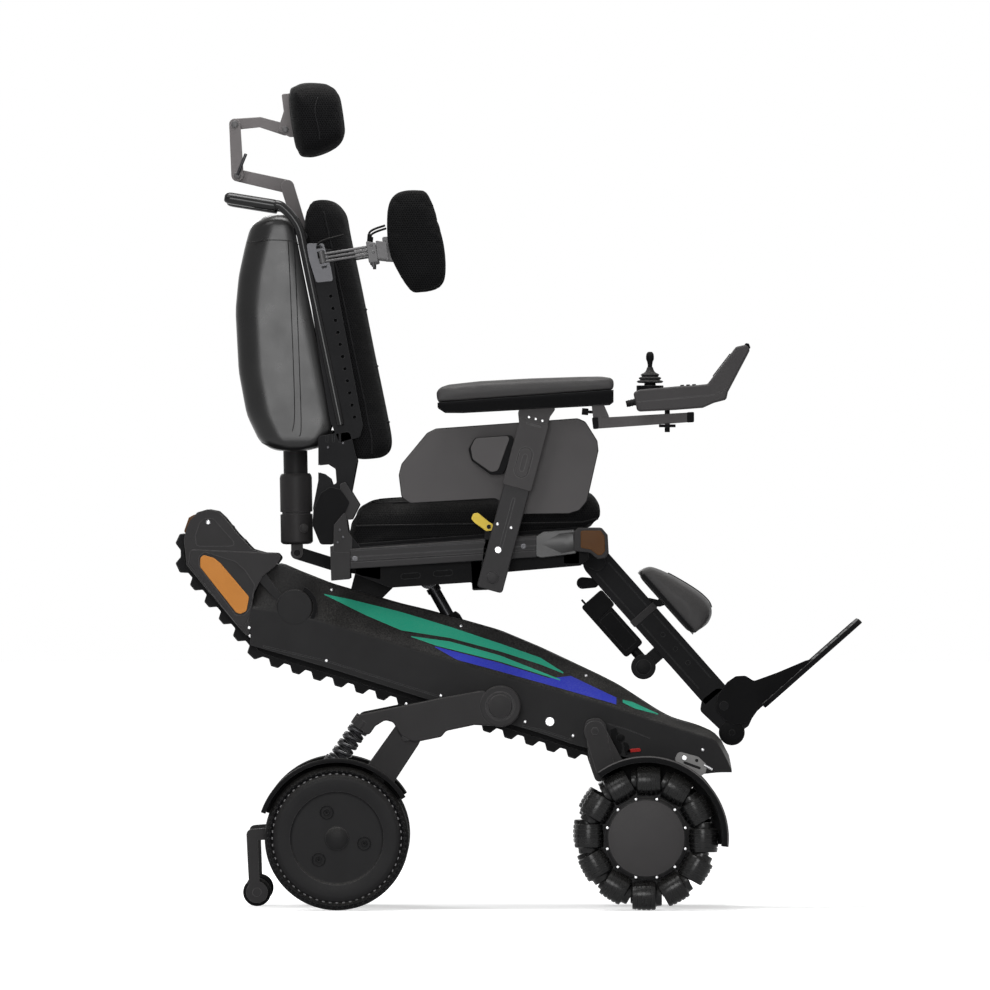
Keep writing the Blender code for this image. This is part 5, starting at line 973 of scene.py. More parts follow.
def belt_stretches():
    """The belt's bends and straight runs in order, with their lengths at its inner face."""
    bends = [(DRUM, 47.7), (HEEL, 43.0), (IDLER, 33.8), (RETURN_GUIDE, -36.0)]
    normals = [tangent_angle(bend, bends[(i + 1) % 4]) for i, bend in enumerate(bends)]
    stretches = []
    for i, (centre, radius) in enumerate(bends):
        turn = (normals[i] - normals[i - 1]) % (2 * math.pi)
        if radius < 0:
            turn -= 2 * math.pi
        stretches.append(("bend", centre, radius, normals[i - 1], turn, abs(radius * turn)))
        following, next_radius = bends[(i + 1) % 4]
        left = Vector((math.cos(normals[i]), math.sin(normals[i])))
        start = Vector(centre) - left * radius
        end = Vector(following) - left * next_radius
        stretches.append(("run", start, end, left, 0.0, (end - start).length))
    return stretches


def belt_point(stretches, distance, height):
    for kind, first, second, normal, turn, length in stretches:
        if distance <= length:
            break
        distance -= length
    if kind == "run":
        point = first + (second - first) * distance / length - normal * height
        return point.x, point.y
    angle = normal + turn * distance / length
    reach = second + height
    return first[0] - reach * math.cos(angle), first[1] - reach * math.sin(angle)


def belt_shape():
    stretches = belt_stretches()
    total = sum(stretch[-1] for stretch in stretches)
    count = round(total / 41.0)
    pitch = total / count
    profile = [(-0.02, 0.0), (0.02, 0.06), (0.17, 0.9), (0.215, 1.0), (0.5, 1.0), (0.545, 0.9),
               (0.72, 0.06), (0.76, 0.0)]
    sections = []
    for k in range(count):
        for share, rise in profile:
            s = ((k + share) * pitch) % total
            low = belt_point(stretches, s, 0.0)
            top = belt_point(stretches, s, BELT_THICKNESS + LUG_HEIGHT * rise)
            side = belt_point(stretches, s, BELT_THICKNESS + max(0.0, LUG_HEIGHT * rise - 2.0))
            draw = 1.6 * rise * MM
            near, far = -BELT_OUT + 0.3 * MM, -BELT_IN - 0.3 * MM
            sections.append([
                (low[0] * MM, near, low[1] * MM), (side[0] * MM, near + 0.3 * draw, side[1] * MM),
                (top[0] * MM, near + 2.2 * MM * rise + draw, top[1] * MM),
                (top[0] * MM, far - 2.2 * MM * rise - draw, top[1] * MM),
                (side[0] * MM, far - 0.3 * draw, side[1] * MM), (low[0] * MM, far, low[1] * MM)])
    return skin(sections, closed=True)


# Side covers: a ridge over the belt, a sloping shoulder and a flat outer wall

COVER_TOP = [
    (-494, 562), (-481, 601), (-472, 623), (-444, 644), (-405, 627), (-344, 603), (-216, 566),
    (-161, 553), (-31, 516), (43, 485), (154, 433), (191, 414), (265, 366), (290, 353),
    (339, 339), (372, 324), (392, 296), (398, 262)]
COVER_CREASE = [(-494, 560), (-405, 546), (-344, 529), (-216, 490), (-31, 433), (154, 383),
                (290, 339), (372, 313), (398, 258)]
COVER_BOTTOM = [(-494, 490), (-344, 446), (-161, 388), (43, 327), (107, 305), (339, 250),
                (372, 254), (398, 254)]


def eased_height(line, x):
    """Height of a line of points, with its corners eased over 20 mm."""
    reach = max(0.0, min(10.0, x - line[0][0], line[-1][0] - x))
    return (height_at(line, x - reach) + 2 * height_at(line, x) + height_at(line, x + reach)) / 4


def cover_lines(x):
    """Top, crease, bottom, and the distance out of the ridge, at one place along the cover."""
    top = eased_height(COVER_TOP, x)
    crease = min(eased_height(COVER_CREASE, x), top - 1.5)
    rear_share = min(1.0, max(0.0, (-340 - x) / 60))
    return top, crease, eased_height(COVER_BOTTOM, x), 142 + rear_share * 31


def cover_section(x, wall=0.0):
    top, crease, bottom, ridge = cover_lines(x)
    edge = 169 if x < -458 else 102.3
    outer = COVER_OUT / MM - wall
    ridge -= wall
    if wall:
        top -= wall
        crease -= 0.6 * wall
        bottom -= 30
        edge -= 20
    corners = [(outer, bottom), (outer, crease), (ridge, top), (edge, top), (edge, bottom)]
    if not wall:
        eased = [corners[0]] + ease(corners, 1, 4.0) + ease(corners, 2, 5.0)
        eased += ease(corners, 3, 2.0) + [corners[4]]
        corners = eased
    return [(x * MM, -y * MM, z * MM) for y, z in corners]


def ease(corners, i, radius, steps=3):
    """One corner of an open or closed line as a short curve."""
    here = Vector(corners[i])
    before, after = Vector(corners[i - 1]), Vector(corners[(i + 1) % len(corners)])
    start = here + (before - here) * min(0.4, radius / max(0.1, (before - here).length))
    end = here + (after - here) * min(0.4, radius / max(0.1, (after - here).length))
    return [tuple(start * (1 - t) ** 2 + here * 2 * t * (1 - t) + end * t * t)
            for t in (j / steps for j in range(steps + 1))]


def cover_distance(x, z):
    """How far out the cover's skin is at a place in the side view, in millimetres."""
    top, crease, _, ridge = cover_lines(x)
    if z <= crease:
        return COVER_OUT / MM
    return COVER_OUT / MM - (COVER_OUT / MM - ridge) * (z - crease) / (top - crease)


def shoulder_normal(x):
    top, crease, _, ridge = cover_lines(x)
    return Vector((0, -(top - crease), COVER_OUT / MM - ridge)).normalized()


def track_cover():
    places = sorted({-494 + 9 * k for k in range(99)} | {-459, -457, 398, 389, 393, 396})
    places = [x for x in places if x <= 398]
    shape = skin([cover_section(x) for x in places])
    inside = [x for x in places if x < 380]
    first = inside[0]
    room = skin([[((first - 10) * MM, y, z) for _, y, z in cover_section(first, 3.0)]]
                + [cover_section(x, 3.0) for x in inside])
    return cut(shape, room,
               pin(REAR_ARM, 14, COVER_IN - 0.005, 0.21, 0),
               pin(FRONT_ARM, 14, COVER_IN - 0.005, 0.21, 0),
               pin((61, 348), 8.5, COVER_IN - 0.005, 0.21, 0),
               slot_line([(-470, 489), (-344, 459), (-161, 401), (-60, 371)], 2.6),
               slot_line([(10, 341), (43, 334), (100, 316)], 2.6),
               slot_line([(168, 345), (205, 334), (246, 318)], 1.4))


def slot_line(points, width, deep=0.0016):
    """A cutter for a narrow groove in the cover's outer wall."""
    under = [(x, z - width) for x, z in points]
    return plate(points + under[::-1], COVER_OUT - deep, COVER_OUT + 0.01, 0)


def cover_boss():
    """The round end of the cover's outer wall, with the ridge that leads to the guard."""
    boss = plate(disc((-412, 560), 33, 96), 0.172, COVER_OUT + 0.0004, 2.4, 3)
    ridge = plate(rounded([(-486, 616), (-469, 629), (-431, 577), (-441, 566)], 3), 0.172, 0.1925,
                  2.0)
    return merged(boss, ridge)


def stripe(upper, lower, lift=0.35, across=6):
    """A film on the cover's shoulder between two lines, each in millimetres."""
    start = max(upper[0][0], lower[0][0])
    end = min(upper[-1][0], lower[-1][0])
    count = max(4, round((end - start) / 6))
    outer, inner = [], []
    for i in range(count + 1):
        x = start + (end - start) * i / count
        high, low = height_at(upper, x), height_at(lower, x)
        way = shoulder_normal(x)
        near, far = [], []
        for j in range(across + 1):
            z = low + (high - low) * j / across
            point = Vector((x, -cover_distance(x, z), z))
            near.append((point + way * lift) * MM)
            far.append((point - way * 0.6) * MM)
        outer.append(near)
        inner.append(far)
    return skin([near + far[::-1] for near, far in zip(outer, inner)])


# Rear guards: fin, ledge, pocket with a reflector, and the lens behind the fin

def rear_guard():
    outline = rounded([
        (-612, 638), (-617, 684), (-613, 706), (-605, 722), (-592, 736), (-573, 741.5),
        (-555, 738), (-542, 726), (-518, 696), (-490, 667), (-440, 653),
        (-444.4, 644.6), (-472.5, 623.5), (-481.6, 601.3), (-494.6, 562.2), (-494.6, 500), (-520, 528)], 9)
    hollow = rounded([
        (-608, 640), (-613.5, 684), (-609, 706), (-601, 720), (-590, 732.5), (-573, 738),
        (-557, 734.5), (-545, 724), (-521, 694), (-491, 663), (-452, 652.5),
        (-475, 625), (-485, 602), (-498, 563), (-498, 505), (-519, 532)], 5)
    shell = cut(plate(outline, BELT_OUT + 0.004, COVER_OUT, 1.6),
                plate(hollow, BELT_OUT - 0.001, COVER_IN, 0))
    shell = cut(shell, plate(rounded([(-594, 673), (-596, 692), (-588, 716), (-580, 724),
                                      (-562, 724), (-553, 713), (-517, 673)], 8), 0.1968, 0.21, 0))
    ledge = plate(rounded([(-605, 667), (-540, 664), (-474, 661), (-444, 660), (-436, 651),
                           (-447, 636), (-471, 617), (-486, 588), (-494, 545), (-505, 524),
                           (-521, 530), (-608, 640)], 7), 0.195, 0.2005, 2.2)
    pocket = rounded([(-590, 652), (-580, 663), (-522, 645), (-504, 629), (-486, 602),
                      (-493, 560), (-505, 545), (-521, 545), (-588, 634)], 8)
    ledge = cut(ledge, plate(pocket, 0.1965, 0.21, 0))
    bearing = cut(pin(DRUM, 16, BELT_OUT + 0.004, COVER_IN + 0.001),
                  pin(DRUM, 10.4, BELT_OUT, BELT_OUT + 0.012, 0, 24))
    return merged(shell, ledge, bearing)


REFLECTOR = [(-588, 652), (-580, 658), (-560, 652), (-548, 642), (-503, 589), (-495, 579),
             (-500, 552), (-512, 546), (-521, 549), (-588, 634)]


# Rear arms, sprung legs, wheels and anti-tip wheels

REAR_ARM_OUTLINE = [(-28, 30), (-111, 15), (-185, 0), (-259, -15), (-272, -31), (-270, -39),
                    (-244, -56), (-231, -37), (-213, -26), (-198, -30), (-191, -43), (-185, -54),
                    (-163, -66), (-148, -65), (-109, -57), (-100, -46), (-48, -35), (0, -37)]


def spring_way():
    return Vector((SPRING_TOP[0] - SPRING_FOOT[0], 0, SPRING_TOP[1] - SPRING_FOOT[1])).normalized()


def in_space(point, distance):
    return Vector((point[0] * MM, -distance, point[1] * MM))


def rear_arm():
    body = plate(rounded(moved(REAR_ARM_OUTLINE, REAR_ARM), 12), ARM_IN, ARM_OUT, 3.0, 3)
    boss = plate(disc(REAR_ARM, 38, 72), ARM_IN, ARM_OUT + 0.0012, 3.0, 3)
    leg_end = 30.5
    along_leg = tilted(LEG_PIVOT, heading_of(REAR_AXLE, LEG_PIVOT) + math.pi)
    fork = plate(link(LEG_PIVOT, leg_end, along_leg(120), leg_end + 14), LEG_IN - 0.0005,
                 LEG_OUT + 0.0005, 0)
    way = spring_way()
    seat_end = in_space(SPRING_TOP, SPRING_MIDDLE)
    arm = cut(joined(body, boss), fork,
              rod(seat_end - way * 0.04, seat_end - way * 0.0001, 0.0212, 32, edge=0.0))
    cap = turned(REAR_ARM, [(0, -238), (22, -238), (22, -242.6), (20.6, -244.4), (14, -245.1),
                            (0, -245.3)], 72)
    ring = turned(REAR_ARM, [(25, -238), (25, -242.2), (26, -242.6), (27, -242.2), (27, -238)], 72,
                  True)
    cup = rod(seat_end, seat_end + way * 0.016, 0.0195)
    stud = rod(seat_end - way * 0.004, seat_end + way * 0.004, 0.0125)
    return merged(arm, cap, ring, cup, stud, pin(LEG_PIVOT, 8, ARM_IN + 0.001, ARM_OUT - 0.001))


def coil():
    """The wire of a compression spring, with its ends laid flat on the seats."""
    way = spring_way()
    low = in_space(SPRING_FOOT, SPRING_MIDDLE) + way * 0.0003
    high = in_space(SPRING_TOP, SPRING_MIDDLE) - way * 0.0003
    across = Vector((0, 1, 0))
    out = way.cross(across)
    wire, reach, turns, per_turn = 0.0031, 0.0159, 5.0, 30
    length = (high - low).length
    path = []
    for i in range(int(turns * per_turn) + 1):
        turn = i / per_turn
        ends = min(1.0, max(0.0, (turn - 0.35) / (turns - 0.7)))
        rise = wire + (length - 2 * wire) * (0.06 * turn / turns + 0.94 * ends)
        angle = 2 * math.pi * turn
        path.append(low + way * rise + (across * math.cos(angle) + out * math.sin(angle)) * reach)
    return tube(path, wire, 12)


def rear_leg():
    heading = heading_of(REAR_AXLE, LEG_PIVOT)
    limb = plate(link(LEG_PIVOT, 27, REAR_AXLE, 32), LEG_IN, LEG_OUT, 2.4, 3)
    limb = cut(limb, pin(LEG_PIVOT, 8.5, ARM_IN, ARM_OUT, 0))
    ear = plate(link(REAR_AXLE, 24, TIP_PIVOT, 13), LEG_IN, LEG_OUT, 1.5)
    tab = plate(link(SPRING_FOOT, 11, moved([(30, 60)], REAR_AXLE)[0], 18), LEG_IN, LEG_OUT, 1.5)
    base = in_space(SPRING_FOOT, SPRING_MIDDLE)
    seat = rod(base - spring_way() * 0.006, base, 0.0215)
    stub = rod(base - spring_way() * 0.002, base + spring_way() * 0.006, 0.0115)
    stand = [(REAR_AXLE[0] + r * math.cos(heading), REAR_AXLE[1] + r * math.sin(heading))
             for r in (116, 132.5)]
    spacer = plate(link(stand[0], 13, stand[1], 13), LEG_OUT - 0.002, WEB_OUT)
    return merged(limb, ear, tab, seat, stub, spacer, pin(REAR_AXLE, 10, LEG_OUT - 0.002,
                                                          SHAFT_END))


def fender(axle, start, end, depth, web_start, web_end, sides=64):
    """A curved guard over a wheel, with a rolled outer lip and an inner web."""
    inner, outer = TYRE_RADIUS + 6, TYRE_RADIUS + 6 + depth
    near, far = FENDER_OUT / MM, WEB_IN / MM
    profile = [(inner + 0.2, near - 2.4), (inner + 1.2, near - 0.4), (inner + 2.4, near),
               (outer - 2.6, near), (outer - 0.8, near - 0.8), (outer, near - 2.6),
               (outer, near - 8.4), (outer - 1.0, near - 9.4), (outer - 1.0, far + 1.0),
               (outer - 2.0, far), (inner + 1.0, far), (inner, far + 1.0)]
    sections = []
    for i in range(sides + 1):
        angle = math.radians(start + (end - start) * i / sides)
        sections.append([((axle[0] + r * math.cos(angle)) * MM, -y * MM,
                          (axle[1] + r * math.sin(angle)) * MM) for r, y in profile])
    web = plate(sector(axle, 102, outer - 4, web_start, web_end, 24), WEB_IN + 0.0005, WEB_OUT)
    back = plate(sector(axle, 127, outer - 2, start + 1, end - 1, 40), WEB_IN + 0.0007,
                 WEB_OUT - 0.0003)
    return merged(skin(sections), web, back)


def tyre():
    middle, side = WHEEL_MIDDLE / MM, 28.0
    half = [(119.6, side - 4.0), (120.5, side - 2.2), (123.0, side - 0.6), (125.5, side),
            (127.4, side - 1.3), (129.5, side - 4.6), (131.4, side - 8.6), (132.4, side - 12.0),
            (133.0, side - 16.0), (133.4, side - 22.0)]
    profile = [(116.8, side - 5.0)] + half + [(TYRE_RADIUS, 0.0)]
    profile += [(r, -y) for r, y in reversed(half)] + [(116.8, 5.0 - side)]
    return turned(REAR_AXLE, [(r, -middle - y) for r, y in profile], 120, True)


def tread_block():
    """A short raised bar on the tyre's shoulder, lying along the wheel's radius."""
    bm = bmesh.new()
    low = [(-3.2, 1.5, -1.9), (3.2, 1.5, -1.9), (3.2, 1.5, 1.9), (-3.2, 1.5, 1.9)]
    top = [(-2.4, -1.3, -1.3), (2.6, -0.2, -1.3), (2.6, -0.2, 1.3), (-2.4, -1.3, 1.3)]
    rings = [[bm.verts.new(Vector(p) * MM) for p in ring] for ring in (low, top)]
    for i in range(4):
        bm.faces.new((rings[0][i - 1], rings[0][i], rings[1][i], rings[1][i - 1]))
    bm.faces.new(rings[0])
    bm.faces.new(rings[1])
    return to_mesh(bm)


def dash_block():
    """A small pad moulded between the rim and the tyre's side."""
    return slab(rounded([(-1.5, -2.6), (1.5, -2.6), (1.5, 2.6), (-1.5, 2.6)], 1.2, 2),
                -0.0012, 0.002, 0.6, 1)


def rear_hub():
    profile = [
        (0, -323.0), (9, -322.8), (15, -321.9), (19.4, -320.2), (21, -318.2), (21, -313.2),
        (22.5, -312.7), (24.5, -312.5), (81.0, -312.5), (83.4, -312.7), (84.8, -313.8),
        (85.4, -315.6), (86.6, -316.8), (96, -317.8), (108, -318.2), (113, -317.6),
        (116.2, -315.6), (118.2, -313.2),
        (119.3, -311.2), (119.3, -309.5), (116.4, -308.0), (116.4, -264.5), (114, -264.0),
        (60, -264.0), (60, -245.5), (58.5, -244.5), (10.6, -244.5), (10.6, -301.0), (0, -301.0)]
    return turned(REAR_AXLE, profile, 120)


def hub_bolts():
    """Three sunken bolts on the hub's disc, each with its own ring."""
    forms = []
    for degrees in (111, -10.5, -130.5):
        place = arc(REAR_AXLE, 51.5, degrees, degrees, 1)[0]
        forms.append(turned(place, [(10.4, -312), (10.4, -314.5), (11.2, -315.0), (12.4, -315.0),
                                    (13.2, -314.5), (13.2, -312)], 36, True))
        forms.append(turned(place, [(3.6, -312), (3.6, -314.6), (4.2, -315.2), (6.2, -315.2),
                                    (6.9, -314.6), (6.9, -312)], 30, True))
        forms.append(slab(disc(place, 3.5, 6), -0.3142, -0.312, 0.3))
    return merged(*forms)


def anti_tip_arm():
    elbow = (TIP_PIVOT[0] - 70, TIP_PIVOT[1] - 4)
    line = joined(plate(link(TIP_PIVOT, 12, elbow, 10.5), TIP_ARM_IN, TIP_ARM_OUT, 1.2),
                  plate(link(elbow, 10.5, (TIP_AXLE[0] - 5, TIP_AXLE[1] + 10), 10), TIP_ARM_IN,
                        TIP_ARM_OUT, 1.2),
                  plate(disc(TIP_AXLE, 20), TIP_ARM_IN, TIP_ARM_OUT, 1.2))
    return merged(line, pin(TIP_PIVOT, 6, LEG_IN, TIP_ARM_OUT - 0.002),
                  pin(TIP_AXLE, 5, TIP_WHEEL_IN, TIP_ARM_OUT - 0.002),
                  pin(TIP_AXLE, 8, TIP_ARM_OUT - 0.001, TIP_ARM_OUT + 0.0015))


def anti_tip_wheel():
    near, far = TIP_WHEEL_OUT / MM, TIP_WHEEL_IN / MM
    half = [(5.6, near), (12, near), (13, near - 1), (20, near - 1), (21, near), (23.2, near - 0.4),
            (25.2, near - 2.2), (26, near - 5)]
    other = [(r, far + near - y) for r, y in reversed(half)]
    return turned(TIP_AXLE, [(r, -y) for r, y in half + other], 48, True)


# Front arms and wheels with rollers

def front_arm():
    heading = heading_of(FRONT_AXLE, FRONT_ARM)
    out = ARM_OUT - 0.002
    bracket = plate(rounded(moved([(-19, 8), (-16, 19), (-3, 24), (10, 23), (20, 13), (34, -68),
                                   (30, -84), (3, -98), (-9, -63)], FRONT_ARM), 12), ARM_IN, out,
                    1.6)
    limb = plate(link(FRONT_ARM, 20, FRONT_AXLE, 28), ARM_IN + 0.006, out - 0.0004, 1.6)
    face = plate(link(FRONT_ARM, 19, moved([(19, -66)], FRONT_ARM)[0], 18), out - 0.001,
                 out + 0.0022, 1.2)
    nut = plate(disc(FRONT_ARM, 7, 6), out, out + 0.0035)
    stand = [(FRONT_AXLE[0] + r * math.cos(heading), FRONT_AXLE[1] + r * math.sin(heading))
             for r in (116, 136)]
    spacer = plate(link(stand[0], 13, stand[1], 13), out - 0.002, WEB_OUT)
    return merged(bracket, limb, face, nut, spacer, pin(FRONT_AXLE, 10, out - 0.002, SHAFT_END),
                  pin(FRONT_ARM, 11, PLATE_OUT + 0.002, ARM_IN + 0.008))


ROLLER_AXIS = 106


def roller():
    """A grooved barrel along Z, hollow at one end so that the next one's neck turns in it."""
    profile = [(0, -15.5), (20, -15.5), (21.5, -16.5), (21.5, -25.2), (22.2, -26.0), (24.0, -26.0)]
    grooves = (-17.5, -8.8, 0.0, 8.8)
    steps = [-25.3, -22.5]
    for g in grooves:
        steps += [g - 1.3, g - 0.7, g + 0.7, g + 1.3, g + 4.4]
    steps += [15.4]
    for s in steps:
        size = math.sqrt(TYRE_RADIUS ** 2 - s ** 2) - ROLLER_AXIS
        profile.append((size - (1.6 if any(abs(s - g) < 1.0 for g in grooves) else 0.0), s))
    profile += [(26.2, 16.4), (25.2, 17.4), (21.2, 18.0), (19.7, 19.6), (19.4, 23), (19, 27.4),
                (17.6, 28.8), (0, 28.8)]
    form = turned((0, 0), profile, 28)
    form.transform(Matrix.Rotation(math.pi / 2, 4, "X"))
    return form


def omni_hub():
    """The wheel's hub with a plain cap, and the twelve-sided axle that its rollers turn on."""
    out = HUB_FACE / MM
    hub = turned(FRONT_AXLE, [
        (0, -out + 6), (68, -out + 6), (71, -out + 6.4), (72, -out + 7.2),
        (72, -out + 9), (69, -out + 10), (69, -306), (74, -304.6), (76.4, -303), (77, -301),
        (77, -275), (76, -272), (66, -267), (32, -247), (30, -244.5), (10.6, -244.5),
        (10.6, -301), (0, -301)], 120)
    middle = -WHEEL_MIDDLE
    axles, stems = [], []
    for k in range(12):
        turn = math.radians(30 * k)
        place = tilted(FRONT_AXLE, turn)
        (x0, z0), (x1, z1) = place(ROLLER_AXIS, -27), place(ROLLER_AXIS, 27)
        axles.append(rod((x0 * MM, middle, z0 * MM), (x1 * MM, middle, z1 * MM), 0.004, 16))
        stem = tilted(FRONT_AXLE, turn - math.radians(17.3))
        stems.append(slab(box_along(stem, 74, 104, -1.2, 1.2), middle - 0.006, middle + 0.006,
                          0.3))
    ring = turned(FRONT_AXLE, [(70, -286), (96, -286), (97, -287), (97, -289), (96, -290),
                               (70, -290)], 96, True)
    return merged(hub, ring, *axles, *stems)


def small_stud():
    """A short bright pin head for the rim between two rollers."""
    return turned((0, 0), [(0, 1), (2.8, 1), (2.8, -2.4), (2.2, -3.2), (0, -3.4)], 16)


def other_side(shape):
    """The shape mirrored about the wheel's own middle plane."""
    copy = mirrored(shape)
    copy.transform(Matrix.Translation((0, -2 * WHEEL_MIDDLE, 0)))
    return copy


# Chassis parts that the camera sees between the others

def drive_drum():
    return turned(DRUM, [
        (0, -174), (9.2, -174), (10, -173.2), (10, -163.6), (16, -163.2), (24, -158), (40, -158),
        (43, -162.6), (46.4, -163), (47.2, -162.2), (47.2, -107.8), (46.4, -107), (12, -107),
        (10, -106), (10, -82), (0, -81.7)], 72)


def idler():
    half = [(0, 164), (30, 164), (33, 163.4), (33.4, 162.6), (33.4, 107.4), (33, 106.4),
            (10, 106), (8, 105.6)]
    return turned(IDLER, half + [(r, -y) for r, y in reversed(half)], 72)


def tie_down():
    """The slotted lashing plate at the foot of the cover's nose."""
    return cut(plate(rounded([(292, 279), (299, 293), (336, 283), (352, 268), (350, 253),
                              (338, 246), (300, 262)], 8), COVER_OUT - 0.001, 0.2012, 0.8),
               plate(link((311, 272), 2.4, (338, 262), 2.4), 0.19, 0.21, 0),
               pin((333, 276), 3.2, 0.19, 0.21, 0))


def belt_tensioner():
    """The small clamp and knob between the front arm and the front wheel."""
    body = plate(rounded([(172, 334), (184, 338), (196, 300), (192, 288), (180, 290)], 3),
                 COVER_OUT - 0.001, 0.2010, 0.8)
    knob = turned((192, 318), [(0, -201.9), (6.4, -201.9), (7.4, -201.2), (7.4, -197),
                               (0, -197)], 24)
    clip = plate(rounded([(196, 312), (206, 309), (212, 290), (200, 286)], 3), COVER_OUT - 0.001,
                 0.2018, 0.8)
    return merged(body, knob, clip)


def vent():
    """A slotted lid on the drive unit between the belts."""
    place = tilted((-300, 528), heading_of((-318, 532), (-142, 496)))
    lid = slab(rounded(box_along(place, 0, 130, -3, 3.4), 1.2), -0.062, 0.062, 1.6)
    slots = [slab(box_along(place, 18 + 9 * k, 22 + 9 * k, 1.2, 9), -0.046, 0.046, 0)
             for k in range(11)]
    return cut(lid, *slots)


set_stage()
nodes = frame["nodes"]


def keep(name, look):
    """A CAD node that stays as it is, in a finish of its own."""
    for slot in nodes[name].material_slots:
        slot.link = "OBJECT"
        slot.material = FINISHES[look][0]


COVER_SCREWS = [(-496, 522), (-344, 592), (-353, 461), (-104, 525), (-141, 396), (15, 348),
                (104, 322), (128, 433), (-205, 381), (344, 296)]


def place_chassis():
    keep("chassis_frame", "satin_paint")
    keep("centre_housing", "black_moulding")
    add_pair("cover", track_cover(), "chassis", "cover_moulding", "track_cover")
    add_pair("cover_boss", cover_boss(), "chassis", "cover_moulding")
    # A black crescent sunk into the shoulder beside the boss: painted shade in place of a groove's shadow.
    add_pair("boss_seal", plate(sector((-411, 560), 33.4, 41.5, -66, 66), 0.18,
                                COVER_OUT - 0.0004, 1.0), "chassis", "black_moulding")
    add_pair("cover_plug", pin((61, 348), 8.4, 0.19, COVER_OUT + 0.0006, 1.2), "chassis",
             "bright_steel")
    add_pair("green_stripe", merged(
        stripe([(-357, 584), (-309, 574), (-216, 551), (-124, 523), (-31, 492), (43, 466),
                (89, 437)],
               [(-357, 583), (-280, 545), (-214, 517), (-124, 503), (-31, 478), (43, 454),
                (86, 437)]),
        stripe([(-196, 506), (-124, 496), (-31, 470), (80, 426)],
               [(-196, 505), (-150, 489), (-31, 459), (80, 424)]),
        stripe([(196, 388), (214, 384), (262, 362)], [(190, 386), (220, 372), (262, 361)])),
        "chassis", "stripe_green")
    add_pair("blue_stripe", stripe(
        [(-152, 487), (-31, 456), (60, 428), (100, 432), (184, 392)],
        [(-152, 486), (-112, 463), (-31, 441), (80, 410), (184, 380)]), "chassis", "stripe_blue")
    screws = []
    for x, z in COVER_SCREWS:
        on_wall = z < cover_lines(x)[1]
        way = Vector((0, -1, 0)) if on_wall else shoulder_normal(x)
        place = Vector((x, -cover_distance(x, z), z)) * MM
        screws.append((place, way))
    add_pair("cover_screws", set_on(screws, SCREW, "bright_steel", 0.62), "chassis",
             "bright_steel")
    add_pair("guard", rear_guard(), "chassis", "grey_moulding", "rear_guard")
    add_pair("reflector", plate(rounded(inset(REFLECTOR, 1.2), 7), COVER_IN - 0.002, 0.2,
                                1.0, 3), "chassis", "reflector_orange")
    add_pair("lens", plate(rounded([(-617, 700), (-608, 726), (-594, 734), (-600, 712),
                                    (-606, 690)], 4), 0.178, 0.1972, 2.0, 3), "chassis",
             "lamp_amber")
    add_pair("guard_screw", set_on(side_places([(-572, 717)], 0.197), SCREW, "bright_steel", 0.9),
             "chassis", "bright_steel")
    add_pair("belt", belt_shape(), "chassis", "belt_rubber", "track_belt")
    add_pair("drum", drive_drum(), "drum_", "black_moulding", "drive_drum")
    add("idler_rollers", idler(), "idler", "dark_steel", "idler_axle")
    add_pair("tie_down", tie_down(), "chassis", "zinc")
    add_pair("tie_down_pin", merged(
        rod((0.346, -0.2, 0.268), (0.362, -0.2, 0.259), 0.0026, 16),
        turned((310, 281), [(0, -203.4), (4, -203.4), (4.6, -202.8), (4.6, -199), (0, -199)],
               20)), "chassis", "bright_steel")
    add_pair("tensioner", belt_tensioner(), "chassis", "black_moulding")
    add_pair("release_tab", plate(rounded([(202, 290), (206, 297), (228, 299), (230, 293)], 2.5),
                                  0.199, 0.2018, 0.8), "chassis", "signal_red")
    add("drive_lid", vent(), "chassis", "grey_moulding")


def place_rear():
    add_pair("rear_arm", rear_arm(), "rear_arms", "grey_moulding")
    shaft = slab(disc(REAR_ARM, 11, 48), -ARM_IN - 0.002, ARM_IN + 0.002)
    add("rear_arm_shaft", shaft, "rear_arms", "dark_steel", "rear_arm_pair")
    for side, form, out in zip(SIDES, (coil(), mirrored(coil())), (SPRING_MIDDLE, -SPRING_MIDDLE)):
        between = "rear_arms", f"leg_{side}", in_space(SPRING_TOP, out), in_space(SPRING_FOOT, out)
        add(f"spring_coil_{side}", form, between, "dark_steel", f"rear_spring_{side}")
    add_pair("leg", rear_leg(), "leg_", "grey_moulding", "rear_leg")
    add_pair("rear_fender", fender(REAR_AXLE, 31, 161, 9, 70, 145), "leg_", "black_moulding")
    add_pair("spring_pin", pin(SPRING_FOOT, 4.4, LEG_OUT - 0.002, LEG_OUT + 0.002), "leg_",
             "dark_steel")
    add_pair("rear_tread", tyre(), "rear_wheel_", "tyre_rubber", "rear_tyre")
    blocks = round_wheel(tread_block(), "tyre_rubber", 80, REAR_AXLE, 125.6, WHEEL_OUT - 0.0005)
    # Raised pads at the rim's edge in a lighter grey: partly real pads, partly a painted highlight that
    # stands in for lit bevel facets.
    lit_dashes = round_wheel(dash_block(), "grey_anodised", 60, REAR_AXLE, 119.2, WHEEL_OUT - 0.0035)
    add_pair("tread_blocks", merged(blocks, other_side(blocks)), "rear_wheel_", "tyre_rubber")
    add_pair("rim_dashes", merged(lit_dashes, other_side(lit_dashes)), "rear_wheel_", "grey_anodised")
    add_pair("hub_motor", rear_hub(), "rear_wheel_", "cover_moulding", "rear_hub")
    add_pair("hub_bolts", hub_bolts(), "rear_wheel_", "black_moulding")
    add_pair("tip_arm", anti_tip_arm(), "tip_arm_", "grey_moulding", "anti_tip_arm")
    add_pair("tip_roller", anti_tip_wheel(), "tip_wheel_", "tyre_rubber", "anti_tip_wheel")


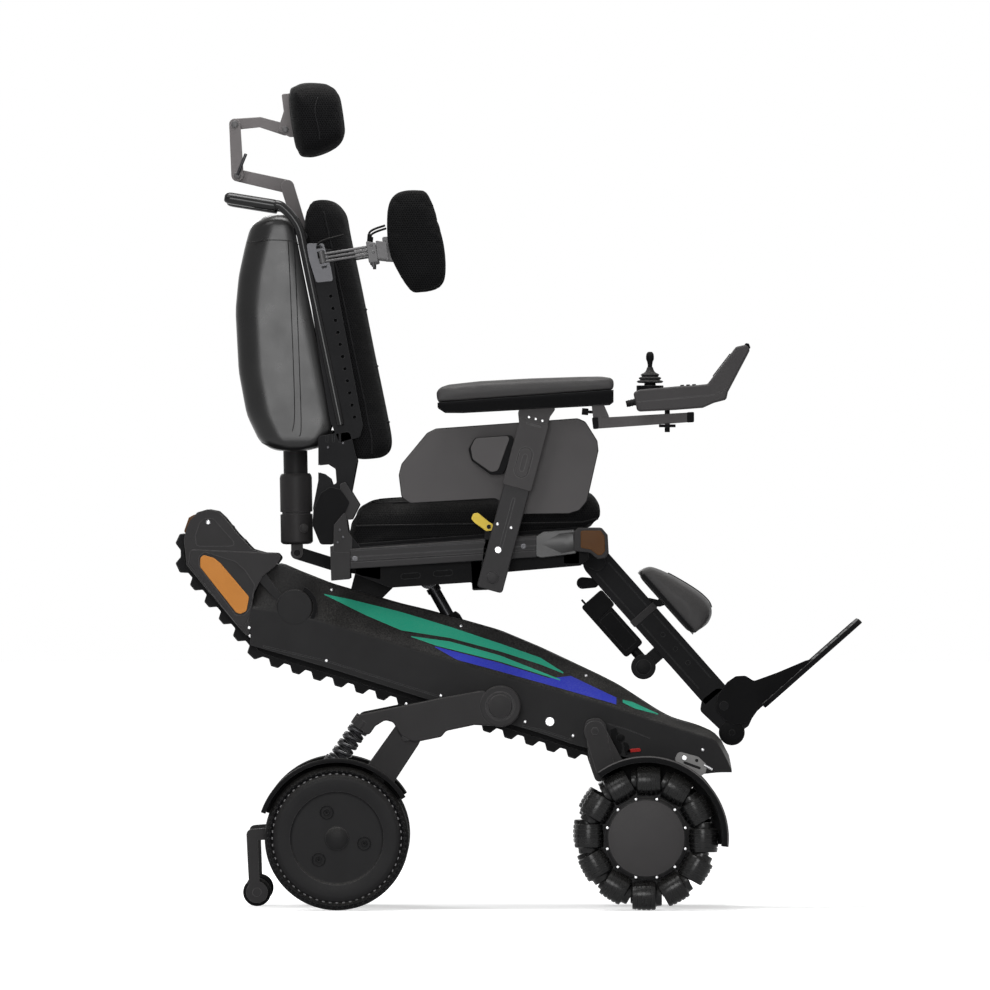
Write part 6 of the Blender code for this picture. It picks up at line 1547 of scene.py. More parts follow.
def place_front():
    add_pair("front_bracket", front_arm(), "front_arm_", "grey_moulding", "front_arm")
    add_pair("front_fender", fender(FRONT_AXLE, -6, 127, 13, 50, 125), "front_arm_",
             "black_moulding")
    add_pair("wheel_hub", omni_hub(), "front_wheel_", "cover_moulding", "omni_wheel")
    add_pair("wheel_cap", turned(FRONT_AXLE, [
        (0, -319.4), (24, -319.0), (46, -317.6), (60, -315.9), (68, -314.4), (70, -313.4),
        (70, -310), (0, -310)], 120), "front_wheel_", "arm_grey")
    rollers = round_wheel(roller(), "roller_rubber", 12, FRONT_AXLE, ROLLER_AXIS, WHEEL_MIDDLE)
    add_pair("rollers", rollers, "front_wheel_", "roller_rubber")
    # A pale cord along the front guard's outer lip: a painted highlight on its edge.
    edge = [((FRONT_AXLE[0] + 150.5 * math.cos(a)) * MM, 0.0006 - FENDER_OUT,
             (FRONT_AXLE[1] + 150.5 * math.sin(a)) * MM)
            for a in (math.radians(-5 + 131 * k / 40) for k in range(41))]
    add_pair("fender_edge", tube(edge, 0.0012, 10), "front_arm_", "light_moulding")
    studs = round_wheel(small_stud(), "bright_steel", 12, FRONT_AXLE, 74.5, 0.3035,
                        math.radians(15))
    add_pair("rim_studs", merged(studs, other_side(studs)), "front_wheel_", "bright_steel")


place_chassis()
place_rear()
place_front()


# Soft pieces: swelled by the air pressure of a cloth simulation, with their seams laid on after

def puffed(shape, voxel=0.005, cap=0.012, held=None, pressure=4.0):
    """The shape remeshed evenly and blown up a little; the points that held() names stay put."""
    thing = bpy.data.objects.new("pad", shape)
    bpy.context.scene.collection.objects.link(thing)
    step = thing.modifiers.new("even", "REMESH")
    step.mode = "VOXEL"
    step.voxel_size = voxel
    even = with_modifiers(thing)
    thing.modifiers.clear()
    thing.data = even
    start = np.empty(len(even.vertices) * 3)
    even.vertices.foreach_get("co", start)
    start = start.reshape(-1, 3)
    cloth = thing.modifiers.new("cloth", "CLOTH")
    cloth.settings.use_pressure = True
    cloth.settings.uniform_pressure_force = pressure
    cloth.settings.effector_weights.gravity = 0.0
    cloth.settings.tension_stiffness = 12
    cloth.settings.compression_stiffness = 12
    cloth.settings.bending_stiffness = 0.4
    cloth.point_cache.frame_end = 20
    if held:
        group = thing.vertex_groups.new(name="held")
        group.add([i for i, point in enumerate(start) if held(*point)], 1.0, "REPLACE")
        cloth.settings.vertex_group_mass = "held"
    for number in range(1, 21):
        bpy.context.scene.frame_set(number)
    swelled = with_modifiers(thing)
    end = np.empty(len(swelled.vertices) * 3)
    swelled.vertices.foreach_get("co", end)
    shift = end.reshape(-1, 3) - start
    reach = np.linalg.norm(shift, axis=1, keepdims=True)
    shift *= np.minimum(1.0, cap / np.maximum(reach, 1e-9))
    even.vertices.foreach_set("co", (start + shift).ravel())
    thing.modifiers.clear()
    bpy.context.scene.frame_set(1)
    step = thing.modifiers.new("finer", "SUBSURF")
    step.levels = step.render_levels = 1
    even.update()
    result = with_modifiers(thing)
    bpy.data.objects.remove(thing)
    return result


def laid_on(shape, path, proud=0.0006):
    """The points of a path moved onto the nearest places of a shape's skin."""
    bm = bmesh.new()
    bm.from_mesh(shape)
    tree = BVHTree.FromBMesh(bm)
    bm.free()
    result = []
    for point in path:
        place, normal, _, _ = tree.find_nearest(Vector(point))
        result.append(place + normal * proud)
    return result


def ring_tube(path, radius, sides=10):
    """A closed loop of round cord through the points."""
    points = [Vector(p) for p in path]
    count = len(points)
    sections = []
    side = None
    for i, point in enumerate(points):
        ahead = (points[(i + 1) % count] - points[i - 1]).normalized()
        if side is None:
            side = ahead.orthogonal()
        side = (side - ahead * side.dot(ahead)).normalized()
        up = ahead.cross(side)
        sections.append([point + (side * math.cos(a) + up * math.sin(a)) * radius
                         for a in (2 * math.pi * j / sides for j in range(sides))])
    return skin(sections, closed=True)


def add_soft(name, shape, body, look, fill, *nodes):
    thing = add(name, shape, body, look, *nodes)
    return thing


def seat_top(x):
    return height_at([(-309, 668), (41, 694)], x) + 2


def seat_cushion():
    """The seat cushion before it swells: flat below, crowned above, rolled at its front."""
    outline = smooth_outline([
        (-304, 676), (-124, 689), (50, 703), (96, 706), (136, 712), (154, 724), (158, 738),
        (150, 757), (130, 768), (60, 767), (-40, 763), (-124, 759), (-210, 755), (-262, 751),
        (-292, 744), (-302, 728), (-305, 702)])
    sections = []
    for share in (-1.0, -0.985, -0.95, -0.88, -0.7, -0.35, 0.0, 0.35, 0.7, 0.88, 0.95, 0.985, 1.0):
        full = (1 - abs(share) ** 9) ** 0.45 if abs(share) < 1 else 0.0
        full = 0.52 + 0.48 * full
        section = []
        for x, z in outline:
            floor = seat_top(x) + 0.8
            rise = max(0.0, z - floor)
            swell = 5.0 * (1 - share ** 2) if rise > 35 else 0.0
            section.append(((-73 + (x + 73) * (0.975 + 0.025 * full)) * MM,
                            share * (CUSHION_HALF - 0.003), (floor + rise * full + swell) * MM))
        sections.append(section)
    return skin(sections)


def smooth_outline(points, steps=5):
    """A closed outline smoothed through its points."""
    loop = [points[-1]] + points + points[:2]
    path = smooth_path(loop, steps)
    return [(p.x, p.y) for p in path[steps:steps * (len(points) + 1)]]


def pad_between(outline, y0, y1, roll, bulge=1.0):
    """A pad with a side-view outline, rounded over towards both sides."""
    middle, half = (y0 + y1) / 2, abs(y1 - y0) / 2
    sections = []
    for k in range(25):
        angle = math.pi * (k / 24 - 0.5)
        near_edge = half - roll * MM
        y = middle + math.copysign(near_edge * min(1.0, abs(angle) / (math.pi / 4))
                                   + (roll * MM * math.sin(2 * abs(angle) - math.pi / 2)
                                      if abs(angle) > math.pi / 4 else 0.0), angle)
        draw = roll * (1 - math.cos(2 * abs(angle) - math.pi / 2)) if abs(angle) > math.pi / 4 else 0.0
        draw -= bulge * math.cos(angle)
        sections.append([(x * MM, y, z * MM) for x, z in inset(outline, draw)])
    return skin(sections)


# Seat frame with its rails, ears and lamps

def seat_rail():
    rail = plate([(-309, 668), (36, 693.6), (36, 652.6), (-309, 631)], RAIL_IN, RAIL_OUT, 1.8, 3)
    grooves = []
    for low, high, deep in ((11.5, 14.5, 0.004), (21.0, 22.2, 0.002), (33, 35, 0.002)):
        grooves.append(plate([(-312, 631 + low), (40, 653 + low), (40, 653 + high),
                              (-312, 631 + high)], RAIL_OUT - deep, RAIL_OUT + 0.01, 0))
    return cut(rail, *grooves)


def seat_ears():
    """The painted ears and plates of one side, each with its own pin."""
    recline = joined(
        plate(link((-350, 744), 23, (-352, 720), 24), SEAT_EAR_IN, SEAT_EAR_OUT, 0.8),
        plate(link((-348, 716), 18, (-296, 651), 17), SEAT_EAR_IN, SEAT_EAR_OUT, 0.8))
    recline = cut(recline, pin(RECLINE, 8.3, SEAT_EAR_IN - 0.002, SEAT_EAR_OUT + 0.002, 0))
    post_plate = plate(link(ARMREST, 22, (ARMREST[0] + 6, ARMREST[1] + 52), 24),
                       RAIL_OUT - 0.008, RAIL_OUT, 1.0)
    spacer = turned(ARMREST, [(0, -262), (8, -262), (9, -261.2), (9, -237), (17, -236.9),
                              (17, -224), (0, -224)], 40)
    lever_ear = plate(link(LEVER, 8, (LEVER[0] + 2, LEVER[1] - 32), 10), RAIL_OUT - 0.006,
                      RAIL_OUT, 0.8)
    tilt_arm = plate(rounded([(-309, 590), (-314, 574), (-308, 561), (-293, 557), (-250, 576),
                              (-222, 604), (-222, 640), (-296, 640)], 6), 0.080, 0.093, 0.8)
    foot_ear = plate(link(LEGREST, 15, (112, 662), 17), 0.032, 0.040, 0.8)
    lift_ear = plate(link(LIFT_TOP, 11, (LIFT_TOP[0], LIFT_TOP[1] + 50), 18), 0.013, 0.019, 0.6)
    return merged(recline, post_plate, spacer, lever_ear, tilt_arm, foot_ear, lift_ear,
                  pin(LEVER, 4, RAIL_OUT - 0.002, GUARD_OUT))


def seat_skirt():
    outline = rounded([(-302, 660), (131, 690), (133, 650), (118, 637), (-52, 622), (-52, 592),
                       (-83, 591), (-83, 606), (-235, 596), (-300, 622)], 4)
    skirt = plate(outline, RAIL_IN - 0.008, RAIL_IN + 0.002, 1.0)
    return cut(skirt, *[plate(link((x, z), 5, (x + 26, z + 2), 5), RAIL_IN - 0.001,
                              RAIL_IN + 0.01, 0) for x, z in ((-210, 617), (-150, 622))])


def hinge_cover():
    """The black moulded cover over a back hinge, with the plate and box at the rail's end."""
    cover = plate(rounded([(-377, 740), (-364, 771), (-346, 783), (-326, 778), (-309, 754),
                           (-318, 734), (-331, 721), (-338, 676), (-364, 676), (-379, 712)], 8),
                  SEAT_EAR_OUT + 0.0002, SEAT_EAR_OUT + 0.0011, 0.3)
    wedge = plate(rounded([(-328, 788), (-318, 792), (-292, 750), (-306, 722), (-324, 722)], 3),
                  SEAT_EAR_IN + 0.001, SEAT_EAR_OUT - 0.001, 0.8)
    lug = plate(rounded([(-339, 712), (-318, 738), (-312, 700), (-305, 688), (-305, 662),
                         (-340, 662)], 4), SEAT_EAR_OUT + 0.002, SEAT_EAR_OUT + 0.0085, 1.0)
    box = plate(rounded([(-346, 673), (-309, 675), (-309, 612), (-344, 609)], 2), RAIL_IN - 0.003,
                RAIL_OUT - 0.001, 1.2)
    return cover, merged(wedge, lug, box)


def seat_pan():
    pan = slab([(-302, 664.5), (118, 695.7), (118, 701.7), (-302, 670.5)], -0.202, 0.202, 0.8)
    beams = [slab(rounded(corners, 4), -0.202, 0.202, 1.0) for corners in (
        [(-300, 662), (-252, 665), (-252, 610), (-300, 620)],
        [(-188, 668), (-140, 672), (-140, 640), (-188, 637)],
        [(-88, 676), (-52, 680), (-52, 594), (-83, 594)],
        [(86, 690), (116, 692), (116, 640), (86, 640)])]
    arm = joined(slab(link(STRUT_BASE, 12, (-345, 640), 12), -0.008, 0.008, 1.0),
                 slab(link((-345, 640), 12, (-280, 632), 14), -0.008, 0.008, 1.0))
    pins = [slab(disc(STRUT_BASE, 6, 32), -0.014, 0.014),
            slab(disc(SEAT_TILT, 8, 40), -PLATE_OUT, PLATE_OUT),
            slab(disc(LIFT_TOP, 4, 28), -0.016, 0.016),
            slab(disc(LEGREST, 7, 36), -0.036, 0.036)]
    return merged(pan, arm, *beams, *pins)


def front_fitting():
    body = plate(rounded([(34, 691), (48, 700), (107, 704), (110, 659), (44, 651), (34, 655)], 4),
                 CUSHION_HALF + 0.001, RAIL_OUT - 0.0035, 1.6, 3)
    corners = [(40, 676), (76, 697), (106, 700), (108, 664), (80, 658)]
    y = RAIL_OUT - 0.004
    facet = skin([[(x * MM, -y, z * MM) for x, z in corners],
                  [(x * MM, -y - 0.0038, z * MM) for x, z in
                   ((84, 681), (92, 690), (104, 694), (105, 672), (94, 668))]])
    return merged(body, facet)


def lamp_housing():
    body = plate(rounded([(105, 700), (113, 707), (157, 707), (168, 694), (170, 660),
                          (163, 651), (150, 649), (135, 661), (105, 664)], 4),
                 CUSHION_HALF + 0.001, RAIL_OUT + 0.001, 2.4, 3)
    return body


def release_lever():
    outline = rounded(moved([(-33, 15), (-29, 25), (-20, 26), (-2, 11), (8, 4), (6, -7), (-5, -8),
                             (-26, 7)], LEVER), 4)
    body = plate(outline, RAIL_OUT + 0.0005, GUARD_OUT - 0.001, 1.2, 3)
    return cut(body, pin(LEVER, 4.2, RAIL_OUT - 0.002, GUARD_OUT + 0.005, 0))


def lift_body():
    place = tilted(LIFT_BASE, heading_of(LIFT_BASE, LIFT_TOP))
    outer = bored_sleeve(place, [(8, 14), (9, 19), (12, 20), (58, 20), (58.6, 19.2), (60, 19.2),
                                (60.6, 20), (112, 20), (118, 18), (122, 15.5)], 11.4)
    return merged(cut(joined(outer, slab(disc(LIFT_BASE, 15, 40), -0.013, 0.013, 0.8)),
                      slab(disc(LIFT_BASE, 7.3, 32), -0.04, 0.04, 0)))


def bored_sleeve(place, profile, bore):
    """A sleeve turned about a slope in the side view, from (distance, radius) pairs, bored."""
    bm = bmesh.new()
    x0, z0 = place(0)
    x1, z1 = place(1)
    ahead = Vector((x1 - x0, 0, z1 - z0)).normalized()
    side = Vector((0, 1, 0))
    up = ahead.cross(side)
    origin = Vector((x0, 0, z0)) * MM
    loops = profile + [(profile[-1][0], bore), (profile[0][0] + 18, bore)]
    rings = []
    for d, r in loops:
        rings.append([bm.verts.new(origin + ahead * d * MM
                                   + (side * math.cos(a) + up * math.sin(a)) * r * MM)
                      for a in (2 * math.pi * j / 48 for j in range(48))])
    for near, far in zip(rings, rings[1:]):
        for j in range(48):
            bm.faces.new((near[j - 1], near[j], far[j], far[j - 1]))
    bm.faces.new(rings[0])
    bm.faces.new(rings[-1])
    return to_mesh(bm)


def lift_rod():
    place = tilted(LIFT_BASE, heading_of(LIFT_BASE, LIFT_TOP))
    length = math.dist(LIFT_BASE, LIFT_TOP)
    eye = cut(slab(disc(LIFT_TOP, 17, 48), -0.012, 0.012, 1.2),
              slab(disc(LIFT_TOP, 7.6, 36), -0.02, 0.02, 0))
    neck = bar(place, length - 26, length - 15.5, 13)
    return merged(bar(place, 46, length - 15.8, 11, sides=40), neck, eye)


# Back: canes, side plates, casing, cushion and recline actuator

BACK_LEAN = math.radians(12.5)
BACK_AXIS = Vector((-math.sin(BACK_LEAN), 0, math.cos(BACK_LEAN)))


def cane():
    corners = moved([(-178, 581), (-85, 566), (-56, 531), (-44, 485), (24, 160)], RECLINE)
    path = [corners[0], Vector(corners[0]).lerp(Vector(corners[1]), 0.5),
            Vector(corners[0]).lerp(Vector(corners[1]), 0.78)]
    bend = smooth_path([path[-1], corners[1], corners[2], corners[3],
                        Vector(corners[3]).lerp(Vector(corners[4]), 0.12)], 10)
    path = path[:2] + bend + [Vector(corners[4])]
    return tube([(p[0] * MM, -CANE_SIGHT, p[1] * MM) for p in path], 0.0083, 24)


def grip():
    start, end = moved([(-178, 581), (-85, 566)], RECLINE)
    start, end = Vector(start), Vector(end)
    way = (start - end).normalized()
    bm = bmesh.new()
    across = Vector((0, 1, 0))
    ahead = Vector((way.x, 0, way.y))
    up = ahead.cross(across)
    base = Vector((end.x, 0, end.y)) + ahead * 12
    stations = [(0, 8.6), (0.5, 9.8), (2, 10.6), (6, 10.8), (84, 10.8), (90, 10.2), (94, 8.6),
                (96, 6)]
    rings = []
    for d, r in stations:
        rings.append([bm.verts.new((base + ahead * d) * MM + Vector((0, -CANE_SIGHT, 0))
                                   + (across * math.cos(a) + up * math.sin(a)) * r * MM)
                      for a in (2 * math.pi * j / 28 for j in range(28))])
    for near, far in zip(rings, rings[1:]):
        for j in range(28):
            bm.faces.new((near[j - 1], near[j], far[j], far[j - 1]))
    bm.faces.new(rings[0])
    bm.faces.new(rings[-1])
    return to_mesh(bm)


def back_side():
    """The bracket at the hinge and the long slotted plate beside the cushion."""
    bracket = cut(
        plate(rounded(moved([(-18, 141), (41, 150), (54, 96), (39, 17), (22, -18), (0, -28),
                             (-22, -18), (-28, 7), (-18, 59)], RECLINE), 9), BACK_PLATE_IN,
              BACK_PLATE_OUT, 0.9),
        plate(rounded(moved([(-20, 87), (0, 89), (14, 80), (16, 54), (8, 50), (4, 62),
                             (-8, 71), (-19, 74)], RECLINE), 4),
              BACK_PLATE_IN - 0.005, BACK_PLATE_OUT + 0.005, 0),
        *[plate(box_along(tilted(moved([(x, 130)], RECLINE)[0], 0), 0, 4, 0, 22),
                BACK_PLATE_OUT - 0.002, BACK_PLATE_OUT + 0.005, 0) for x in (-4, 8, 20)])
    long_plate = plate(rounded(moved([(-44, 490), (8, 487), (15, 425), (65, 161), (59, 139),
                                      (20, 128), (4, 170), (-38, 425)], RECLINE), 6),
                       BACK_PLATE_IN, BACK_PLATE_OUT, 0.9)
    holes = []
    for k in range(11):
        share = k / 10
        x, z = 5 + 44 * share, 400 - 224 * share
        holes.append(plate(disc(moved([(x, z)], RECLINE)[0], 3.2, 20), BACK_PLATE_IN - 0.002,
                           BACK_PLATE_OUT + 0.002, 0))
    return merged(bracket, cut(long_plate, *holes),
                  pin(RECLINE, 8, BACK_PLATE_IN, SEAT_EAR_OUT))


def support_knuckle():
    y = -(BACK_PLATE_OUT + 0.008)
    along = tilted(SIDE_SUPPORT, math.pi / 2 + BACK_LEAN)
    lugs = [plate(rounded([along(near, -7), along(near, 7), along(far, 7), along(far, -7)], 1.2),
                  BACK_PLATE_OUT - 0.001, BACK_PLATE_OUT + 0.014, 0.7)
            for near, far in ((11.5, 17), (-17, -11.5))]
    centre = Vector((SIDE_SUPPORT[0] * MM, y, SIDE_SUPPORT[1] * MM))
    post = rod(centre - BACK_AXIS * 0.0185, centre + BACK_AXIS * 0.0185, 0.003, 16)
    heads = [rod(centre + BACK_AXIS * a, centre + BACK_AXIS * b, 0.0048, 6)
             for a, b in ((0.017, 0.0205), (-0.0205, -0.017))]
    base = plate(rounded(moved([(-40, 498), (-8, 498), (6, 452), (10, 428), (-22, 425),
                                (-36, 470)], RECLINE), 5), BACK_PLATE_OUT - 0.0005,
                 BACK_PLATE_OUT + 0.0022, 0.6)
    return merged(base, *lugs, post, *heads)


def back_cross():
    low_bar, high_bar = moved([(11, 128), (-46, 511)], RECLINE)
    reach = BACK_PLATE_IN + 0.001
    bars = [slab(disc(low_bar, 8, 36), -reach, reach), slab(disc(high_bar, 8, 36), -CANE_MIDDLE,
                                                             CANE_MIDDLE)]
    panel = slab(moved([(-29, 425), (-23, 426), (42, 150), (36, 148)], RECLINE), -reach, reach,
                 0.8)
    ears = [slab(link(STRUT_TOP, 10, low_bar, 10), y, y + 0.006, 0.6) for y in (-0.013, 0.007)]
    return merged(*bars, panel, *ears, slab(disc(STRUT_TOP, 4, 28), -0.012, 0.012))


def head_root():
    high_bar = moved([(-46, 511)], RECLINE)[0]
    elbow = moved([(-6, 14)], high_bar)[0]
    return merged(
        joined(slab(link(HEAD_A, 12.5, elbow, 12), -0.006, 0.006, 1.4, 3),
               slab(link(elbow, 12, high_bar, 11), -0.006, 0.006, 1.4, 3)),
        slab(disc(HEAD_A, 5, 28), 0, 0.0144))


SHELL_FRONT = [(113, -46), (122, -6), (138, 10), (166, 22), (480, -42), (540, -58), (552, -76)]
SHELL_REAR = [(113, -100), (117, -110), (128, -126), (180, -151), (260, -166), (374, -172),
              (438, -166), (494, -154), (533, -143), (546, -132), (552, -112)]
SHELL_HALF = 0.1957


def shell_form(wall, low, high):
    """The casing's outer or inner form in level sections, with curved corners all round."""
    sections = []
    steps = 44
    for k in range(steps + 1):
        t = k / steps
        share = 0.5 - 0.5 * math.cos(math.pi * t)
        z = low + (high - low) * share
        end = min(z - low, high - z)
        roll = 20.0
        draw = roll * (1 - math.sqrt(max(0.0, 1 - ((roll - end) / roll) ** 2))) if end < roll else 0
        front, rear = eased_height(SHELL_FRONT, z) - wall, eased_height(SHELL_REAR, z) + wall
        half = SHELL_HALF / MM - wall - draw
        front -= 0.25 * draw
        rear += 0.5 * draw
        corner_x = min(46.0, 0.5 * (front - rear))
        corner_y = 34.0
        turn = min(1.0, 0.32 * (front - rear) / 38)
        loop = [(front, -half + 17), (front, half - 17), (front - 5 * turn, half - 9),
                (front - 14 * turn, half - 3.5), (front - 26 * turn, half - 0.8),
                (front - 38 * turn, half)]
        for j in range(9):
            a = math.pi / 2 * j / 8
            loop.append((rear + corner_x * (1 - math.sin(a)), half - corner_y * (1 - math.cos(a))))
        loop += [(x, -y) for x, y in reversed(loop[2:])]
        sections.append([((RECLINE[0] + x) * MM, y * MM, (RECLINE[1] + z) * MM) for x, y in loop])
    return skin(sections)


def back_shell():
    half = SHELL_HALF - 0.003
    mouth = slab(moved([(-80, 527), (-22, 152), (30, 152), (-30, 527)], RECLINE), -half + 0.001,
                 half - 0.001, 0)
    way_in = slab(moved([(-108, 90), (20, 90), (20, 160), (-108, 160)], RECLINE), -0.045, 0.045, 0)
    head_slot = slab(moved([(-100, 520), (-30, 520), (-30, 570), (-100, 570)], RECLINE), -0.009,
                     0.009, 0)
    seams = []
    for path in ([(-74, 502), (-70, 420), (-62, 200), (-66, 150)],
                 [(-63, 508), (-59, 420), (-50, 180), (-53, 140)],
                 [(-150, 499), (-110, 504), (-74, 503), (-56, 500)]):
        line = smooth_path(moved(path, RECLINE), 8)
        seams.append(two_sided(tube([(p.x * MM, SHELL_HALF - 0.0003, p.y * MM) for p in line],
                                    0.0009, 8)))
    grooves = []
    for y0, y1, z0, z1 in ((-0.125, 0.125, 466, 467.6), (-0.125, 0.125, 205, 206.6),
                           (-0.125, -0.1234, 205, 467), (0.1234, 0.125, 205, 467)):
        grooves.append(slab(moved([(-200, z0), (-120, z0), (-120, z1), (-200, z1)], RECLINE),
                            y0, y1, 0))
    lining = shell_form(1.2, 116, 549)
    groove_cut = [combined(g, [lining], "DIFFERENCE") for g in grooves]
    vents = [slab(moved([(-190, 240 + 11 * k), (-120, 240 + 11 * k), (-120, 244 + 11 * k),
                         (-190, 244 + 11 * k)], RECLINE), -0.05, 0.05, 0) for k in range(5)]
    return cut(shell_form(0, 114, 551), shell_form(3, 117, 548), mouth, way_in, head_slot,
               *groove_cut, *vents), merged(*seams)


def back_cushion():
    outline = smooth_outline(moved([
        (50, 96), (90, 97), (108, 105), (114, 122), (102, 189), (79, 300), (57, 411),
        (36, 510), (27, 556), (13, 576), (-6, 582), (-25, 575), (-37, 560), (-41, 538),
        (-37, 500), (-21.5, 424), (5, 308), (42, 152), (44, 112)], RECLINE), 4)
    rear = moved([(-23, 426), (42, 150)], RECLINE)
    sections = []
    for share in (-1.0, -0.985, -0.95, -0.88, -0.7, -0.35, 0.0, 0.35, 0.7, 0.88, 0.95, 0.985, 1.0):
        full = (1 - abs(share) ** 10) ** 0.45 if abs(share) < 1 else 0.0
        full = 0.5 + 0.5 * full
        section = []
        for x, z in outline:
            back = rear[0][0] + (rear[1][0] - rear[0][0]) * (rear[0][1] - z) / 276 + 0.6
            depth = x - back
            depth = depth * full + (2.0 * (1 - share ** 2) if depth > 30 else 0.0)
            end = min(1.0, max(0.0, min(z - 828, 1322 - z) / 30))
            reach = (CUSHION_HALF - 0.004) * (0.972 + 0.028 * end)
            section.append(((back + max(depth, 0.0 if 886 < z < 1162 else depth)) * MM,
                            share * reach, z * MM))
        sections.append(section)
    return skin(sections)


def strut_body():
    place = tilted(STRUT_BASE, heading_of(STRUT_BASE, STRUT_TOP))
    outer = bored_sleeve(place, [(16, 20), (17, 26), (20, 29.4), (22, 30), (72, 30), (73, 26.5),
                                (76, 26.5), (77, 30), (84, 30), (140, 30), (145, 28.6),
                                (148, 26)], 23.5)
    ears = [slab(link(STRUT_BASE, 11, place(26), 11), y, y + 0.006, 0.6)
            for y in (0.0085, -0.0145)]
    body = cut(joined(outer, *ears), slab(disc(STRUT_BASE, 6.3, 32), -0.02, 0.02, 0))
    x, z = place(46)
    knob = turned((x + 14, z), [(0, -34.6), (5.5, -34.6), (8, -33.6), (8, -25), (0, -25)], 24)
    return merged(body, knob)


def strut_rod():
    place = tilted(STRUT_BASE, heading_of(STRUT_BASE, STRUT_TOP))
    length = math.dist(STRUT_BASE, STRUT_TOP)
    eye = cut(slab(link(STRUT_TOP, 15, place(length - 38), 10), -0.006, 0.006, 0.8),
              slab(disc(STRUT_TOP, 7.6, 36), -0.02, 0.02, 0))
    return merged(bar(place, 82, length - 34, 22.5, sides=56), eye)


# Headrest and side supports

def head_low():
    return cut(slab(link(HEAD_A, 12.5, HEAD_B, 11.5, 20), 0.0064, 0.0144, 1.4, 3),
               slab(disc(HEAD_A, 5.3, 28), 0, 0.02, 0), slab(disc(HEAD_B, 5.3, 28), 0, 0.02, 0))


def head_mid():
    return merged(slab(link(HEAD_B, 11.5, HEAD_C, 10.5, 20), -0.006, 0.006, 1.4, 3),
                  slab(disc(HEAD_B, 5, 28), 0, 0.0144), slab(disc(HEAD_C, 5, 28), 0, 0.0144))


def head_high():
    middle = ((HEAD_C[0] + HEAD_D[0]) / 2, (HEAD_C[1] + HEAD_D[1]) / 2 + 9)
    form = joined(slab(link(HEAD_C, 10.5, middle, 9.5, 20), 0.0064, 0.0144, 1.4, 3),
                  slab(link(middle, 9.5, HEAD_D, 11, 20), 0.0064, 0.0144, 1.4, 3))
    return cut(form, slab(disc(HEAD_C, 5.3, 28), 0, 0.02, 0),
               slab(disc(HEAD_D, 5.3, 28), 0, 0.02, 0))


def head_plate():
    return merged(
        slab(rounded(moved([(-7, 66), (13, 68), (24, 10), (30, -14), (8, -14), (-14, -2),
                            (-10, 12), (-3, 34)], HEAD_D), 4), -0.006, 0.006, 1.2, 3),
        slab(disc(HEAD_D, 5, 28), 0, 0.0144))


HEAD_PAD = [(15, 69), (24, 80), (52, 85), (92, 81), (104, 70), (110, 51), (117, 0),
            (114, -22), (102, -32), (76, -45), (43, -52), (31, -42), (21, 10)]


def support_metal():
    """Bars, clamp and plate that carry the side pad, on the knuckle at the back's edge."""
    inner = BACK_PLATE_OUT + 0.0004
    y = -(BACK_PLATE_OUT + 0.008)
    centre = Vector((SIDE_SUPPORT[0] * MM, y, SIDE_SUPPORT[1] * MM))
    barrel = rod(centre - BACK_AXIS * 0.011, centre + BACK_AXIS * 0.011, 0.0065, 32)
    rods = []
    for rise in (1, 8, 15):
        start, end = moved([(-8, 463 + rise), (84, 478 + rise)], RECLINE)
        rods.append(rod((start[0] * MM, y + 0.0012, start[1] * MM),
                        (end[0] * MM, y + 0.0012, end[1] * MM), 0.0026, 16))
    clamp = plate(rounded(moved([(70, 502), (88, 499), (94, 464), (76, 461)], RECLINE), 3),
                  inner + 0.001, inner + 0.016, 1.6, 3)
    block = plate(rounded(moved([(88, 503), (108, 500), (112, 468), (92, 470)], RECLINE), 2),
                  CUSHION_HALF - 0.008, inner + 0.014, 1.2)
    back_plate = plate(rounded(moved([(100, 510), (150, 512), (154, 466), (104, 468)], RECLINE),
                               4), CUSHION_HALF - 0.009, CUSHION_HALF - 0.004, 0.8)
    knob = moved([(84, 468)], RECLINE)[0]
    screws = [turned(moved([(x, z)], RECLINE)[0], [(0, -231), (2.4, -231), (3.6, -230.4),
                                                   (3.6, -228), (0, -228)], 18)
              for x, z in ((80, 494), (84, 481))]
    stud = rod((knob[0] * MM, y, (knob[1] - 2) * MM), (knob[0] * MM, y, (knob[1] - 14) * MM),
               0.0032, 16)
    return cut(joined(barrel, clamp, block, back_plate, *rods, *screws, stud),
               rod(centre - BACK_AXIS * 0.03, centre + BACK_AXIS * 0.03, 0.0034, 16))


def support_levers():
    """The two clamping levers of a side support."""
    y = -(BACK_PLATE_OUT + 0.009)
    forms = []
    for start, elbow, end in (((-14, 470), (-17, 498), (29, 513)), ((76, 496), (78, 519), (106, 531))):
        path = smooth_path([(x * MM, y, z * MM) for x, z in moved([start, elbow, end], RECLINE)], 8)
        forms.append(tube(path, 0.0021, 12))
        foot = moved([start], RECLINE)[0]
        top = moved([(elbow[0] - 0.5, elbow[1] - 4)], RECLINE)[0]
        forms.append(rod((foot[0] * MM, y, foot[1] * MM), (top[0] * MM, y, top[1] * MM), 0.0042, 20))
    return merged(*forms)


SIDE_PAD = [(111, 521), (112, 560), (120, 582), (137, 593), (167, 595), (184, 587), (206, 529),
            (215, 480), (214, 436), (199, 418), (170, 413), (152, 416), (124, 461), (114, 490)]


# Armrests, guards and the hand control

POST_LEAN = math.radians(15)
UP_POST = tilted(ARMREST, math.pi / 2 - POST_LEAN)
ARM_UNDER = [(-140, 919), (175, 936)]


def post_box(start, end, half):
    return [UP_POST(start, -half), UP_POST(end, -half), UP_POST(end, half), UP_POST(start, half)]


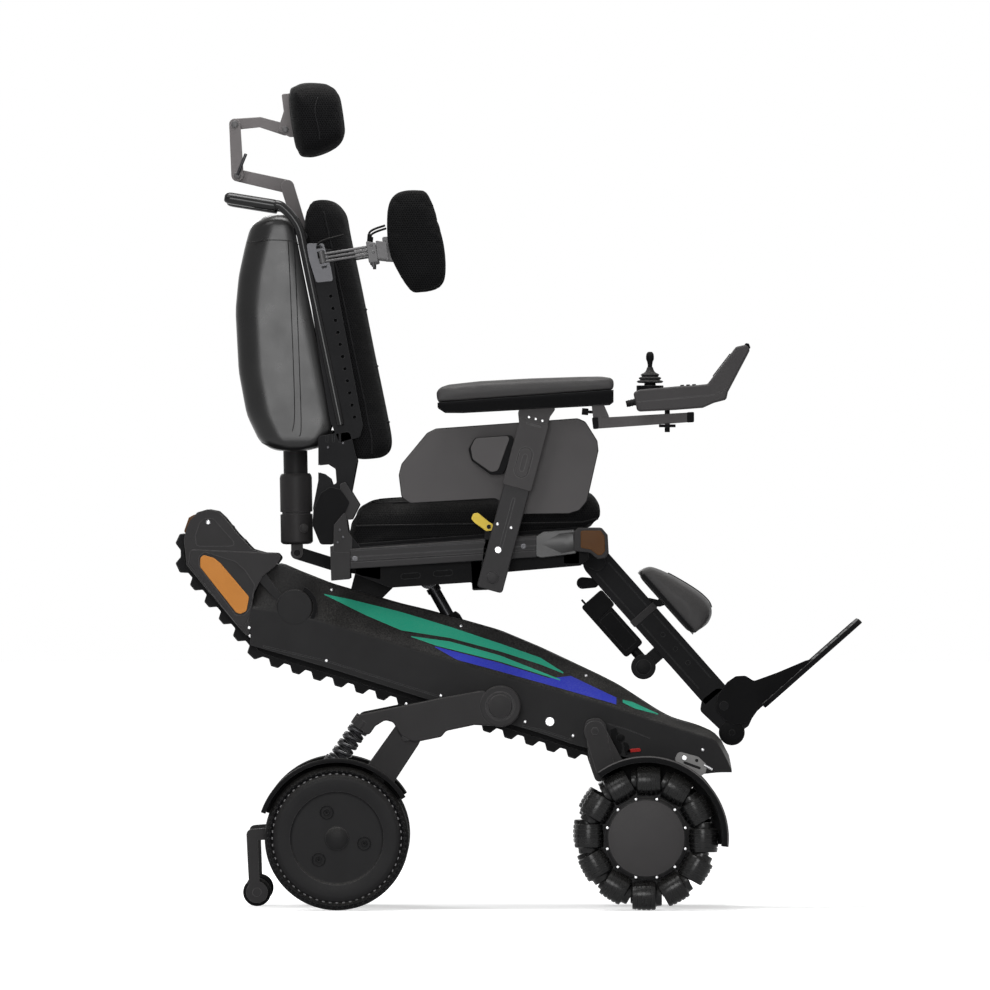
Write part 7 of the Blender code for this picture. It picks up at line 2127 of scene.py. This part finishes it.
def armrest_post():
    shape = plate(rounded(post_box(-24, 288, 24.5), 7), POST_IN, POST_OUT, 2.2, 3)
    slots = [plate(link(UP_POST(60, 0), 2.6, UP_POST(150, 0), 2.6), POST_OUT - 0.0014,
                   POST_OUT + 0.01, 0)]
    return cut(shape, pin(ARMREST, 9.3, RAIL_OUT, SLEEVE_OUT + 0.005, 0), *slots)


def armrest_sleeve():
    half = 24.5 + 0.4 + 2.7
    sleeve = plate(rounded(post_box(172, 300, half), 5), SLEEVE_IN, SLEEVE_OUT, 1.6, 3)
    neck = plate(rounded([(2, height_at(ARM_UNDER, 2) - 0.4), UP_POST(290, half - 1),
                          UP_POST(278, half - 1), UP_POST(278, 1 - half), (61, 912),
                          (74, height_at(ARM_UNDER, 74) - 0.4)], 6),
                 SLEEVE_IN + 0.0015, SLEEVE_OUT - 0.0015, 1.6, 3)
    room = plate(post_box(162, 294, 24.9), POST_IN - 0.0004, POST_OUT + 0.0004, 0)
    oval = link(UP_POST(205, 0), 14, UP_POST(236, 0), 14)
    button = plate(inset(oval, 2.2), SLEEVE_OUT - 0.0015, SLEEVE_OUT + 0.0008, 1.0)
    inner = plate(link(UP_POST(208, 0), 4.5, UP_POST(232, 0), 4.5), SLEEVE_OUT - 0.001,
                  SLEEVE_OUT + 0.002, 0)
    body = cut(joined(sleeve, neck), room, plate(oval, SLEEVE_OUT - 0.0016, SLEEVE_OUT + 0.01, 0),
               plate(link(UP_POST(292, -13), 1.3, UP_POST(292, 13), 1.3), SLEEVE_OUT - 0.0025,
                     SLEEVE_OUT + 0.01, 0))
    return merged(body, cut(button, inner))


def arm_catch():
    """The housing of the side catch, under its lighter push plate."""
    outline = rounded([(-90, 853), (-78, 874), (-8, 879), (-2, 860), (-24, 806), (-48, 805),
                       (-84, 831)], 11)
    return plate(outline, SLEEVE_IN + 0.001, SLEEVE_OUT - 0.005, 2.4, 3)


def catch_plate():
    outline = rounded([(-86, 855), (-77, 873), (-17, 877), (-14, 872), (-35, 813), (-48, 810),
                       (-82, 834)], 10)
    return plate(outline, SLEEVE_OUT - 0.006, SLEEVE_OUT - 0.0028, 1.4, 3)


ARM_CREASE = [(-148, 937), (179.5, 961)]


def armrest_under():
    """The moulded tray under an armrest pad, drawn in towards its foot."""
    sections = []
    for y, depth in ((-30.4, 0.12), (-29.8, 0.3), (-23.0, 1.0), (23.0, 1.0), (29.8, 0.3),
                     (30.4, 0.12)):
        loop = [(-147, 1.0), (-147, 0.55), (-134, 0.1), (-100, 0.0), (60, 0.0), (174, 0.0),
                (178.5, 0.12), (178.5, 1.0)]
        section = []
        for x, share in loop:
            top = height_at(ARM_CREASE, x) + 1.5
            low = top + (max(height_at(ARM_UNDER, x), 918.5) - top) * depth
            section.append((x * MM, y * MM - POST_MIDDLE, (low + (top - low) * share) * MM))
        sections.append(section)
    return skin(sections)


ARM_PAD = [(-148, 939), (60, 954), (179, 963), (179, 979), (174, 985), (117, 984), (24, 981),
           (-68, 976), (-141, 968), (-148, 961)]


def side_guard():
    outline = rounded([(-218, 805), (-213, 825), (-166, 882), (-150, 890), (112, 909), (126, 903),
                       (148, 868), (150, 850), (129, 757), (115, 740), (96, 734), (11, 733),
                       (-41, 762), (-198, 753), (-213, 764)], 12, 7)
    return plate(outline, GUARD_IN, GUARD_OUT, 1.4, 3)


def guard_rim():
    """The dark rubber edging round a side guard."""
    outline = rounded([(-218, 805), (-213, 825), (-166, 882), (-150, 890), (112, 909), (126, 903),
                       (148, 868), (150, 850), (129, 757), (115, 740), (96, 734), (11, 733),
                       (-41, 762), (-198, 753), (-213, 764)], 12, 7)
    y = -(GUARD_IN + GUARD_OUT) / 2
    return ring_tube([(x * MM, y, z * MM) for x, z in inset(outline, 0.6)], 0.0016, 8)


def control_arm():
    top = height_at(ARM_UNDER, 138) - 0.4
    bracket = plate(rounded([(138, top), (161, top + 1), (170, 914), (172, 902), (142, 900)], 3),
                    POST_MIDDLE - 0.008, POST_MIDDLE + 0.008, 1.0)
    rail = plate(rounded([(139, 910), (327, 921), (327, 903), (142, 890)], 3),
                 POST_MIDDLE - 0.010, POST_MIDDLE + 0.010, 1.6, 3)
    x = CONTROL_HEAD[0] * MM
    hole = rod((x, -POST_MIDDLE, 0.870), (x, -POST_MIDDLE, 0.940), 0.0056, 24, edge=0)
    return cut(joined(rail, bracket), hole)


def control_ends():
    """Black end caps and clamp knobs of the control's bar."""
    caps = [plate(rounded([(138.4, 911), (150, 912), (152, 890.4), (141, 889.4)], 3),
                  POST_MIDDLE - 0.0105, POST_MIDDLE + 0.0105, 1.4),
            plate(rounded([(314, 921), (327.6, 921.6), (327.6, 902.4), (314, 901.6)], 3),
                  POST_MIDDLE - 0.0105, POST_MIDDLE + 0.0105, 1.4)]
    stem = rod((0.131, -POST_MIDDLE, 0.9215), (0.146, -POST_MIDDLE, 0.921), 0.0028, 16)
    knob = rod((0.120, -POST_MIDDLE, 0.9225), (0.132, -POST_MIDDLE, 0.9215), 0.0062, 24)
    return merged(*caps, stem, knob)


def joystick_case():
    """The hand control's casing, in two halves that meet along its crease."""
    outline = [(215, 958), (222, 925), (227, 922), (292, 925), (344, 929), (364, 938),
               (387, 944), (390, 958), (431, 1036), (424, 1046), (405, 1042), (352, 973),
               (331, 971), (298, 969), (228, 963)]
    form = plate(rounded(outline, 7, 6), POST_MIDDLE - 0.032, POST_MIDDLE + 0.032, 4.5, 5)
    socket = ball(STICK_BALL, 0.0118)
    crease = [(210, 945.2), (224, 940.4), (365, 953.6), (392, 968), (396, 967), (367, 952.2),
              (224, 939.2), (210, 944)]
    lines = [slab(crease, -POST_MIDDLE - 0.04, -POST_MIDDLE - 0.0313, 0),
             slab(crease, -POST_MIDDLE + 0.0313, -POST_MIDDLE + 0.04, 0)]
    return cut(form, socket, *lines)


def joystick_trim():
    """The collar round the boot, the display frame, three buttons, the plug and the wing nut."""
    y = -POST_MIDDLE
    collar = cut(rod((0.246, y, 0.958), (0.246, y, 0.9705), 0.025, 48),
                 ball(STICK_BALL, 0.0118))
    x = CONTROL_HEAD[0] * MM
    stem = rod((x, y, 0.935), (x, y, 0.884), 0.0048, 24)
    wing = rod((x, y, 0.8985), (x, y, 0.893), 0.016, 6)
    plug = rod((0.232, y, 0.943), (0.202, y, 0.936), 0.006, 28)
    rings = [rod((0.2065 + 0.005 * k, y, 0.9370 + 0.00117 * k),
                 (0.2085 + 0.005 * k, y, 0.93747 + 0.00117 * k), 0.0067, 28) for k in range(3)]
    place = tilted((352, 973), heading_of((352, 973), (405, 1042)))
    screen = slab(rounded(box_along(place, 18, 70, -0.5, 1.6), 0.8), y - 0.022, y + 0.022, 0.8)
    buttons = []
    flat = tilted((298, 969), heading_of((298, 969), (331, 971)))
    for k in range(3):
        buttons.append(slab(rounded(box_along(flat, 4 + 11 * k, 11 + 11 * k, -1, 2.2), 1), y - 0.014,
                            y - 0.006, 0.6))
        buttons.append(slab(rounded(box_along(flat, 4 + 11 * k, 11 + 11 * k, -1, 2.2), 1), y + 0.006,
                            y + 0.014, 0.6))
    bump = slab(rounded([(417, 1040), (423, 1049), (429, 1048), (432, 1040), (426, 1034)], 2.5),
                y - 0.012, y + 0.012, 1.0)
    return merged(collar, stem, wing, plug, *rings, screen, *buttons, bump)


def stick():
    y = -POST_MIDDLE
    return merged(ball(STICK_BALL, 0.011),
                  turned_up((STICK[0], y, STICK[1]), [(0, 20), (5, 22), (4.6, 30), (4.2, 38), (5.2, 44),
                                            (7.2, 49), (7.4, 54), (6.6, 59), (4, 62.5), (0, 63)]))


def boot():
    y = -POST_MIDDLE
    return turned_up((STICK[0], y, STICK[1]), [
        (0, 4), (21, 5), (24, 6.5), (24.5, 8), (22.5, 9.6), (19, 10.2), (18.4, 11.4), (20.6, 13),
        (20.8, 14.4), (19, 15.8), (15.6, 16.6), (15.2, 17.6), (17, 19.2), (17.2, 20.6),
        (15, 22.2), (11, 24), (8, 27), (6.2, 31), (5.6, 34), (0, 34)])


def turned_up(origin, profile, sides=40):
    """A solid turned about an upright axis, from (radius, height) pairs in millimetres."""
    form = turned((0, 0), [(r, -h) for r, h in profile], sides)
    form.transform(Matrix.Rotation(-math.pi / 2, 4, "X"))
    form.transform(Matrix.Translation((origin[0] * MM, origin[1], origin[2] * MM)))
    return form


# Leg rest: column, ram, calf pad and footplate

LEG_SLOPE = math.radians(-48.4)
DOWN_LEG = tilted(LEGREST, LEG_SLOPE)


def leg_box(start, end, rear, front):
    return box_along(DOWN_LEG, start, end, rear, front)


def leg_upper():
    tube_form = joined(slab(link(LEGREST, 27, DOWN_LEG(60), 27, 20), -0.030, 0.030, 1.6, 3),
                       slab(leg_box(50, 135, -27, 27), -0.030, 0.030, 1.6, 3))
    grooves = []
    for side in (-1, 1):
        for n in (-15.5, 14.5):
            y = side * 0.030
            grooves.append(slab(leg_box(14, 124, n, n + 1.6), y - 0.0012, y + 0.0012, 0))
    inside = slab(leg_box(28, 145, -21.4, 21.4), -0.025, 0.025, 0)
    root = DOWN_LEG(119, 23)
    ears = [slab(link(CALF_HINGE, 6, root, 8), y, y + 0.005, 0.5) for y in (-0.013, 0.008)]
    hinge = slab(disc(CALF_HINGE, 3, 24), -0.010, 0.010)
    return merged(cut(tube_form, inside, slab(disc(LEGREST, 7.3, 36), -0.04, 0.04, 0), *grooves),
                  *ears, hinge)


def leg_band():
    """The clamp band round the mouth of the upper column."""
    outer = slab(rounded(leg_box(123, 136, -28.5, 28.5), 2), -0.0315, 0.0315, 1.0)
    return cut(outer, slab(leg_box(110, 150, -26.9, 26.9), -0.0299, 0.0299, 0))


def leg_lower():
    tube_form = slab(leg_box(135.4, 332, -26.5, 26.5), -0.030, 0.030, 1.6, 3)
    cuts = []
    for side in (-1, 1):
        y = side * 0.030
        for n in (-15.5, 14.5):
            cuts.append(slab(leg_box(140, 300, n, n + 1.6), y - 0.0012, y + 0.0012, 0))
        for t in (181, 216, 251):
            cuts.append(slab(disc(DOWN_LEG(t, 2), 4.2, 24), y - 0.003, y + 0.003, 0))
    tongue = slab(leg_box(34, 155, -21, 21), -0.0246, 0.0246, 0.8)
    foot = slab(rounded(moved([(-40, 14), (-14, 34), (12, 32), (58, -12), (46, -38), (20, -56),
                               (-6, -46), (-44, -10)], FOOT_HINGE), 10), -0.030, 0.030, 2.0, 3)
    knuckle = slab(disc(DOWN_LEG(202, -65), 23, 48), -0.022, 0.022, 1.8, 3)
    cap = turned(DOWN_LEG(202, -65), [(0, -24), (11, -24), (14, -23), (14, -21), (0, -21)], 36)
    bridge = slab(leg_box(188, 214, -60, -23), -0.010, 0.010, 0.8)
    pivot = slab(disc(FOOT_HINGE, 8, 40), -0.037, 0.037)
    return merged(cut(tube_form, *cuts), tongue, foot, knuckle, cap, bridge, pivot,
                  bar(DOWN_LEG, 66, 192, 9, 0.0, -57, 32))


def leg_bumper():
    centre = (FOOT_HINGE[0] + 15, FOOT_HINGE[1] - 50)
    half = [(0, 34), (5, 34), (6, 33), (20, 33), (22.6, 31.6), (24, 28), (24, 8), (23, 7)]
    return turned(centre, half + [(r, -y) for r, y in reversed(half)], 56)


def leg_motor():
    motor = slab(rounded(leg_box(42, 80, -78, -27.4), 6), -0.024, 0.024, 2.0, 3)
    barrel = slab(rounded(leg_box(70, 168, -78, -35), 7), -0.021, 0.021, 3.0, 4)
    cover = slab(rounded(leg_box(84, 158, -70, -42), 4), -0.0222, 0.0222, 0.8)
    bore = bar(DOWN_LEG, 60, 180, 9.4, 0.0, -57, 32)
    hook = slab(rounded(leg_box(32, 44, -70, -66), 1.5), -0.004, 0.004, 0.6)
    lug = slab(link(DOWN_LEG(10, -46), 11, DOWN_LEG(24, -30), 9), -0.009, 0.009, 1.0)
    return merged(cut(joined(motor, barrel, cover, hook), bore), lug)


CALF = [(67, 45), (64, 54), (68, 63), (80, 71), (110, 84), (150, 97), (178, 103), (200, 102),
        (213, 93), (220, 76), (221, 58), (217, 46)]


def calf_shell():
    """The moulded back of the calf pad and its hinge eye."""
    sections = []
    for k in range(31):
        share = k / 15 - 1
        bow = 1 - abs(share) ** 3.2
        points = [(64 + 6 * (1 - bow), 43.6), (66 + 6 * (1 - bow), 51), (214 - 6 * (1 - bow), 51),
                  (218 - 6 * (1 - bow), 43.6)]
        sections.append([(p[0] * MM, share * 0.1485, p[1] * MM)
                         for p in (DOWN_LEG(t, n) for t, n in points)])
    eye = slab(link(CALF_HINGE, 6, DOWN_LEG(134, 50), 11), -0.0075, 0.0075, 0.6)
    return cut(joined(skin(sections), eye), slab(disc(CALF_HINGE, 3.4, 24), -0.02, 0.02, 0))


def footplate():
    half = 0.030
    cheeks = []
    for y in (half + 0.0005, -half - 0.0065):
        cheeks.append(slab(rounded(moved([
            (-12, 18), (6, 44), (22, 55), (40, 56), (56, 46), (100, 62), (152, 84), (170, 88),
            (62, -10), (48, -30), (20, -36), (0, -26), (-14, -8)], FOOT_HINGE), 9), y,
            y + 0.006, 1.0))
    spine = slab(rounded(moved([(74, 2), (80, 44), (113, 68), (155, 85), (168, 84)], FOOT_HINGE),
                         4), -half - 0.002, half + 0.002, 1.0)
    return cut(joined(spine, *cheeks), slab(disc(FOOT_HINGE, 8.3, 40), -0.05, 0.05, 0))


def tread():
    """The foot's plate: raised rim and recessed floor, with the place and length that its rows of small
    studs are set by.
    """
    start, end = moved([(73, 0.5), (252, 158.5)], FOOT_HINGE)
    place = tilted(start, heading_of(start, end))
    length = math.dist(start, end)
    sections = []
    for k in range(49):
        share = 2 * k / 48 - 1
        edge = 1 - abs(share)
        trim = 22 * (1 - math.sqrt(max(0.0, 1 - (1 - min(1.0, edge / 0.12)) ** 2)))
        points = [(trim, -4.6), (length - trim, -4.6), (length + 0.6 - trim, -3), (length - trim, 4.4),
                  (length - 4 - trim, 4.6), (trim + 4, 4.6), (trim, 4.4), (trim - 0.6, -3)]
        sections.append([(p[0] * MM, share * 0.165, p[1] * MM)
                         for p in (place(t, n) for t, n in points)])
    body = skin(sections)
    floor = slab([place(12, 3.0), place(length - 12, 3.0), place(length - 12, 9), place(12, 9)],
                 -0.150, 0.150, 0)
    return cut(body, floor), place, length


def stud_item():
    return turned((0, 0), [(0, 1), (3.4, 1), (3.4, -0.7), (2.8, -1.2), (0, -1.3)], 10)


def sewn_line(shape, path, radius=0.0016, closed=True):
    """A piping cord laid along a path on a cushion."""
    spots = laid_on(shape, path)
    return ring_tube(spots, radius) if closed else tube(spots, radius, 10)


def level_loop(half_x, half_y, centre, z, corner=0.03, steps=6):
    """A rounded rectangle seen from above, in metres."""
    loop = []
    for sx, sy, start in ((1, 1, 0), (-1, 1, 90), (-1, -1, 180), (1, -1, 270)):
        for k in range(steps + 1):
            a = math.radians(start + 90 * k / steps)
            loop.append((centre + sx * (half_x - corner) + corner * math.cos(a),
                         sy * (half_y - corner) + corner * math.sin(a), z))
    return loop


def place_seat():
    add("seat_pan", seat_pan(), "seat", "satin_paint", "seat_frame")
    add_pair("seat_rail", seat_rail(), "seat", "dark_anodised")
    add_pair("seat_brackets", seat_ears(), "seat", "satin_paint")
    add_pair("seat_skirt", seat_skirt(), "seat", "black_moulding")
    cover, holder = hinge_cover()
    add_pair("hinge_cover", cover, "seat", "black_moulding")
    add_pair("rail_end", holder, "seat", "grey_moulding")
    bolts = side_places([(-328, 703), (-322, 690), (-332, 680)], SEAT_EAR_OUT + 0.0083)
    add_pair("rail_end_bolts", set_on(bolts, SCREW, "dark_steel", 0.5), "seat", "dark_steel")
    base = [(x, seat_top(x) + up) for x, up in ((-300, -0.5), (116, -0.5), (122, 7), (-302, 7))]
    add("cushion_base", slab(base, -0.2005, 0.2005, 1.0), "seat", "piping_cloth")
    add_pair("front_fitting", front_fitting(), "seat", "shell_skin")
    add_pair("lamp_housing", lamp_housing(), "seat", "grey_moulding")
    lens = plate(rounded([(118, 702), (155, 702), (162, 692), (163, 664), (157, 657), (150, 656),
                          (136, 667), (118, 670)], 4), RAIL_OUT - 0.001, RAIL_OUT + 0.0022, 1.4, 3)
    add_pair("marker_lens", lens, "seat", "lamp_amber")
    bolts = side_places([(LEVER[0], LEVER[1]), (-300, 650), (12, 673)], RAIL_OUT - 0.0002)
    add_pair("rail_bolts", set_on(bolts, BOLT, "dark_steel", 0.62), "seat", "dark_steel")
    add("release_handle", release_lever(), "lever", "lever_yellow", "release_lever")
    add("lift_barrel", lift_body(), "lift_body", "black_moulding", "seat_actuator_body")
    add("lift_piston", lift_rod(), "lift_rod", "dark_steel", "seat_actuator_rod")
    form = puffed(seat_cushion(), 0.006, 0.004,
                  lambda x, y, z: z < seat_top(x / MM) * MM + 0.006)
    add_soft("seat_cushion_cover", form, "seat", "mesh_cloth", 0.62, "seat_cushion")
    upper = level_loop(0.198, 0.187, -0.083, 0.80, 0.05, 10)
    lower = level_loop(0.222, 0.24, -0.076, 0.716, 0.04, 10)
    cords = [sewn_line(form, upper)]
    rim = [((x - (-0.076)) * 1.05 - 0.076, y * 1.05, z) for x, y, z in lower]
    cords.append(sewn_line(form, rim))
    for y in (-0.095, 0.095):
        path = [(x * MM, y, 0.80) for x in range(-262, 100, 12)]
        cords.append(sewn_line(form, path, 0.0012, False))
    add("seat_piping", merged(*cords), "seat", "piping_cloth")


def place_back():
    add("back_cross_bars", back_cross(), "back", "satin_paint", "back_frame")
    add("head_root", head_root(), "back", "link_grey")
    add_pair("push_cane", cane(), "back", "gloss_black")
    add_pair("push_grip", grip(), "back", "gloss_black")
    add_pair("back_bracket", back_side(), "back", "satin_paint")
    add_pair("support_knuckle", support_knuckle(), "back", "dark_steel")
    casing, seams = back_shell()
    add("back_casing", casing, "back", "shell_skin", "back_shell")
    add("casing_seams", seams, "back", "black_moulding")
    form = puffed(back_cushion(), 0.006, 0.004,
                  lambda x, y, z: x < -0.373 - (z - 0.886) * 0.23 + 0.008)
    add_soft("back_cushion_cover", form, "back", "mesh_cloth", 0.6, "back_cushion")
    cords = []
    for across in (-0.199, 0.199):
        path = smooth_path([((RECLINE[0] + x) * MM, across * 1.1, (RECLINE[1] + z) * MM)
                            for x, z in ((84, 100), (72, 189), (50, 300), (28, 411), (8, 505),
                                         (-6, 560))], 8)
        cords.append(sewn_line(form, path, 0.0015, False))
    for rise in (175, 280, 385, 480):
        front = height_at([(96, 110), (189, 86), (300, 66), (411, 44), (510, 26)], rise)
        path = [((RECLINE[0] + front + 60) * MM, y, (RECLINE[1] + rise) * MM)
                for y in np.linspace(-0.165, 0.165, 30)]
        cords.append(sewn_line(form, path, 0.0012, False))
    add("back_piping", merged(*cords), "back", "piping_cloth")
    add("recline_barrel", strut_body(), "strut_body", "arm_grey", "recline_actuator_body")
    add("recline_piston", strut_rod(), "strut_rod", "grey_moulding", "recline_actuator_rod")
    bolts = side_places(moved([(0, 120), (28, 128), (18, 40), (-10, 30)], RECLINE),
                        BACK_PLATE_OUT - 0.0007)
    add_pair("back_bolts", set_on(bolts, SCREW, "dark_steel", 0.6), "back", "dark_steel")


def place_head():
    add("head_link_low", head_low(), "head_low", "link_grey", "headrest_lower_link")
    add("head_link_middle", head_mid(), "head_mid", "link_grey", "headrest_middle_link")
    add("head_link_high", head_high(), "head_high", "link_grey", "headrest_upper_link")
    add("head_bracket", head_plate(), "head", "link_grey")
    for name, body, pivots in (("middle", "head_mid", [HEAD_B]),
                               ("high", "head_high", [HEAD_C, HEAD_D])):
        forms = []
        for centre in pivots:
            forms.append(slab(disc(centre, 6.5, 36), 0.0143, 0.0172, 0.8))
            forms.append(slab(disc(centre, 3.6, 6), 0.0165, 0.0185, 0.4))
            forms.append(turned(centre, [(0, -8.6), (4.6, -8.6), (6.4, -7.8), (6.6, -6.6),
                                         (6.6, -5.4), (0, -5.4)], 32))
        add(f"head_bolts_{name}", merged(*forms), body, "grey_anodised")
    x, z = moved([(0, 0)], HEAD_B)[0]
    lever = tube(smooth_path([(x * MM, -0.0075, z * MM), ((x + 7) * MM, -0.010, (z + 18) * MM),
                              ((x + 16) * MM, -0.011, (z + 40) * MM)], 8), 0.003, 14)
    add("head_clamp_lever", lever, "head_mid", "dark_steel")
    outline = smooth_outline(moved(HEAD_PAD, HEAD_D), 4)
    sections = []
    for share in (-1, -0.985, -0.95, -0.88, -0.72, -0.4, 0, 0.4, 0.72, 0.88, 0.95, 0.985, 1):
        full = 0.5 + 0.5 * (1 - abs(share) ** 6) ** 0.5
        bend = 12 * abs(share) ** 2.5
        middle_x, middle_z = HEAD_D[0] + 66, HEAD_D[1] + 16
        sections.append([((middle_x - 8 + (x - middle_x) * full + bend * 0.4) * MM,
                          share * 0.120,
                          (middle_z + (z - middle_z) * full) * MM) for x, z in outline])
    form = puffed(skin(sections), 0.004, 0.0015)
    add_soft("head_pad", form, "head", "mesh_cloth", 0.6, "headrest_pad")
    cords = []
    for side in (-1, 1):
        path = smooth_path([((HEAD_D[0] + x) * MM, side * 0.2, (HEAD_D[1] + z) * MM)
                            for x, z in ((62, 78), (56, 40), (62, 0), (70, -36))], 10)
        cords.append(sewn_line(form, path, 0.0013, False))
    add("head_piping", merged(*cords), "head", "piping_cloth")


def place_supports():
    add_pair("support_bars", support_metal(), "support_", "grey_anodised", "lateral_support")
    add_pair("support_levers", support_levers(), "support_", "black_moulding")
    outline = smooth_outline(moved(SIDE_PAD, RECLINE), 3)
    form = pad_between(outline, -0.196, -0.222, 9, 2.0)
    soft = puffed(form, 0.004, 0.004)
    for side, shape in zip(SIDES, (soft, mirrored(soft))):
        add_soft(f"support_pad_{side}", shape, f"support_{side}", "mesh_cloth", 0.7)


def place_arms():
    add_pair("arm_post", armrest_post(), "post_", "dark_anodised", "armrest_post")
    add_pair("arm_pivot_cap", turned(ARMREST, [(0, -266.2), (9, -266.2), (10.5, -265.6),
                                               (11, -264.4), (11, -262.2), (0, -262.2)], 40),
             "post_", "dark_anodised")
    bolts = side_places([UP_POST(52, 3.5)], POST_OUT - 0.0004)
    add_pair("arm_post_bolt", set_on(bolts, BOLT, "bright_steel", 0.72), "post_", "bright_steel")
    add_pair("arm_sleeve", armrest_sleeve(), "armrest_", "arm_grey", "armrest_sleeve")
    add_pair("arm_catch", arm_catch(), "armrest_", "black_moulding")
    add_pair("catch_button", catch_plate(), "armrest_", "light_moulding")
    add_pair("arm_tray", armrest_under(), "armrest_", "black_moulding")
    bolts = side_places([UP_POST(304, -14), UP_POST(304, -1), UP_POST(304, 12)],
                        SLEEVE_OUT - 0.0019)
    add_pair("sleeve_bolts", set_on(bolts, SCREW, "bright_steel", 0.55), "armrest_",
             "bright_steel")
    bolts = side_places([UP_POST(98, 17), UP_POST(98, -9)], POST_OUT - 0.0004)
    add_pair("post_bolts", set_on(bolts, SCREW, "bright_steel", 0.6), "post_", "bright_steel")
    outline = rounded(ARM_PAD, 5)
    soft = puffed(pad_between(outline, -POST_MIDDLE - 0.0305, -POST_MIDDLE + 0.0305, 7, 0.0),
                  0.004, 0.0025, lambda x, y, z: z < 0.957 + 0.072 * x)
    for side, shape in zip(SIDES, (soft, mirrored(soft))):
        add_soft(f"arm_pad_{side}", shape, f"armrest_{side}", "pad_skin", 0.7,
                 f"armrest_pad_{side}")
    add_pair("guard_panel", side_guard(), "armrest_", "light_moulding", "side_guard")
    add_pair("guard_edging", guard_rim(), "armrest_", "black_moulding")


def place_control():
    add("control_rail", control_arm(), "control", "light_moulding", "control_arm")
    add("control_ends", control_ends(), "control", "black_moulding")
    add("control_case", joystick_case(), "hand_control", "arm_grey", "joystick_housing")
    add("control_trim", joystick_trim(), "hand_control", "black_moulding")
    add("stick_core", stick(), "stick", "black_moulding", "joystick")
    add("stick_boot", boot(), ("hand_control", "stick", (0.246, -POST_MIDDLE, 0.979),
                               (0.246, -POST_MIDDLE, 1.004)), "belt_rubber")


def place_leg_rest():
    add("column_upper", leg_upper(), "leg_rest", "satin_paint", "legrest_upper")
    add("column_band", leg_band(), "leg_rest", "grey_moulding")
    add("leg_motor", leg_motor(), "leg_rest", "black_moulding", "legrest_actuator")
    add("column_lower", leg_lower(), "leg_slider", "satin_paint", "legrest_lower")
    add("foot_bumper", leg_bumper(), "leg_slider", "black_moulding")
    add("calf_board", calf_shell(), "calf", "black_moulding", "calf_pad")
    sections = []
    for share in (-1, -0.985, -0.95, -0.88, -0.72, -0.4, 0, 0.4, 0.72, 0.88, 0.95, 0.985, 1):
        full = 0.45 + 0.55 * (1 - abs(share) ** 7) ** 0.5
        sections.append([(x * MM, share * 0.1455, z * MM) for x, z in (
            DOWN_LEG(141 + (t - 141) * (0.93 + 0.07 * full), 45 + (n - 45) * full)
            for t, n in smooth_outline(CALF + [(215, 45), (68, 44.5)], 3))])
    form = puffed(skin(sections), 0.005, 0.004)
    add_soft("calf_cushion", form, "calf", "pad_skin", 0.6)
    cords = []
    for share in (-0.45, 0.0, 0.45):
        path = [(x * MM, share * 0.1455, z * MM)
                for x, z in (DOWN_LEG(t, 110) for t in range(92, 208, 5))]
        cords.append(sewn_line(form, path, 0.0012, False))
    add("calf_seams", merged(*cords), "calf", "piping_cloth")
    add("foot_bracket", footplate(), "foot", "black_moulding", "footplate")
    board, place, length = tread()
    add("foot_board", board, "foot", "black_moulding")
    studs = []
    way = Vector((place(0, 1)[0] - place(0, 0)[0], 0, place(0, 1)[1] - place(0, 0)[1]))
    for k in range(9):
        for m in range(-6, 7):
            x, z = place(24 + (length - 48) * k / 8, 3.0)
            studs.append(((x * MM, 0.0225 * m, z * MM), way))
    add("foot_studs", set_on(studs, stud_item(), "belt_rubber"), "foot", "belt_rubber")


place_seat()
place_back()
place_head()
place_supports()
place_arms()
place_control()
place_leg_rest()
